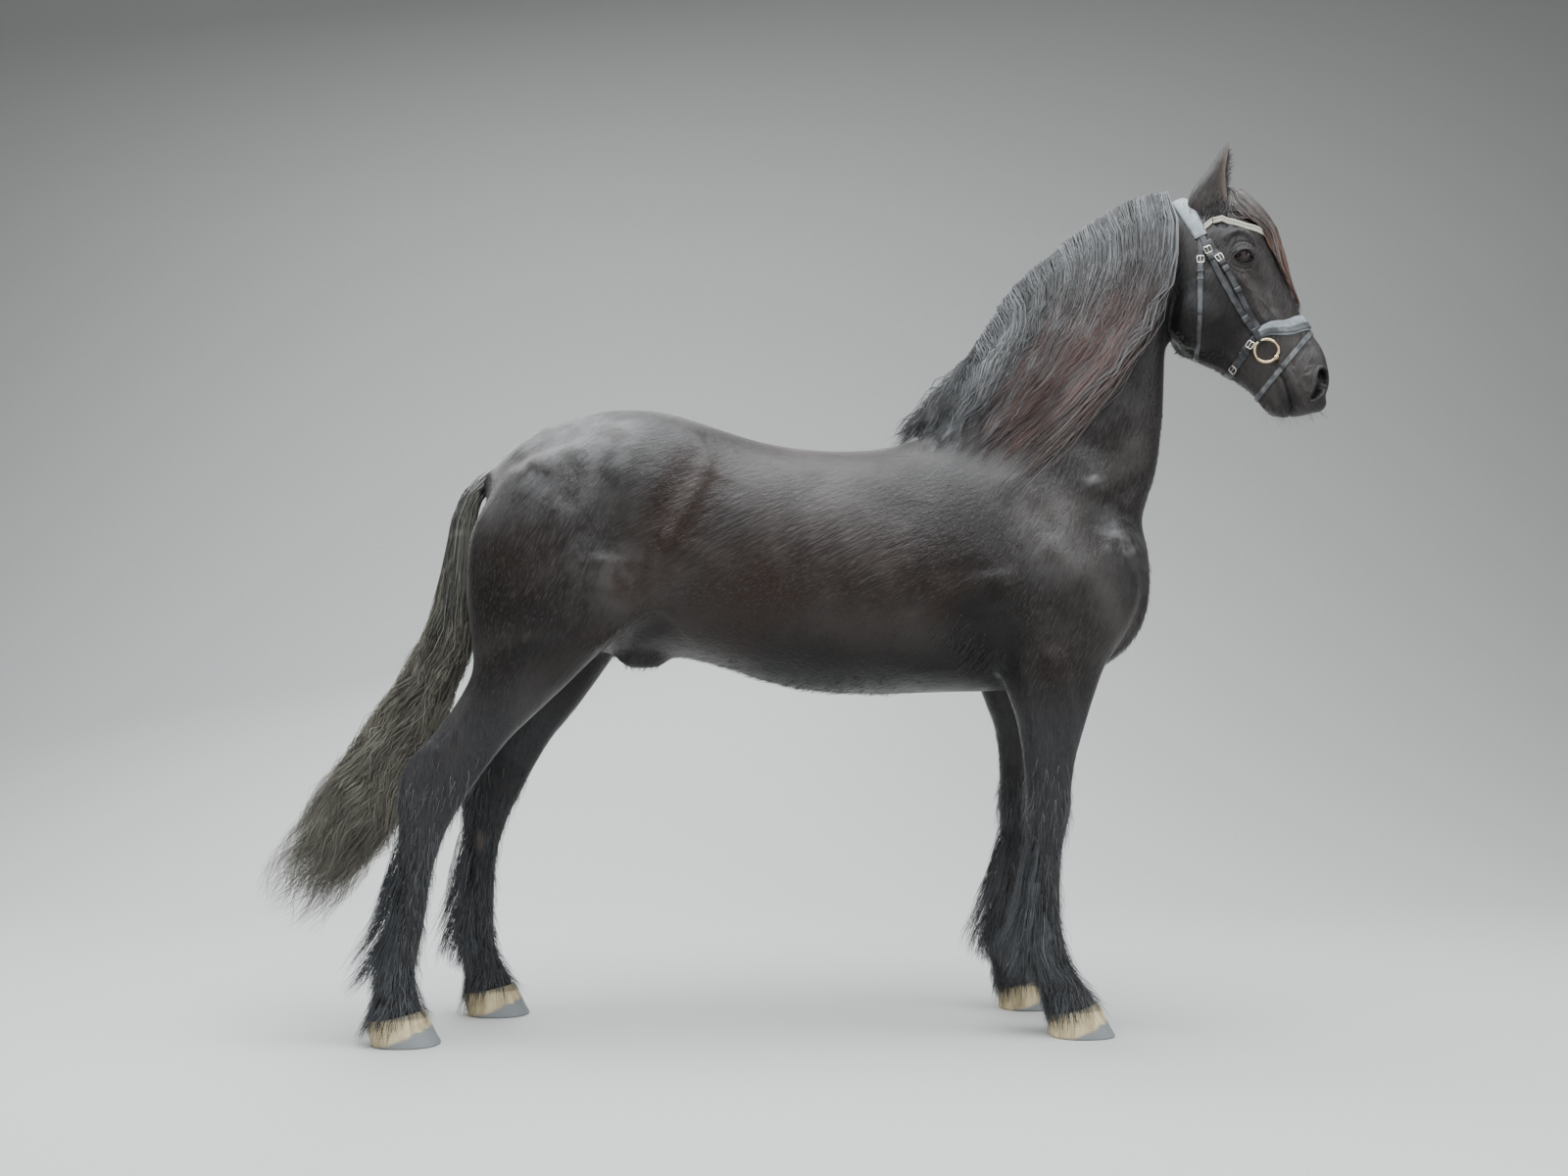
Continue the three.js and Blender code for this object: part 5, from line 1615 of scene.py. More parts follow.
@dataclass
class SideDepth:
    """How far the straight horse's skin stands out to one side, on a grid in the side view.

    Attributes:
        tree: the skin's ray-casting tree.
        side: the side.
        low: x and z of the grid's first corner.
        high: x and z of its last corner.
        step: from one place to the next.
        grid: the distances from the middle.
    """

    tree: BVHTree
    side: int
    low: tuple[float, float]
    high: tuple[float, float]
    step: float = 8
    grid: np.ndarray = field(init=False)

    def __post_init__(self) -> None:
        """Measures the skin at each place, then evens it out."""
        xs = np.arange(self.low[0], self.high[0] + self.step, self.step)
        zs = np.arange(self.low[1], self.high[1] + self.step, self.step)
        inward = Vector((0, -self.side, 0))
        self.grid = np.zeros((len(xs), len(zs)))
        for i, x in enumerate(xs):
            for j, z in enumerate(zs):
                hit = self.tree.ray_cast(Vector((x, 600 * self.side, z)), inward)[0]
                self.grid[i, j] = abs(hit.y) if hit and hit.y * self.side > 0 else 0
        for _ in range(4):
            padded = np.pad(self.grid, 1, mode="edge")
            near = [padded[:-2, 1:-1], padded[2:, 1:-1], padded[1:-1, :-2], padded[1:-1, 2:]]
            self.grid = 0.5 * self.grid + 0.125 * sum(near)

    def at(self, x: np.ndarray, z: np.ndarray) -> np.ndarray:
        """The distance from the middle at side-view places."""
        return between(self.grid, (x - self.low[0]) / self.step, (z - self.low[1]) / self.step)


CREST = [(ux, 0, uz) for ux, uz, *_ in NECK]


def wave(length: np.ndarray, long: np.ndarray, phase: np.ndarray) -> np.ndarray:
    """A wave along hairs, from -1 to 1, at lengths from their roots."""
    return np.sin(math.tau * length / long + phase)


@dataclass(kw_only=True)
class Locks:
    """Long hair that grows in locks.

    Attributes:
        locks: how many locks there are.
        hairs: how many hairs each lock has.
        steps: points along each hair.
        seed: the seed of the draws.
        taper: breadth of a hair by its length.
    """

    locks: int
    hairs: int
    steps: int
    seed: int
    taper: Pairs = ((0, 0.8), (0.1, 1), (0.6, 0.8), (1, 0.15))

    def draws(self) -> tuple[np.random.Generator, int, np.ndarray, Callable, Callable]:
        """The generator, the number of hairs, the lock of each, and draws by the lock and by the hair."""
        rng = np.random.default_rng(self.seed)
        count = self.locks * self.hairs
        lock = np.repeat(np.arange(self.locks), self.hairs)
        per = lambda low, high: rng.uniform(low, high, self.locks)[lock]
        each = lambda low, high: rng.uniform(low, high, count)
        return rng, count, lock, per, each


@dataclass(kw_only=True)
class Mane(Locks):
    """Wavy locks that rise from the crest, fall to the right and sweep back."""

    depth: SideDepth
    locks: int = 112
    hairs: int = 58
    steps: int = 13
    seed: int = 5
    taper: Pairs = ((0, 0.7), (0.1, 1), (0.6, 0.8), (1, 0.15))
    first: float = 0.13  # share of the crest at which the mane starts
    lifts: tuple = (9, 22, 35)  # how far the three layers lie off the neck
    reaches: tuple = (1.02, 0.95, 0.82)  # how far down each layer comes
    end_x: tuple = ((0.1, 296), (0.3, 368), (0.5, 430), (0.7, 480), (0.85, 548), (1, 618))
    end_z: tuple = ((0.1, 1558), (0.3, 1540), (0.5, 1522), (0.7, 1505), (0.85, 1452), (1, 1432))
    bow_ahead: tuple = ((0.13, -56), (0.5, -30), (0.8, 15), (1, 56))
    bow_high: tuple = ((0.13, 0.75), (0.5, 0.55), (0.8, 0.5), (1, 0.49))

    def strands(self) -> Strands:
        """All the mane's strands, lock by lock from the withers to the poll."""
        rng, count, lock, per, each = self.draws()
        place = np.clip((lock + 0.5 + per(-0.6, 0.6)) / self.locks * 0.86 + self.first, self.first, 0.99)
        spread = rng.normal(0, 0.5, count).clip(-1, 1)
        root_place = np.clip(place + spread * 0.02, 0.12, 0.992)
        root = curve_at(CREST, root_place)
        ahead = unit(curve_at(CREST, np.minimum(root_place + 0.01, 1)) - root)
        up = columns(-ahead[:, 2], 0, ahead[:, 0])
        lift = (np.take(self.lifts, lock % 3) + per(-4, 4)) * along(((self.first, 0.35), (0.45, 1)), place)
        reach = np.take(self.reaches, lock % 3) * per(0.82, 1.06) * each(0.8, 1.03)
        end = columns(
            root[:, 0] + reach * (along(self.end_x, place) - root[:, 0]) + per(-26, 26),
            root[:, 2] + reach * (along(self.end_z, place) - root[:, 2]) + per(-24, 24),
        )
        start = root[:, [0, 2]]
        high = end[:, 1] + along(self.bow_high, place) * (start[:, 1] - end[:, 1])
        bow = columns(start[:, 0] + along(self.bow_ahead, place) + per(-14, 14), high)
        t = np.concatenate([[0, 0.03], np.linspace(0.09, 1, self.steps - 2)])[None, :, None]
        flat = (1 - t) ** 2 * start[:, None] + 2 * t * (1 - t) * bow[:, None] + t**2 * end[:, None]
        tangent = unit(np.gradient(flat, axis=1))
        normal = columns(-tangent[..., 1], tangent[..., 0])
        t = t[..., 0]
        broad = np.interp(t, [0, 0.15, 0.5, 0.85, 1], [0.3, 1, 0.95, 0.6, 0.35]) * per(18, 34)[:, None]
        length = np.cumsum(np.linalg.norm(np.diff(flat, axis=1, prepend=flat[:, :1]), axis=2), axis=1)
        phase, long = per(0, 6.28)[:, None], per(95, 190)[:, None]
        grow = smoothstep(t, 0.1, 0.55)
        sway = grow * per(5, 13)[:, None] * wave(length, long, phase)
        frizz = grow * each(0.5, 3.0)[:, None] * wave(length, each(45, 95)[:, None], each(0, 6.28)[:, None])
        loose = np.where(each(0, 1) < 0.1, each(6, 30), 0)[:, None] * grow * np.sign(spread)[:, None]
        flat = flat + normal * (spread[:, None] * broad + sway + frizz + loose)[..., None]
        skin = self.depth.at(flat[..., 0], flat[..., 1])
        thick = each(-6, 6)[:, None] * np.interp(t, [0, 0.3, 1], [0.4, 1, 0.5])
        bob = grow * 3 * wave(length, long, phase + 1.3)
        lie = skin + lift[:, None] * np.interp(t, [0, 0.2, 1], [1, 1, 0.7]) + thick + bob
        sideways = rng.uniform(-18, 14, count)
        over = smoothstep(t, 0.0, 0.2)
        path = columns(flat[..., 0], -lie, flat[..., 1])
        height = np.interp(t, [0, 0.03, 0.09, 0.16, 0.28, 1], [-8, 0.75, 1.05, 0.8, 0, 0])
        rise = np.where(t == 0, -8, height * (lift[:, None] + 2 + thick * 0.4))
        top = root[:, None] + up[:, None] * rise[..., None]
        top[..., 1] = sideways[:, None] - t * 260
        keep = smoothstep(t, 0.05, 0.26)[..., None]
        path = top * (1 - keep) + path * keep
        path[..., 1] = np.where(over < 1, np.maximum(path[..., 1], -lie), path[..., 1])
        out = unit(
            columns(0 * t + 0.05, -(0.25 + over), np.maximum(0, 1.2 - 7 * t) + 0 * over)
            * np.ones((count, 1, 1))
        )
        width = each(0.8, 1.6)[:, None] * along(self.taper, t)
        red = smoothstep(place, 0.5, 0.85) * per(0.35, 1.0)
        faded = along(((self.first, 0.22), (0.5, 0)), place)
        tone = np.clip(per(0.05, 0.8) + each(-0.25, 0.3) + faded, 0, 1)
        roots = columns(root_place, 0.5 + sideways / 44)
        return Strands(path, width * np.ones_like(lie), out, roots, tone, red)


@dataclass(kw_only=True)
class Forelock(Locks):
    """Locks that rise between the ears and lie down the middle of the face."""

    tree: BVHTree
    locks: int = 30
    hairs: int = 39
    steps: int = 13
    seed: int = 9
    taper: Pairs = ((0, 0.7), (0.1, 1), (0.6, 0.9), (1, 0.25))
    lifts: tuple = (12, 20, 28)  # how far the three layers lie off the face
    swell: Pairs = ((0, 0.6), (0.15, 1.3), (0.5, 1.15), (0.85, 0.5), (1, 0.3))  # of that, by length
    first: float = 0.085  # share of the face's line at which the hair grows
    widest: float = 84
    near_at: tuple = ((0, 16), (0.08, 40), (0.22, 70), (0.42, 74), (0.7, 56), (1, 30))
    far_at: tuple = ((0, 12), (0.08, 20), (0.3, 46), (0.7, 38), (1, 22))

    def strands(self) -> Strands:
        """All the forelock's strands."""
        rng, count, lock, per, each = self.draws()
        line = [(ux, 0, uz) for ux, uz, *_ in HEAD[1:11]]
        middle = np.clip((lock + 0.5) / self.locks * 2 - 1 + per(-0.08, 0.08), -1, 1)
        spread = np.clip(middle + rng.normal(0, 0.09, count), -1.1, 1.1)
        tip = 0.84 - 0.22 * middle**2 - per(0, 0.08) - each(0, 0.09)
        t = np.linspace(0, 1, self.steps)[None, :]
        share = self.first + t * (tip[:, None] - self.first)
        centre, outward = self.face(line)
        lift = (np.take(self.lifts, lock % 3) + per(-3, 3))[:, None] + each(-4, 4)[:, None]
        lift = np.where(t == 0, -10, lift * along(self.swell, t))
        pull = np.where(middle[:, None] < 0, along(self.near_at, t), along(self.far_at, t))
        gather = np.interp(t, [0, 0.4, 1], [1, 1, 0.5])
        off = (spread - middle)[:, None] * gather
        long = per(90, 150)[:, None]
        length = t * (tip[:, None] - self.first) * 560
        sway = smoothstep(t, 0.1, 0.6) * per(4, 9)[:, None]
        y = (middle[:, None] + off) * pull + sway * wave(length, long, per(0, 6)[:, None])
        y += smoothstep(t, 0.2, 0.7) * each(-2.4, 2.4)[:, None] * np.sin(length / 9 + each(0, 6)[:, None])
        y = np.clip(y, -self.widest, self.widest)
        reach = self.reach_grid(centre, outward)
        places = np.linspace(0, 1, 60)
        base, way = (
            columns(*(np.interp(share, places, line[:, k]) for k in (0, 2))) for line in (centre, outward)
        )
        distance = between(reach, share * 59, (y + 110) / 5) + lift
        path = columns(base[..., 0] + way[..., 0] * distance, y, base[..., 1] + way[..., 1] * distance)
        out = unit(columns(way[..., 0], y / 70, way[..., 1]))
        width = each(0.8, 1.5)[:, None] * along(self.taper, t)
        tone = np.clip(per(0.0, 0.95) + each(-0.25, 0.25), 0, 1)
        roots = columns(0.5 + spread * 0.4, each(0.1, 0.9))
        return Strands(path, width, out, roots, tone, per(0.6, 1.0))

    def face(self, line: Sequence[tuple[float, float, float]]) -> tuple[np.ndarray, np.ndarray]:
        """Points inside the head along the face's middle, and the ways out from them."""
        share = np.linspace(0, 1, 60)
        on = curve_at(line, share)
        tangent = unit(np.gradient(on, axis=0))
        outward = columns(-tangent[:, 2], 0, tangent[:, 0])
        return on - 60 * outward, outward

    def reach_grid(self, centre: np.ndarray, outward: np.ndarray) -> np.ndarray:
        """How far the skin lies from the inner points, by share and by y from -110 to 110."""
        grid = np.zeros((60, 45))
        for i in range(60):
            for j, y in enumerate(np.linspace(-110, 110, 45)):
                start = Vector(centre[i] + 220 * outward[i]) + Vector((0, y, 0))
                hit = self.tree.ray_cast(start, Vector(-outward[i]))[0]
                if hit:
                    grid[i, j] = 220 - (hit - start).length
        return grid


@dataclass(kw_only=True)
class Tail(Locks):
    """Long wavy hair that hangs from all round the dock and widens to a wispy end."""

    locks: int = 84
    hairs: int = 40
    steps: int = 18
    seed: int = 17
    taper: Pairs = ((0, 0.8), (0.1, 1), (0.7, 0.8), (1, 0.15))
    end: tuple[float, float, float] = (-1322, 0, 268)

    def strands(self) -> Strands:
        """All the tail's strands, from the inner locks to the outer."""
        rng, count, lock, per, each = self.draws()
        layer = (np.arange(self.locks) / self.locks)[lock]
        around = (np.arange(self.locks) * GOLDEN)[lock] + rng.normal(0, 0.16, count)
        start = np.clip(0.01 + 0.3 * (1 - layer) ** 0.8 + each(-0.02, 0.02), 0.003, 0.33)
        last = 1 - per(0, 0.28) ** 1.5 - each(0, 0.2) * (0.4 + 0.6 * per(0, 1))
        t = np.linspace(0, 1, self.steps)[None, :]
        share = start[:, None] + t * (last - start)[:, None]
        rim = (0.35 + 0.62 * np.sqrt(layer))[:, None] + each(-0.07, 0.05)[:, None]
        out = np.interp(t, [0, 0.06, 0.25, 1], [0.0, 0.55, 0.92, 1])
        inner = 1 + 0.7 * np.clip(-np.cos(around), 0, 1)[:, None] * (1 - smoothstep(share, 0.2, 0.5))
        deep = along(TAIL_DEEP, share) * rim * inner
        wide = along(TAIL_WIDE, share) * rim
        dock = along(((0, 22), (DOCK_END, 11)), share)
        deep, wide = (np.maximum(dock * (1 - out) + value * out, 0) for value in (deep, wide))
        middle = curve_at([*TAIL_LINE, self.end], share.ravel()).reshape(*share.shape, 3)
        ahead = unit(np.gradient(middle, axis=1))
        back = columns(ahead[..., 2], 0 * share, -ahead[..., 0])
        length = (share - start[:, None]) * 1360
        long, phase = per(130, 240)[:, None], per(0, 6.28)[:, None]
        grow = smoothstep(t, 0.12, 0.5)
        swell = grow * per(0.1, 0.24)[:, None] * wave(length, long, phase)
        twist = grow * per(0.1, 0.34)[:, None] * wave(length, long * 1.3, 2 * phase)
        angle = around[:, None] + twist
        cos, sin = np.cos(angle) * (1 + swell), np.sin(angle) * (1 + swell)
        point = middle + back * (deep * cos)[..., None]
        point[..., 1] += wide * sin
        frizz = grow[..., None] * rng.normal(0, 5.2, (count, 1, 3))
        point = point + frizz * wave(length, each(50, 110)[:, None], each(0, 6.28)[:, None])[..., None]
        outward = back * cos[..., None]
        outward[..., 1] += sin
        width = each(0.9, 1.8)[:, None] * along(self.taper, t)
        tone = np.clip(per(0.05, 0.85) + each(-0.25, 0.25), 0, 1)
        roots = columns(0.05 + 2.7 * start, (around / (math.tau)) % 1 * 0.98 + 0.01)
        return Strands(point, width, unit(outward), roots, tone, per(0.2, 1.0))


@dataclass(kw_only=True)
class Feather(Locks):
    """The long tuft behind one cannon and fetlock."""

    leg: Leg
    locks: int = 44
    hairs: int = 17
    steps: int = 10
    heights: tuple = (150, 250, 350, 500)
    spreads: tuple = (92, 84, 60, 36)  # by height, how far round the leg it grows, in degrees
    falls: tuple = (48, 116, 190, 200)  # by height, how far it falls
    flares: tuple = (60, 104, 96, 40)  # by height, how far its tips stand off

    def reach(self, z: np.ndarray, away: np.ndarray) -> tuple[np.ndarray, np.ndarray]:
        """The leg's middle x at heights, and how far its skin is from there in a direction."""
        front, back, half = self.leg.at(z)
        return (front + back) / 2, 1 / np.hypot(2 * away[0] / (front - back), away[1] / half)

    def strands(self) -> Strands:
        """All the tuft's strands on this leg."""
        rng, count, lock, per, each = self.draws()
        level = ((np.arange(self.locks) + 0.5) / self.locks)[lock]
        root = 168 + 330 * (1 - level) ** 1.2 + each(-16, 16)
        limit = np.interp(root, self.heights, self.spreads)
        angle = np.radians(limit * np.sin(np.arange(self.locks) * GOLDEN)[lock] + rng.normal(0, 7, count))
        away = np.stack([-np.cos(angle), np.sin(angle)])
        fall = np.interp(root, self.heights, self.falls) * per(0.85, 1.1) * each(0.8, 1.05)
        behind = 0.25 + 0.75 * np.clip(np.cos(angle), 0, 1) ** 1.5
        flare = np.interp(root, self.heights, self.flares) * behind
        flare *= per(0.55, 1.05) * each(0.8, 1.1)
        t = np.linspace(0, 1, self.steps)[None, :]
        z = root[:, None] - fall[:, None] * t
        middle, reach = self.reach(z, away[:, :, None])
        _, rooted = self.reach(root[:, None], away[:, :, None])
        lift = each(1.5, 8)[:, None]
        out = np.maximum(reach + lift, rooted + flare[:, None] * t**0.9)
        out = np.where(t == 0, reach - 5, out)
        long = per(60, 110)[:, None]
        sway = smoothstep(t, 0.1, 0.6) * per(1, 4)[:, None]
        sway = sway * wave(fall[:, None] * t, long, per(0, 6.28)[:, None])
        gather = rng.normal(0, 6, count)[:, None] * np.interp(t, [0, 0.4, 1], [0.6, 1, 0.8])
        across = np.stack([away[1], -away[0]])
        y = self.leg.side * self.leg.ovals[-1][5]
        point = columns(
            middle + away[0][:, None] * out + across[0][:, None] * (sway + gather),
            y + away[1][:, None] * out + across[1][:, None] * (sway + gather),
            z + rng.normal(0, 1.5, count)[:, None] * t,
        )
        outward = columns(away[0], away[1], 0.1 * np.ones(count))[:, None]
        outward = outward * np.ones((1, self.steps, 1))
        width = each(0.7, 1.4)[:, None] * along(self.taper, t)
        tone = np.clip(per(0.0, 0.6) + each(-0.2, 0.3), 0, 1)
        roots = columns(0.5 + angle / (2.4 * math.pi), 0.05 + 0.9 * (root - 150) / 380)
        return Strands(point, width, unit(outward), roots, tone, per(0, 0.5))


@dataclass(frozen=True)
class FurZone:
    """A stretch of short hair that breaks the skin's outline.

    Attributes:
        weight: takes points and normals, and says how densely the hair grows, from 0 to 1.
        count: how many hairs it has.
        length: the shortest and the longest.
        lie: x and z of the way that the hair lies.
        lift: how far the tips stand off, as a share of the length.
        width: half the breadth of a tuft at its middle.
        steps: points along each.
    """

    weight: Callable[[np.ndarray, np.ndarray], np.ndarray]
    count: int
    length: tuple[float, float]
    lie: tuple[float, float]
    lift: float = 0.18
    width: float = 0.9
    steps: int = 5

    def strands(self, skin: Shape, rng: np.random.Generator) -> Strands:
        """The zone's hair.

        Args:
            skin: what it is rooted in.
            rng: draws its places, lengths and shades.

        Returns:
            The hair.
        """
        a, b, c = (skin.points[skin.faces[:, k]] for k in range(3))
        cross = np.cross(b - a, c - a)
        area = np.linalg.norm(cross, axis=1)
        normals = cross / np.maximum(area, TINY)[:, None]
        share = area * np.clip(self.weight((a + b + c) / 3, normals), 0, 1)
        chosen = rng.choice(len(share), self.count, p=share / share.sum())
        u, v = rng.uniform(size=(2, self.count, 1))
        over = u + v > 1
        u, v = np.where(over, 1 - u, u), np.where(over, 1 - v, v)
        root = a[chosen] + u * (b - a)[chosen] + v * (c - a)[chosen]
        normal = normals[chosen]
        way = np.array([self.lie[0], 0, self.lie[1]]) + rng.normal(0, 0.13, (self.count, 3))
        way = unit(way - normal * np.einsum("ij,ij->i", way, normal)[:, None])
        long = rng.uniform(*self.length, self.count)[:, None, None]
        t = np.linspace(0, 1, self.steps)[None, :, None]
        rise = self.lift * rng.uniform(0.4, 1.3, self.count)[:, None, None]
        path = root[:, None] + long * (t * way[:, None] + rise * t * (1.3 - 0.4 * t) * normal[:, None])
        path[:, 0] -= 2 * normal
        path[..., 2] = np.maximum(path[..., 2], 5)
        curl = rng.normal(0, 0.05, (self.count, 1, 3)) * long * np.sin(3.5 * t)
        width = self.width * rng.uniform(0.6, 1.3, self.count)[:, None] * np.interp(
            t[..., 0], [0, 0.2, 1], [0.9, 1, 0.2]
        )
        out = np.repeat(normal[:, None], self.steps, axis=1)
        tone = rng.uniform(0, 0.8, self.count)
        return Strands(path + curl, width, out, unwrapped(root), tone, rng.uniform(0, 0.5, self.count))


TRUNK_AXIS = 1280  # height of the line that the trunk's unwrap turns about
LEG_TOP = 900  # height below which the unwrap turns about the legs


def unwrapped(points: np.ndarray) -> np.ndarray:
    """Places on an unwrap of the skin: along the body, and round the axis of the trunk or the leg."""
    x, y, z = points.T
    turn = np.arctan2(y, z - TRUNK_AXIS)
    for leg in LEGS:
        front, back, _ = leg.at(z)
        mine = (z < LEG_TOP) & (y * leg.side > 0) & (np.abs(2 * x - front - back) < 300)
        turn = np.where(mine, np.arctan2(np.abs(y) - leg.ovals[-1][5], x - (front + back) / 2), turn)
    level = np.where(z < LEG_TOP, z / LEG_TOP * 0.3, 0.34 + (x + 900) / 2450 * 0.62)
    return columns(np.clip(level, 0.01, 0.99), 0.5 + turn / (2.04 * math.pi))


def near_leg(leg: Leg, low: float, high: float, all_round: float = 0.35) -> Callable:
    """The weight of the hair on one leg between two heights, thickest behind.

    Args:
        leg: the leg.
        low: the lowest height.
        high: the highest.
        all_round: the weight in front, where it is 1 behind.

    Returns:
        A weight for FurZone.
    """

    def weight(points: np.ndarray, normals: np.ndarray) -> np.ndarray:
        """The weight at points of the skin."""
        x, y, z = points.T
        front, back, _ = leg.at(z)
        near = (np.abs(x - (front + back) / 2) < 130) & (y * leg.side > 40)
        fade = smoothstep(z, low, low + 25) * (1 - smoothstep(z, high - 300, high))
        return near * fade * (all_round + (1 - all_round) * smoothstep(-normals[:, 0], -0.2, 0.9))

    return weight


def by_line(radius: float, *places: tuple[float, float], below: float = 2) -> Callable:
    """The weight of hair along a side-view line.

    Args:
        radius: how far the hair reaches to each side of the line.
        *places: x and z of the line's points.
        below: how far up the skin may face.

    Returns:
        A weight for FurZone.
    """
    line = ridge(radius, 1, *places)

    def weight(points: np.ndarray, normals: np.ndarray) -> np.ndarray:
        """The weight at points of the skin."""
        return line.lift(points[:, [0, 2]]) * (normals[:, 2] < below)

    return weight


FRINGES = [
    # belly and sheath, flank, elbows, chest, throat, jaw, chin and brow
    FurZone(
        by_line(60, (-250, 950), (-60, 905), (100, 880), (330, 875), below=-0.4),
        1100, (14, 30), (-0.8, -0.6), 0.3,
    ),
    FurZone(by_line(60, (-430, 985), (-372, 950), (-320, 950)), 260, (12, 26), (-0.3, -1), 0.3),
    FurZone(by_line(34, (-500, 985), (-412, 1045), (-350, 1085)), 420, (14, 34), (-0.5, -0.85), 0.25),
    FurZone(by_line(60, (420, 1030), (470, 985), (530, 930)), 520, (16, 36), (-0.5, -0.9), 0.28),
    FurZone(by_line(70, (985, 1240), (960, 1080), (880, 950)), 700, (12, 26), (-0.25, -1), 0.25),
    FurZone(
        by_line(30, (1060, 1850), (1120, 1800), (1200, 1765), (1290, 1700), below=0.1),
        520, (8, 18), (-0.8, -0.6), 0.3,
    ),
    FurZone(by_line(60, (1010, 1700), (1030, 1560), (990, 1380)), 400, (8, 18), (-0.2, -1), 0.22),
    FurZone(by_line(60, (-760, 1480), (-822, 1300), (-830, 1120)), 500, (8, 16), (-0.2, -1), 0.22),
    FurZone(by_line(40, (1126, 2205), (1180, 2166), (1238, 2205)), 800, (14, 34), (0.1, 1), 0.3, 1.1),
]
# Hair on each leg: its lowest, highest and all-round weight, then the zone's other values
LEG_FUR = {
    "leg_hair": ((150, 740, 0.5), (1500, (30, 66), (-0.12, -1), 0.26, 0.9, 5)),
    "coronet_hair": ((66, 330, 0.7), (780, (34, 70), (-0.1, -1), 0.42, 0.9, 6)),
    "heel_hair": ((58, 300, 0.05), (340, (56, 96), (0.12, -1), 0.26, 1.0, 7)),
    "upper_hair": ((560, 1000, 0.12), (420, (12, 26), (-0.25, -1), 0.16, 0.6, 5)),
}
WHISKERS = [
    FurZone(by_line(46, (1340, 1640), (1400, 1618), (1450, 1640)), 90, (16, 40), (0.4, -0.5), 0.9, 0.32, 6),
    FurZone(by_line(24, (1250, 2006), (1280, 2008)), 8, (20, 38), (0.4, -0.8), 0.9, 0.3, 6),
]


# Ears, eyes and hooves

@dataclass
class Ear:
    """One upright ear: a leaf that curls round an opening which faces forwards and outwards."""

    side: int
    # height, middle x, middle y, half length, half breadth, half opening in degrees, thickness
    sections: tuple = (
        (2150, 1178, 34, 44, 30, 6, 14),
        (2175, 1178, 42, 52, 34, 7, 13),
        (2204, 1180, 50, 55, 34, 10, 11),
        (2232, 1183, 55, 52, 31, 18, 9),
        (2252, 1189, 57, 47, 31, 28, 7),
        (2272, 1199, 60, 40, 29, 40, 5),
        (2294, 1210, 62, 31, 27, 50, 4),
        (2316, 1219, 64, 25, 24, 54, 3.4),
        (2336, 1226, 65, 18, 19, 54, 3),
        (2352, 1231, 65, 12.5, 14, 52, 2.6),
        (2364, 1235, 65, 8, 9, 50, 2.2),
        (2374, 1238, 65, 3.4, 4, 40, 1.6),
    )
    facing: float = 7  # degrees outwards from straight ahead
    rows: int = 40
    lip: int = 33  # points from one edge of the opening round the back to the other

    def fine(self, count: int) -> np.ndarray:
        """Sections at even steps up the ear."""
        return spline(np.asarray(self.sections, float)[None], count)[0]

    def shape(self) -> Shape:
        """The ear as a closed mesh."""
        share = np.linspace(0, 1, self.lip)
        thinner = np.minimum(1, 0.35 + 3.2 * np.sin(math.pi * share))
        rings = []
        for z, x, y, long, broad, gap, thick in self.fine(self.rows):
            angle = np.radians(np.linspace(gap, 360 - gap, self.lip) + self.facing)
            outer = columns(long * np.cos(angle), broad * np.sin(angle))
            room = min(thick, 0.8 * min(long, broad)) * thinner
            inner = outer - unit(outer) * room[:, None]
            ring = np.concatenate([outer, inner[::-1]])
            rings.append(columns(x + ring[:, 0], self.side * (y + ring[:, 1]), z))
        return tube(np.stack(rings))

    def rim(self) -> np.ndarray:
        """How near each point of the mesh lies to the lips of the opening."""
        lip = np.abs(np.linspace(-1, 1, self.lip)) ** 7
        return np.append(np.tile(np.concatenate([lip, lip[::-1]]), self.rows), [0, 1])

    def hairs(self, rng: np.random.Generator, count: int = 260) -> Strands:
        """Long hairs that grow inside the cup and reach over its lips."""
        rows = self.fine(400)
        z = rng.uniform(2236, 2345, count)
        _, x, y, long, broad, gap, _ = rows[np.searchsorted(rows[:, 0], z).clip(0, 399)].T
        lip = np.where(rng.uniform(size=count) < 0.5, gap, 360 - gap) + self.facing
        angle = np.radians(lip + rng.normal(0, 9, count))
        root = columns(x + 0.8 * long * np.cos(angle), self.side * (y + 0.8 * broad * np.sin(angle)), z)
        length = rng.uniform(12, 26, count)[:, None, None] * smoothstep(2390 - z, 0, 90)[:, None, None]
        t = np.linspace(0, 1, 6)[None, :, None]
        way = columns(
            rng.uniform(0.4, 1, count), self.side * rng.uniform(-0.5, 0.35, count),
            rng.uniform(0.2, 1, count),
        )
        path = root[:, None] + length * t * unit(way)[:, None]
        path[..., 0] += (length * t**2)[..., 0] * 0.2
        width = 0.8 * np.interp(t[..., 0], [0, 1], [1, 0.2]) * np.ones((count, 1))
        out = np.ones_like(path) * np.array([0.3, self.side, 0.3])
        spots = columns(0.02 + 0.96 * (z - 2230) / 130, 0.5 + 0.4 * np.sin(angle))
        return Strands(path, width, unit(out), spots, rng.uniform(0.2, 0.9, count), np.zeros(count))


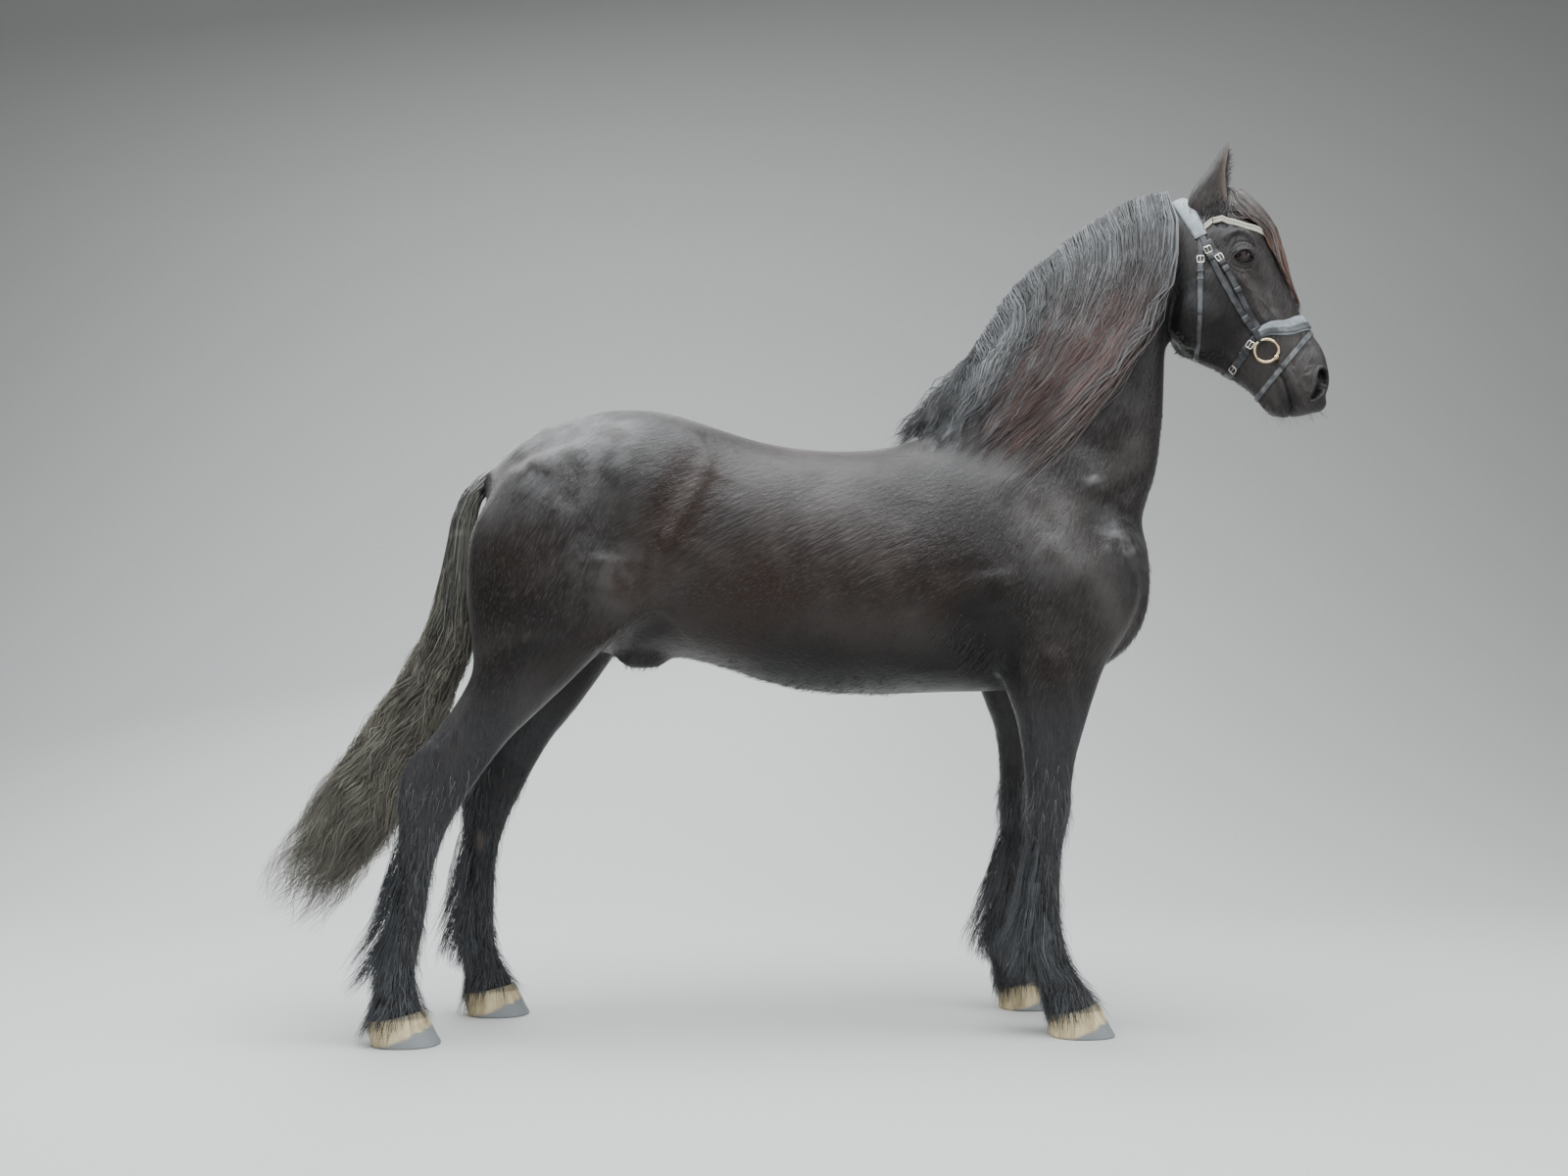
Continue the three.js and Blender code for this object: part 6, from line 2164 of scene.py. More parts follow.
@dataclass
class Eye:
    """An eyeball with its wet rim and lashes."""

    place: EyePlace

    def ball(self, maker: Maker, material: Material) -> Object:
        """The eyeball, with its iris and pupil marked."""
        name = f"eye_{side_name(self.place.side)}"
        around = turns(72)[None, :]
        down = np.linspace(0.01, math.pi - 0.01, 48)[:, None]
        axis = unit(np.array([0.2, self.place.side, 0.0]))
        over = np.array([0.0, 0.0, 1.0])
        level = np.cross(axis, over)
        bulge = 1 + 0.05 * np.exp(-((down / 0.5) ** 2))
        shares = (np.cos(down), np.sin(down) * np.cos(around), np.sin(down) * np.sin(around))
        ball = sum(share[..., None] * way for share, way in zip(shares, (axis, level, over)))
        shape = tube(self.place.centre + self.place.radius * bulge[..., None] * ball)
        made = maker.piece(name, shape, material, "eye")
        off = (shape.points - self.place.centre) / self.place.radius
        u, v = off @ level, off @ over
        ahead = off @ axis
        far = np.where(ahead > 0, 1, 9)
        attribute(made.data, "iris", far * np.hypot(u / 0.66, v / 0.6))
        attribute(made.data, "pupil", far * np.hypot(u / 0.34, v / 0.2))
        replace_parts(made, name)
        return made

    def rim(self) -> Shape:
        """The wet edge of the lids, with the little bump in the front corner."""
        outline = np.asarray(EYE_OUTLINE, float)
        looped = np.concatenate([outline[-2:], outline, outline[:3]])
        line = spline(looped[None], 121)[0][16:112]  # a little more than once round
        edge = wire(self.place.on_ball(line, 1.0), 1.5, closed=True)
        corner = self.place.on_ball(np.array([[1283.5, 2032.0]]), -0.6)[0]
        return joined([edge, ellipsoid(corner, (3.4, 3.0, 4.2), 0.5, 10)])

    def lashes(self) -> Strands:
        """Lashes along the upper lid, and a few finer ones below."""
        rng = np.random.default_rng(3 if self.place.side == RIGHT else 4)
        outline = np.asarray(EYE_OUTLINE, float)
        count = 190
        upper = rng.uniform(0.6, 5.3, count)
        i = upper.astype(int)
        flat = outline[i] + (outline[i + 1] - outline[i]) * (upper - i)[:, None]
        away = unit(flat - (self.place.x, self.place.z - 6))
        root = self.place.on_ball(flat + away * 0.8, 2.0)
        length = rng.uniform(9, 17, count)[:, None]
        t = np.linspace(0, 1, 7)[None, :]
        path = root[:, None] * np.ones((1, 7, 1))
        path[..., 0] += (away[:, :1] * 0.35 + rng.normal(0, 0.12, (count, 1))) * length * t
        path[..., 1] += self.place.side * length * (0.95 * t - 0.25 * t**2)
        path[..., 2] += length * (-0.42 * t + 0.2 * t**2 + 0.1 * away[:, 1:] * t)
        width = 0.42 * np.interp(t, [0, 1], [1, 0.2]) * np.ones((count, 1))
        out = np.zeros_like(path)
        out[..., 2] = 1
        return Strands(
            path, width, out, columns(upper / 6, rng.uniform(0.2, 0.8, count)),
            rng.uniform(0, 0.3, count), np.zeros(count),
        )


def wire(line: np.ndarray, radius: Union[float, np.ndarray], closed: bool = False, sides: int = 8) -> Shape:
    """A round tube along points.

    Args:
        line: (n, 3) points of its middle.
        radius: one number, or one for each point.
        closed: whether its ends meet.
        sides: points round it.

    Returns:
        The closed mesh.
    """
    around = np.roll(line, -1, axis=0) - np.roll(line, 1, axis=0)
    tangent = unit(around if closed else np.gradient(line, axis=0))
    across = np.cross(tangent, np.array([0.3, 0.5, 0.81]))
    for _ in range(3):
        across = unit(across)
        across = across + np.roll(across, 1, axis=0) + np.roll(across, -1, axis=0)
        across -= tangent * np.einsum("ij,ij->i", tangent, across)[:, None]
    across = unit(across)
    over = np.cross(tangent, across)
    angle = turns(sides)[None, :, None]
    ring = np.cos(angle) * across[:, None] + np.sin(angle) * over[:, None]
    return tube(line[:, None] + np.reshape(radius, (-1, 1, 1)) * ring, closed)


@dataclass
class Hoof:
    """A slanted block of horn with growth rings and a flat sole."""

    leg: Leg
    toe: float = 40
    length: float = 166
    half: float = 71
    # between ground and hair: share of the way up, height at the heel, half breadth and squareness
    levels: tuple = ((0.3, 17, 68.5, 2.25), (0.55, 30, 65, 2.2), (0.8, 44, 61, 2.1))

    def build(self, maker: Maker, material: Material) -> Object:
        """The hoof as a finished piece."""
        ux, uz, lx, lz, half, y, *_ = self.leg.ovals[-1]
        toe = ux + self.toe
        heel = toe - self.length
        ovals = [
            oval((toe - 2, 0.5), (heel + 2, 0.5), self.half - 2, y, power=2.3),
            oval((toe, 4), (heel, 4), self.half, y, power=2.3),
        ]
        for t, low, breadth, power in self.levels:
            front, back = (toe + (ux - toe) * t, uz * t), (heel + (lx - heel) * t, low)
            ovals.append(oval(front, back, breadth, y, power=power))
        ovals.append(oval((ux - 2, uz - 1.5), (lx + 2, lz - 1), half + 1, y))
        shape = loft(ovals, 10, 64, self.leg.side)
        points = shape.points
        middle = np.array([(ux + lx) / 2, self.leg.side * y])
        height = np.clip(points[:, 2] / 70, 0, 1)
        off = points[:, :2] - middle
        rings = 0.5 * np.sin(points[:, 2] * 1.05 + 0.02 * off[:, 0]) * smoothstep(points[:, 2], 4, 12)
        points[:, :2] += unit(off) * (rings - 0.6)[:, None]
        made = maker.piece(f"hoof_{self.leg.name}", shape, material, "hoof")
        attribute(made.data, "height", height)
        wedge = 14 + 30 * (points[:, 0] - middle[0]) / 83 - points[:, 2]
        attribute(made.data, "worn", smoothstep(wedge + 3 * np.sin(points[:, 1] * 0.3), -4, 5))
        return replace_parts(made, f"hoof_{self.leg.name}")


# Bridle


@dataclass(frozen=True)
class Section:
    """The cross-section of a strap: places across it, and how high they lie."""

    across: tuple[float, ...]
    over: tuple[float, ...]


FLAT = Section(
    (-1, -1, -0.94, -0.84, -0.4, 0, 0.4, 0.84, 0.94, 1, 1),
    (-0.3, 0.6, 0.9, 1, 1.02, 1.03, 1.02, 1, 0.9, 0.6, -0.3),
)
PADDED = Section(
    (-1, -1.02, -0.96, -0.82, -0.55, 0, 0.55, 0.82, 0.96, 1.02, 1),
    (-0.3, 0.3, 0.66, 0.9, 1.04, 1.12, 1.04, 0.9, 0.66, 0.3, -0.3),
)


@dataclass
class Strap:
    """A strap laid on the skin.

    Attributes:
        skin: the skin's ray-casting tree.
        middle: (n, 3) points that the strap's middle is cast from.
        across: (n, 3) unit steps across its width.
        outward: (n, 3) unit ways out from the skin.
        width: its breadth at each place.
        height: how far it stands out.
        section: its cross-section.
        closed: whether its ends meet.
        base: how far its underside is off the skin.
        reach: how far out the skin is looked for.
    """

    skin: BVHTree
    middle: np.ndarray
    across: np.ndarray
    outward: np.ndarray
    width: np.ndarray
    height: float
    section: Section = FLAT
    closed: bool = False
    base: float = 0.0
    reach: float = 220

    def floor(self, share: float) -> np.ndarray:
        """The skin under the strap.

        Args:
            share: where the line of points lies, as a share of the half width.

        Returns:
            (n, 3) points on the skin.
        """
        start = self.middle + self.across * (share * self.width / 2)[:, None]
        far = np.empty(len(start))
        for i, (point, out) in enumerate(zip(start, self.outward)):
            hit = self.skin.ray_cast(Vector(point + out * self.reach), Vector(-out), self.reach)[0]
            far[i] = np.nan if hit is None else (np.asarray(hit) - point) @ out
        good = np.flatnonzero(~np.isnan(far))
        far = np.interp(np.arange(len(far)), good, far[good])
        for _ in range(3):
            if self.closed:
                far = (np.roll(far, 1) + far + np.roll(far, -1)) / 3
            else:
                padded = np.pad(far, 1, mode="edge")
                far = (padded[:-2] + far + padded[2:]) / 3
        return start + self.outward * far[:, None]

    def line(self, share: float, over: float) -> np.ndarray:
        """A line along the strap, over millimetres above the skin."""
        return self.floor(share) + self.outward * over

    def shape(self) -> Shape:
        """The strap as a closed mesh."""
        rails = [
            self.line(u, self.base + v * self.height)
            for u, v in zip(self.section.across, self.section.over)
        ]
        return tube(np.stack(rails, axis=1), self.closed)

    def part(self, first: int, last: int, **changes) -> "Strap":
        """A stretch of the strap with some of its sizes changed."""
        cut = {key: getattr(self, key)[first:last] for key in ("middle", "across", "outward", "width")}
        return replace(self, **{**cut, "closed": False, **changes})


def wrap_strap(
    skin: BVHTree, centre: tuple[float, float], facing: tuple[float, float], turn: tuple[float, float],
    width: Pairs, height: float, rise: Callable = np.zeros_like, rows: int = 110, **options,
) -> Strap:
    """A strap round the head.

    Args:
        skin: the skin's ray-casting tree.
        centre: x and z of the point that it turns about.
        facing: the side-view way that its middle looks.
        turn: the first and last angle in degrees, negative on the left.
        width: its breadth by angle, the same on both sides.
        height: how far it stands out.
        rise: gives how far it shifts across itself by angle in degrees.
        rows: how many cross-sections it has.
        **options: the strap's other values.

    Returns:
        The strap.
    """
    ahead = unit(np.array([facing[0], 0, facing[1]], float))
    over = np.array([-ahead[2], 0, ahead[0]])
    closed = turn[1] - turn[0] >= 360
    angle = np.linspace(*turn, rows, endpoint=not closed)
    radians = np.radians(angle)[:, None]
    outward = ahead * np.cos(radians) + np.array([0, -1.0, 0]) * np.sin(radians)
    middle = np.array([centre[0], 0, centre[1]]) + over * rise(angle)[:, None]
    across = np.repeat(over[None], rows, axis=0)
    return Strap(skin, middle, across, outward, along(width, abs(angle)), height, closed=closed, **options)


def side_strap(
    skin: BVHTree, guides: Pairs, side: int, width: float, height: float, rows: int = 60, **options
) -> Strap:
    """A strap down one side of the head.

    Args:
        skin: the skin's ray-casting tree.
        guides: x and z of the points that it runs through.
        side: the side that it is on.
        width: its breadth.
        height: how far it stands out.
        rows: how many cross-sections it has.
        **options: the strap's other values.

    Returns:
        The strap.
    """
    flat = curve_at([(x, 0, z) for x, z in guides], np.linspace(0, 1, rows))
    tangent = unit(np.gradient(flat, axis=0))
    across = columns(-tangent[:, 2], 0, tangent[:, 0])
    outward = np.repeat(np.array([[0.0, side, 0.0]]), rows, axis=0)
    return Strap(skin, flat, across, outward, np.full(rows, float(width)), height, **options)


@dataclass
class Repeat:
    """One small rounded shape repeated along lines by a node tree: stitches or holes.

    Attributes:
        name: the piece's name.
        spacing: from one to the next.
        size: half length, half breadth and half depth.
    """

    name: str
    spacing: float
    size: tuple[float, float, float]

    def tree(self, material: Material) -> NodeTree:
        """The node tree with its named inputs."""
        group = bpy.data.node_groups.new(self.name, "GeometryNodeTree")
        group.interface.new_socket("Lines", in_out="INPUT", socket_type="NodeSocketGeometry")
        for label in ("Spacing", "Length", "Breadth", "Depth"):
            group.interface.new_socket(label, in_out="INPUT", socket_type="NodeSocketFloat")
        group.interface.new_socket("Pieces", in_out="OUTPUT", socket_type="NodeSocketGeometry")
        graph = Nodes(group)
        given = graph.add("NodeGroupInput").outputs
        curve = graph.add("GeometryNodeMeshToCurve", Mesh=given["Lines"]).outputs["Curve"]
        spaced = graph.add(
            "GeometryNodeResampleCurve", {"mode": "LENGTH"}, Curve=curve, Length=given["Spacing"]
        )
        ball = graph.add("GeometryNodeMeshUVSphere", Segments=8, Rings=5, Radius=1.0).outputs["Mesh"]
        size = graph.add("ShaderNodeCombineXYZ", X=given["Length"], Y=given["Breadth"], Z=given["Depth"])
        tangent = graph.add("GeometryNodeInputTangent").outputs["Tangent"]
        out = graph.add("GeometryNodeInputNamedAttribute", {"data_type": "FLOAT_VECTOR"}, Name="out")
        turn = "FunctionNodeAlignRotationToVector"
        ahead = graph.add(turn, {"axis": "X"}, Vector=tangent).outputs["Rotation"]
        facing = graph.add(
            turn, {"axis": "Z", "pivot_axis": "X"}, Rotation=ahead, Vector=out.outputs["Attribute"]
        )
        placed = graph.add(
            "GeometryNodeInstanceOnPoints", Points=spaced.outputs["Curve"], Instance=ball,
            Rotation=facing.outputs["Rotation"], Scale=size.outputs["Vector"],
        )
        real = graph.add("GeometryNodeRealizeInstances", Geometry=placed.outputs["Instances"])
        smooth = graph.add("GeometryNodeSetShadeSmooth")
        graph.feed(smooth.inputs[0], real.outputs["Geometry"])
        dressed = graph.add("GeometryNodeSetMaterial", Geometry=smooth.outputs[0], Material=material)
        graph.add("NodeGroupOutput", Pieces=dressed.outputs["Geometry"])
        return group

    def build(
        self, maker: Maker, lines: Sequence[tuple[np.ndarray, np.ndarray]],
        material: Material, slot: str,
    ) -> Object:
        """The repeated pieces along lines.

        Args:
            maker: makes the piece.
            lines: points of each line, and the ways out from the surface there.
            material: the pieces' finish.
            slot: the record's material slot, which is not used.

        Returns:
            One object with all of them.
        """
        points = np.concatenate([line for line, _ in lines])
        ahead = np.concatenate([out for _, out in lines])
        ends = np.cumsum([len(line) for line, _ in lines])
        edges = columns(np.arange(len(points) - 1), np.arange(1, len(points)))
        edges = edges[~np.isin(edges[:, 1], ends)]
        posed = maker.pose.place(points)
        facing = unit(maker.pose.place(points + ahead) - posed)
        mesh = bpy.data.meshes.new(self.name)
        mesh.from_pydata(posed.tolist(), edges.tolist(), [])
        layer = mesh.attributes.new("out", "FLOAT_VECTOR", "POINT")
        layer.data.foreach_set("vector", facing.astype(np.float32).ravel())
        source = linked(f"{self.name}_lines", mesh)
        group = self.tree(material)
        modifier = source.modifiers.new(self.name, "NODES")
        modifier.node_group = group
        values = dict(zip(("Spacing", "Length", "Breadth", "Depth"), (self.spacing, *self.size)))
        for item in group.interface.items_tree:
            if item.in_out == "INPUT" and item.name in values:
                modifier[item.identifier] = values[item.name] * MM
        source.update_tag()
        made = baked(source)
        made.name = self.name
        made.materials.clear()
        return maker.show(self.name, made, material)


@dataclass
class Buckle:
    """A square buckle with a tongue, lying over a strap.

    Attributes:
        long: its size along the strap.
        broad: its size across it.
        wire: half the thickness of its frame.
        corner: radius of the frame's corners.
    """

    long: float = 22
    broad: float = 22
    wire: float = 1.8
    corner: float = 4

    def shape(self, at: np.ndarray, ahead: np.ndarray, out: np.ndarray) -> Shape:
        """The buckle at a place.

        Args:
            at: its middle.
            ahead: the way the strap runs.
            out: the way out from the strap.

        Returns:
            The frame and tongue as one mesh.
        """
        across = unit(np.cross(out, ahead))
        x, y, r = self.long / 2 - self.wire, self.broad / 2 - self.wire, self.corner
        arcs = []
        for i, (ahead_by, across_by) in enumerate(((1, 1), (-1, 1), (-1, -1), (1, -1))):
            angle = np.radians(90 * i + np.linspace(0, 90, 6))
            centre = (ahead_by * (x - r), across_by * (y - r))
            arcs.append(centre + r * columns(np.cos(angle), np.sin(angle)))
        flat = np.concatenate(arcs)
        frame = at + flat[:, :1] * ahead + flat[:, 1:] * across
        tongue = at + np.linspace(-x, x + 1.5, 9)[:, None] * ahead
        tongue = tongue + out * np.array([0, 0.6, 1.2, 1.5, 1.6, 1.5, 1.5, 1.9, 1.4])[:, None]
        bar = at + np.linspace(-y, y, 7)[:, None] * across - x * ahead
        return joined(
            [
                wire(frame, self.wire, closed=True),
                wire(tongue, np.linspace(1.5, 1.0, 9)),
                wire(bar, self.wire * 1.05),
            ]
        )


# x and z in the side view
CROWN = (1152, 2116)
LOW = (1296, 1822)
BIT = (1317, 1782)
NOSEBAND = ((1332, 1797), (229, 154))  # its middle, and the way that its front looks


def noseband_rise(angle: np.ndarray) -> np.ndarray:
    """How far the noseband lies up the head, by angle round it."""
    return 6 + 38 * np.sin(np.radians(angle)) ** 2


@dataclass
class Bridle:
    """The bridle: padded crownpiece and noseband, straps, buckles and bit rings."""

    skin: BVHTree
    maker: Maker
    leather: Material
    grey_leather: Material
    padding: Material
    braid: Material
    brass: Material
    steel: Material
    thread: Material
    stitches: list = field(default_factory=list)
    holes: list = field(default_factory=list)
    keepers: list = field(default_factory=list)

    def add(self, strap: Strap, name: str, material: Material, slot: str, *more: Shape) -> Object:
        """A strap as a piece that replaces its node.

        Args:
            strap: the strap.
            name: the name of the piece and of the node.
            material: its finish.
            slot: the record's material slot.
            *more: shapes that go in the same piece.

        Returns:
            The object.
        """
        made = self.maker.piece(name, joined([strap.shape(), *more]), material, slot)
        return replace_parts(made, name)

    def stitch(self, strap: Strap, share: float = 0.8) -> None:
        """Notes a row of stitches along each edge of a strap."""
        for side in (-share, share):
            self.stitches.append((strap.line(side, strap.base + strap.height * 1.02), strap.outward))

    def build(self) -> None:
        """Makes all the pieces."""
        self.crownpiece()
        self.browband()
        self.noseband()
        self.jaw_and_flash()
        self.throatlatch()
        for side in (RIGHT, LEFT):
            self.cheek(side)
            self.bit_ring(side)
        self.maker.piece("bridle_keepers", joined(self.keepers), self.leather, "leather")
        Repeat("bridle_stitches", 3.5, (1.25, 0.42, 0.35)).build(
            self.maker, self.stitches, self.thread, "leather"
        )
        Repeat("bridle_holes", 11, (1.7, 1.7, 0.5)).build(self.maker, self.holes, self.thread, "leather")

    def crownpiece(self) -> None:
        """The broad padded strap behind the ears."""
        strap = wrap_strap(
            self.skin, CROWN, (-50, 118), (-98, 98), ((0, 46), (50, 44), (98, 34)), 6.5, section=PADDED
        )
        self.add(strap, "bridle_crownpiece", self.padding, "padding")
        self.stitch(strap, 0.86)

    def browband(self) -> None:
        """The pale plaited strap across the brow, in three rounded cords on a backing."""
        strap = wrap_strap(
            self.skin, (1172, 2128), (1, 0), (-94, 94), ((0, 15),), 3, rows=180,
            rise=lambda angle: along(((0, -20), (40, -2), (62, 26), (80, 20), (94, 2)), abs(angle)),
        )
        middle = strap.line(0, 4.2)
        length = np.cumsum(np.linalg.norm(np.diff(middle, axis=0, prepend=middle[:1]), axis=1))
        fine = np.linspace(0, length[-1], 900)
        spread = lambda rows: np.stack([np.interp(fine, length, rows[:, k]) for k in range(3)], axis=1)
        middle, across, outward = spread(middle), spread(strap.across), unit(spread(strap.outward))
        cords = []
        for cord in range(4):
            phase = math.tau * fine / 26 + cord * math.pi / 2
            line = middle + across * (6.6 * np.sin(phase))[:, None]
            line = line + outward * (1.5 * np.sin(2 * phase))[:, None]
            cords.append(wire(line, 2.35, sides=7))
        self.add(strap, "bridle_browband", self.braid, "braid", *cords)

    def noseband(self) -> None:
        """The padded noseband, with the darker strap that runs along its lower half."""
        strap = wrap_strap(
            self.skin, *NOSEBAND, (-100, 100), ((0, 48), (60, 40), (100, 21)), 6, noseband_rise,
            section=PADDED,
        )
        upper = wrap_strap(
            self.skin, *NOSEBAND, (-99, 99), ((0, 18), (60, 16), (99, 15)), 3, base=6.2,
            rise=lambda angle: noseband_rise(angle) - along(((0, 11), (60, 9), (99, 1)), abs(angle)),
        )
        self.add(strap, "bridle_noseband", self.padding, "padding")
        made = self.maker.piece("bridle_noseband_strap", upper.shape(), self.grey_leather, "leather")
        self.stitch(upper)
        self.stitch(strap, 0.88)

    def jaw_and_flash(self) -> None:
        """The strap under the jaw, and the thin one that crosses the muzzle below the bit."""
        jaw = wrap_strap(
            self.skin, *NOSEBAND, (96, 264), ((0, 21),), 5.5, noseband_rise
        )
        self.add(jaw, "bridle_jaw_strap", self.leather, "leather")
        self.stitch(jaw)
        for at, side in ((16, RIGHT), (len(jaw.middle) - 17, LEFT)):
            name = side_name(side)
            self.clasp(jaw, at, f"buckle_jaw_strap_{name}")
            low = at + 26 if side == RIGHT else at - 26
            self.maker.piece(f"buckle_jaw_low_{name}", self.buckle_at(jaw, low), self.steel, "brass")
            for gap in (7, 13):
                self.keep(jaw, at + gap if side == RIGHT else at - gap)
        flash = wrap_strap(self.skin, (1366, 1748), (158, 186), (0, 360), ((0, 14),), 4.6, rows=160)
        self.add(flash, "bridle_flash_strap", self.grey_leather, "leather")
        self.stitch(flash, 0.84)
        self.keep(flash, 44)
        self.keep(flash, len(flash.middle) - 44)

    def throatlatch(self) -> None:
        """The strap round the throat, with a buckle on each side."""
        strap = wrap_strap(
            self.skin, (1148, 1950), (-0.05, -1), (-157, 157), ((70, 13), (90, 15.5)), 4, rows=160
        )
        self.add(strap, "bridle_throatlatch", self.leather, "leather")
        for side, sign in ((RIGHT, 1), (LEFT, -1)):
            height = strap.floor(0)
            mine = np.flatnonzero(height[:, 1] * side > 0)
            at = mine[np.argmin(abs(height[mine, 2] - 2034))]
            self.clasp(strap, at, f"buckle_throatlatch_{side_name(side)}")
            step = 1 if height[min(at + 2, 159), 2] < height[at, 2] else -1
            low = mine[np.argmin(abs(height[mine, 2] - 1884))]
            first, last = sorted((at, low))
            double = strap.part(first, last, base=4.2, height=3.2)
            self.keepers.append(double.shape())
            for gap in (6, 12):
                self.keep(strap, at + step * gap)
            self.holes.append((double.line(0, 7.6), double.outward))

    def cheek(self, side: int) -> None:
        """The cheekpiece and the noseband's hanger on one side."""
        name = side_name(side)
        cheek = side_strap(
            self.skin, [(1152, 2124), (1171, 2067), (1203, 1986), (1252, 1892), LOW], side, 17, 5, rows=80
        )
        loop = side_strap(
            self.skin, [(1286, 1842), LOW, (1306, 1806)], side, 17, 4.4, rows=16, base=5.4
        )
        self.add(cheek, f"bridle_cheekpiece_{name}", self.leather, "leather", loop.shape())
        self.stitch(cheek)
        self.clasp(cheek, 15, f"buckle_cheekpiece_{name}")
        for at in (20, 66):
            self.keep(cheek, at)
        self.holes.append((cheek.line(0, 5.3)[22:60], cheek.outward[22:60]))
        hanger = side_strap(
            self.skin, [(1174, 2092), (1192, 2056), (1237, 1966), (1271, 1892), (1300, 1842)], side, 15, 4.8,
            rows=80,
        )
        self.add(hanger, f"bridle_noseband_hanger_{name}", self.leather, "leather")
        self.stitch(hanger)
        self.maker.piece(f"buckle_hanger_{name}", self.buckle_at(hanger, 17), self.steel, "brass")
        for at in (21, 27, 46):
            self.keep(hanger, at)
        self.holes.append((hanger.line(0, 5.1)[29:44], hanger.outward[29:44]))

    def buckle_at(self, strap: Strap, at: int) -> Shape:
        """A buckle over a strap."""
        top = strap.line(0, strap.base + strap.height + 1.6)
        ahead = unit(top[min(at + 1, len(top) - 1)] - top[at - 1])
        return Buckle().shape(top[at], ahead, strap.outward[at])

    def clasp(self, strap: Strap, at: int, name: str) -> None:
        """A buckle over a strap, as its own piece."""
        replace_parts(self.maker.piece(name, self.buckle_at(strap, at), self.steel, "brass"), name)

    def keep(self, strap: Strap, at: int) -> None:
        """A small leather loop round a strap."""
        at = int(np.clip(at, 2, len(strap.middle) - 3))
        loop = strap.part(
            at - 2, at + 3, width=strap.width[at - 2 : at + 3] + 3.6, height=strap.height + 3.4,
            section=FLAT,
        )
        self.keepers.append(loop.shape())

    def bit_ring(self, side: int) -> None:
        """The bit ring, its sleeve and the end of the mouthpiece."""
        name = f"bit_ring_{side_name(side)}"
        x, z = BIT
        hit = self.skin.ray_cast(Vector((x, 600 * side, z)), Vector((0, -side, 0)))[0]
        y = side * (abs(hit.y) + 12)
        at = lambda angle: columns(x + 31 * np.cos(angle), y, z + 31 * np.sin(angle))
        ring, sleeve = at(turns(96)), at(np.radians(-38))
        bar = sleeve + np.linspace(0, 1, 12)[:, None] * np.array([4, -side * 24, -4])
        shape = joined(
            [
                wire(ring, 3.9, closed=True, sides=14),
                ellipsoid(sleeve, (6.6, 6.6, 8), 0.9),
                wire(bar, np.linspace(5.6, 8.5, 12), sides=14),
            ]
        )
        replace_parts(self.maker.piece(name, shape, self.brass, "brass"), name)


# Studio


def aim(made: Object, place: Vector, ahead: Vector, roll: float = 0) -> None:
    """Puts a lamp or the camera in its place.

    Args:
        made: the object.
        place: where it stands, in metres.
        ahead: the way it looks.
        roll: its turn about that way, in radians.
    """
    made.location = place
    made.rotation_mode = "QUATERNION"
    made.rotation_quaternion = ahead.to_track_quat("-Z", "Y") @ Quaternion((0, 0, 1), roll)


@dataclass(frozen=True)
class Lamp:
    """One soft rectangular light, its place and size in metres and its power in watts."""

    name: str
    place: tuple[float, float, float]
    size: tuple[float, float]
    power: float
    tint: Rgb = (1, 1, 1)

    def build(self, target: Vector) -> None:
        """Hangs the light, turned to the target."""
        data = bpy.data.lights.new(self.name, "AREA")
        data.shape = "RECTANGLE"
        data.size, data.size_y = self.size
        data.energy = self.power
        data.color = self.tint
        aim(linked(self.name, data), Vector(self.place), target - Vector(self.place))


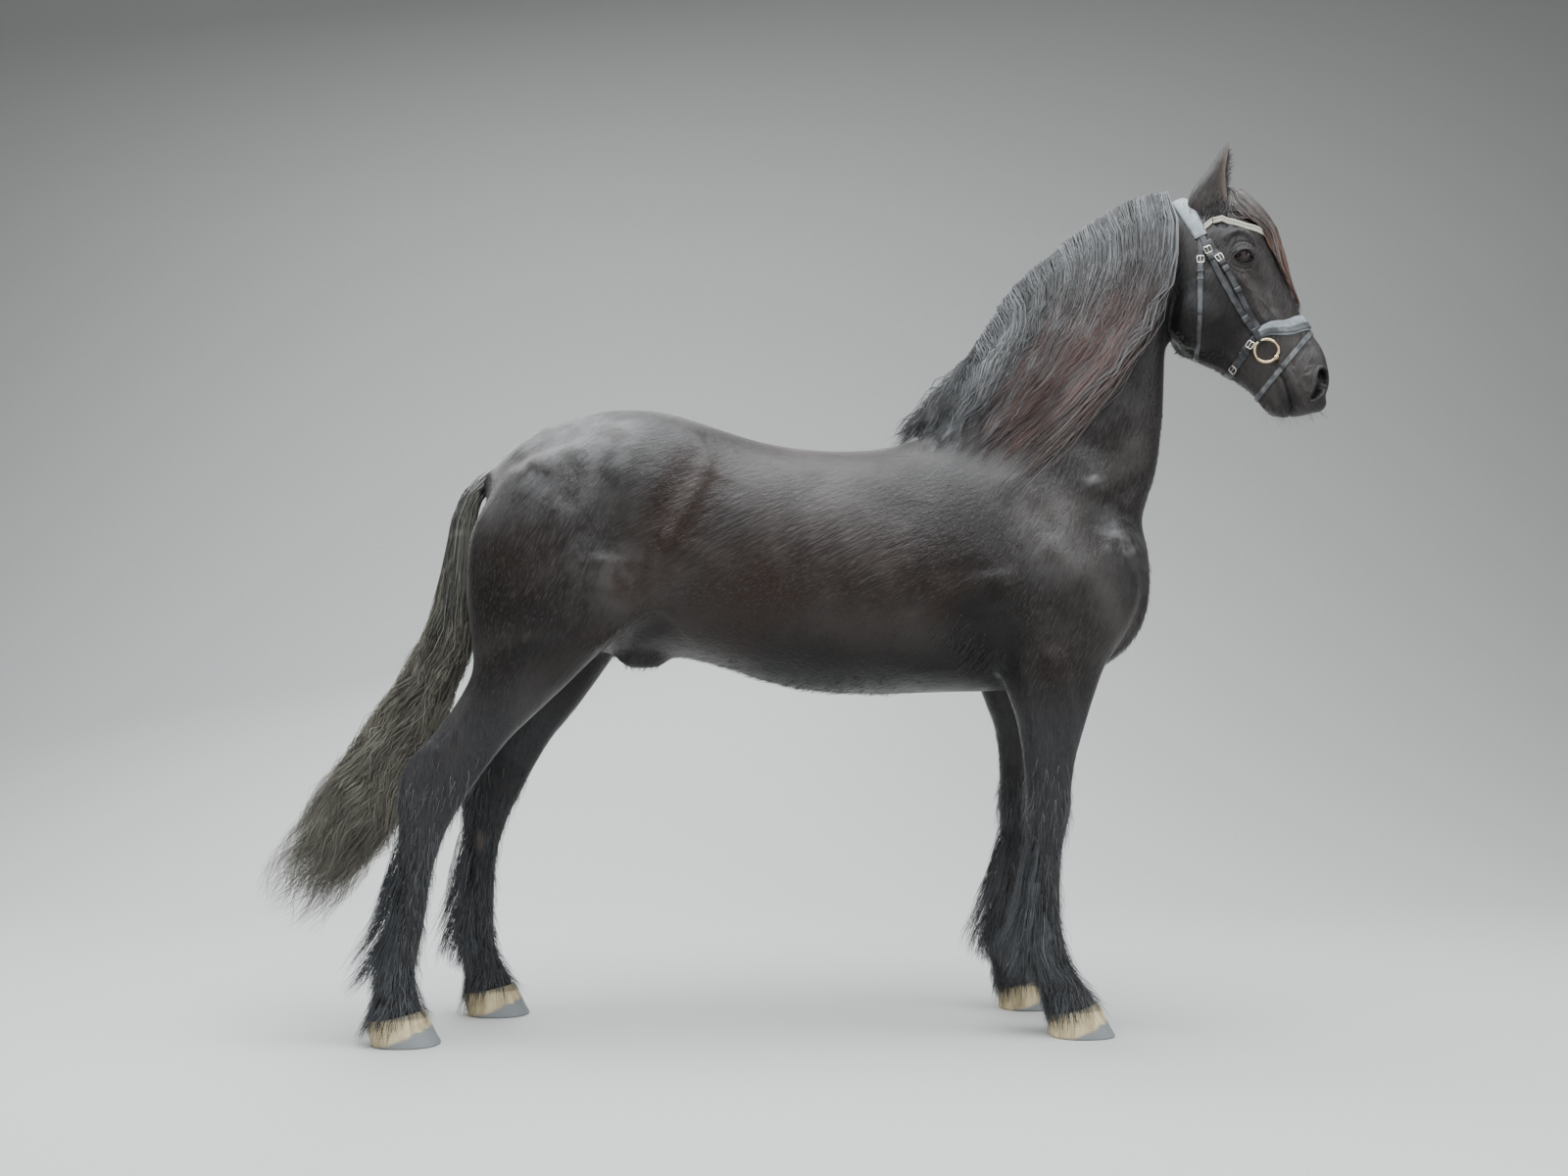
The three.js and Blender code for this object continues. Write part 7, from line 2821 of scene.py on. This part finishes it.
@dataclass
class Studio:
    """A pale floor, soft lights and the camera at the photo's angle.

    Attributes:
        pose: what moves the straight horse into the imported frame.
        eye_point: where the camera stands beside the straight horse, in metres.
        lens: its focal length on a 36 mm sensor.
        pitch: how far it looks up.
        yaw: how far it looks towards the head.
        roll: its turn about its own line.
        lamps: the lights.
    """

    pose: Pose
    eye_point: tuple[float, float, float] = (-0.2052, -3.9146, 0.769)
    lens: float = 33.26
    pitch: float = math.atan(146 / 1478)
    yaw: float = math.radians(3)
    roll: float = math.radians(-0.14)
    lamps: tuple = (
        Lamp("sky", (-0.3, -0.7, 5.2), (8.0, 5.5), 1050, (0.93, 0.97, 1.0)),
        Lamp("front", (-1.2, -7.2, 3.0), (6.0, 3.0), 150),
        Lamp("head_side", (5.2, -2.4, 2.8), (2.6, 3.2), 105),
        Lamp("far_side", (-1.5, 4.4, 3.4), (5.0, 3.0), 130),
    )

    def build(self) -> None:
        """Makes the floor, world, lights and camera."""
        self.floor()
        world = bpy.data.worlds.new("pale_room")
        bpy.context.scene.world = world
        world.use_nodes = True
        back = world.node_tree.nodes["Background"]
        back.inputs["Color"].default_value = (0.80, 0.83, 0.86, 1)
        back.inputs["Strength"].default_value = 0.16
        for lamp in self.lamps:
            lamp.build(Vector((0.1, 0, 1.2)))
        self.camera()

    def floor(self) -> None:
        """A pale plain floor that curves up far behind."""
        bend = np.linspace(0, math.pi / 2, 56)
        profile = [(-9, 0), *zip(2.2 + 4.6 * np.sin(bend), 4.6 - 4.6 * np.cos(bend)), (6.8, 6), (6.8, 10)]
        fine = np.array([(y, 0, z) for y, z in profile])
        xs = np.array([-14.0, 14.0])
        points = np.array([[x, y, z] for y, _, z in fine for x in xs])
        rows = np.arange(len(fine) - 1)[:, None] * 2
        faces = np.concatenate([rows, rows + 1, rows + 3, rows + 2], axis=1)
        mesh = mesh_from("floor", points, faces)
        made = linked("floor", mesh)
        mesh.materials.append(PlainFinish("floor_paint", (0.6, 0.6, 0.59), 0.75, 500, 0.0001).material())

    def camera(self) -> None:
        """The camera where the photo was taken from."""
        data = bpy.data.cameras.new("camera")
        data.sensor_width = 36
        data.lens = self.lens
        made = linked("camera", data)
        level = math.cos(self.pitch)
        ahead = Vector((math.sin(self.yaw) * level, math.cos(self.yaw) * level, math.sin(self.pitch)))
        aim(made, Vector(self.eye_point) + Vector((*self.pose.shift, 0)) * MM, ahead, self.roll)
        bpy.context.scene.camera = made


# The whole horse


def frame_pose() -> Pose:
    """The bend, and the move that lays the straight horse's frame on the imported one."""
    low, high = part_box("hoof_fore_right")
    return Pose((high.x / MM - 826, (low.y + high.y) / 2 / MM + 190))


def marks(points: np.ndarray) -> dict[str, np.ndarray]:
    """The numbers that colour the skin, from places on the straight horse."""
    x, y, z = points.T
    flat = points[:, [0, 2]]
    brown = sum(tint.lift(flat) for tint in TINTS)
    # where highlights are painted on the coat
    painted_highlight = sum(spot.lift(flat) for spot in PAINTED_HIGHLIGHTS)
    # where shade is painted on the coat
    dark = sum(spot.lift(flat) for spot in PAINTED_SHADES)
    muzzle = smoothstep(x, 1385, 1460) * (1 - smoothstep(z, 1730, 1800))
    lips = np.exp(-(((x - 1380) / 34) ** 2) - ((z - 1645) / 60) ** 2)
    eyes = np.exp(-((np.hypot((x - 1265) / 1.2, z - 2040) / 27) ** 4)) * (np.abs(y) > 60)
    high = smoothstep(z, 980, 1150)
    steep = np.maximum(smoothstep(x, 380, 620), 1 - smoothstep(x, -520, -330))
    # painted shade inside the nostrils
    nostril_shade = smoothstep(depth_inside(flat, NOSTRIL), 0, 6) * (np.abs(y) > 20) * (x > 1400)
    return {
        "brown": np.clip(brown, 0, 1),
        # painted highlights
        "painted_highlight": np.clip(painted_highlight, 0, 1),
        # painted shade
        "dark": np.clip(dark, 0, 1),
        "bare": np.clip(np.maximum(np.maximum(muzzle * 0.8, lips), eyes), 0, 1),
        "steep": np.clip(np.maximum(steep, 1 - high), 0, 1),
        "leg": 1 - smoothstep(z, 760, 960),
        # painted shade inside the nostrils
        "deep": nostril_shade,
    }


def chestnuts(points: np.ndarray) -> np.ndarray:
    """The bare pinkish patches of horn inside the legs, above the knees and below the hocks."""
    x, y, z = points.T
    total = np.zeros(len(points))
    for leg in LEGS:
        high = 690 if leg.end is End.FORE else 470
        front, back, _ = leg.at(np.full(1, high))
        patch = np.exp(-(((x - 0.5 * (front + back)) / 10) ** 4) - (((z - high) / 26) ** 4))
        inner = np.abs(y) < leg.ovals[-1][5] - 12
        total += patch * inner * (y * leg.side > 0)
    return total


def main() -> None:
    """Builds the horse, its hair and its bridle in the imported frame, and the studio."""
    pose = frame_pose()
    maker = Maker(pose)
    skin = Skin()
    skin.build()
    straight = shape_of(skin.mesh)
    ears = [Ear(side) for side in (RIGHT, LEFT)]
    tree = ray_tree(straight)
    coat = skin.thinned()
    whole = joined([coat, *(ear.shape() for ear in ears)])
    body = maker.piece("skin", whole, CoatFinish().material(), "coat")
    for name, values in marks(whole.points).items():
        attribute(body.data, name, values)
    lip = np.concatenate([np.zeros(len(coat.points)), *(ear.rim() for ear in ears)])
    attribute(body.data, "lip", np.maximum(lip, chestnuts(whole.points)))
    limbs = [f"cannon_{leg.name}" for leg in LEGS]
    limbs += [f"{part}_{side}" for part in ("forearm", "gaskin", "ear") for side in ("right", "left")]
    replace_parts(body, "torso", "neck", "head", *limbs)
    horn = HoofFinish().material()
    for leg in LEGS:
        Hoof(leg).build(maker, horn)
    glass = EyeFinish().material()
    rims = PlainFinish("wet_rim", (0.012, 0.009, 0.009), 0.18).material()
    lash = HairFinish("lash_hair", *[(0.004, 0.0035, 0.003)] * 4).material()
    for place in skin.eyes:
        eye = Eye(place)
        name = side_name(place.side)
        eye.ball(maker, glass)
        maker.piece(f"eyelid_rim_{name}", eye.rim(), rims, "coat")
        eye.lashes().piece(maker, f"lashes_{name}", lash, "coat")
    hair(maker, tree)
    fur(maker, straight, ears)
    Bridle(
        tree,
        maker,
        LeatherFinish("black_leather", (0.014, 0.015, 0.017), (0.06, 0.064, 0.07), 0.3).material(),
        LeatherFinish("grey_leather", (0.055, 0.06, 0.064), (0.15, 0.16, 0.165), 0.32).material(),
        LeatherFinish("grey_padding", (0.17, 0.195, 0.215), (0.29, 0.33, 0.35), 0.4).material(),
        PlainFinish("plaited_cord", (0.55, 0.53, 0.44), 0.5, 700).material(),
        MetalFinish("brass", (0.62, 0.5, 0.29), 0.18).material(),
        MetalFinish("pale_steel", (0.66, 0.63, 0.57), 0.2).material(),
        PlainFinish("thread", (0.05, 0.053, 0.058), 0.6, 1200).material(),
    ).build()
    Studio(pose).build()


def shared_out(strands: Strands, parts: int) -> list[Strands]:
    """The strands in parts of one size, each part from the locks that come next."""
    return [strands.taken(chosen) for chosen in np.array_split(np.arange(len(strands.tone)), parts)]


def hair(maker: Maker, tree: BVHTree) -> None:
    """The mane, forelock and tail."""
    mane_hair, tail_hair = MANE_HAIR.material(), TAIL_HAIR.material()
    right = SideDepth(tree, RIGHT, (250, 1250), (1250, 2380))
    for i, strands in enumerate(shared_out(Mane(depth=right).strands(), 4)):
        strands.piece(maker, f"mane_{i + 1}", mane_hair, "mane_and_coat")
    Forelock(tree=tree).strands().piece(maker, "forelock", FORELOCK_HAIR.material(), "mane_and_coat")
    for i, strands in enumerate(shared_out(Tail().strands(), 3)):
        made = strands.piece(maker, f"tail_{i + 1}", tail_hair, "tail_hair")
        if i == 0:
            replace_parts(made, "tail")


def fur(maker: Maker, skin: Shape, ears: Sequence[Ear]) -> None:
    """The feather, the shag on the legs, and the short hair that breaks the outline.

    Args:
        maker: makes the pieces.
        skin: what the hair is rooted in.
        ears: the ears, which have hair of their own.
    """
    finish, short = LEG_HAIR.material(), SHORT_HAIR.material()
    for i, leg in enumerate(LEGS):
        rng = np.random.default_rng(61 + i)
        Feather(leg=leg, seed=41 + i).strands().piece(maker, f"feather_{leg.name}", finish, "coat")
        for name, (reach, values) in LEG_FUR.items():
            strands = FurZone(near_leg(leg, *reach), *values).strands(skin, rng)
            strands.piece(maker, f"{name}_{leg.name}", short if name == "upper_hair" else finish, "coat")
    rng = np.random.default_rng(83)
    for name, zones in (("fringe", FRINGES), ("whiskers", WHISKERS)):
        for i, zone in enumerate(zones):
            zone.strands(skin, rng).piece(maker, f"{name}_{i + 1}", short, "coat")
    for ear in ears:
        ear.hairs(rng).piece(maker, f"ear_hair_{side_name(ear.side)}", short, "coat")


if __name__ == "__main__":
    main()
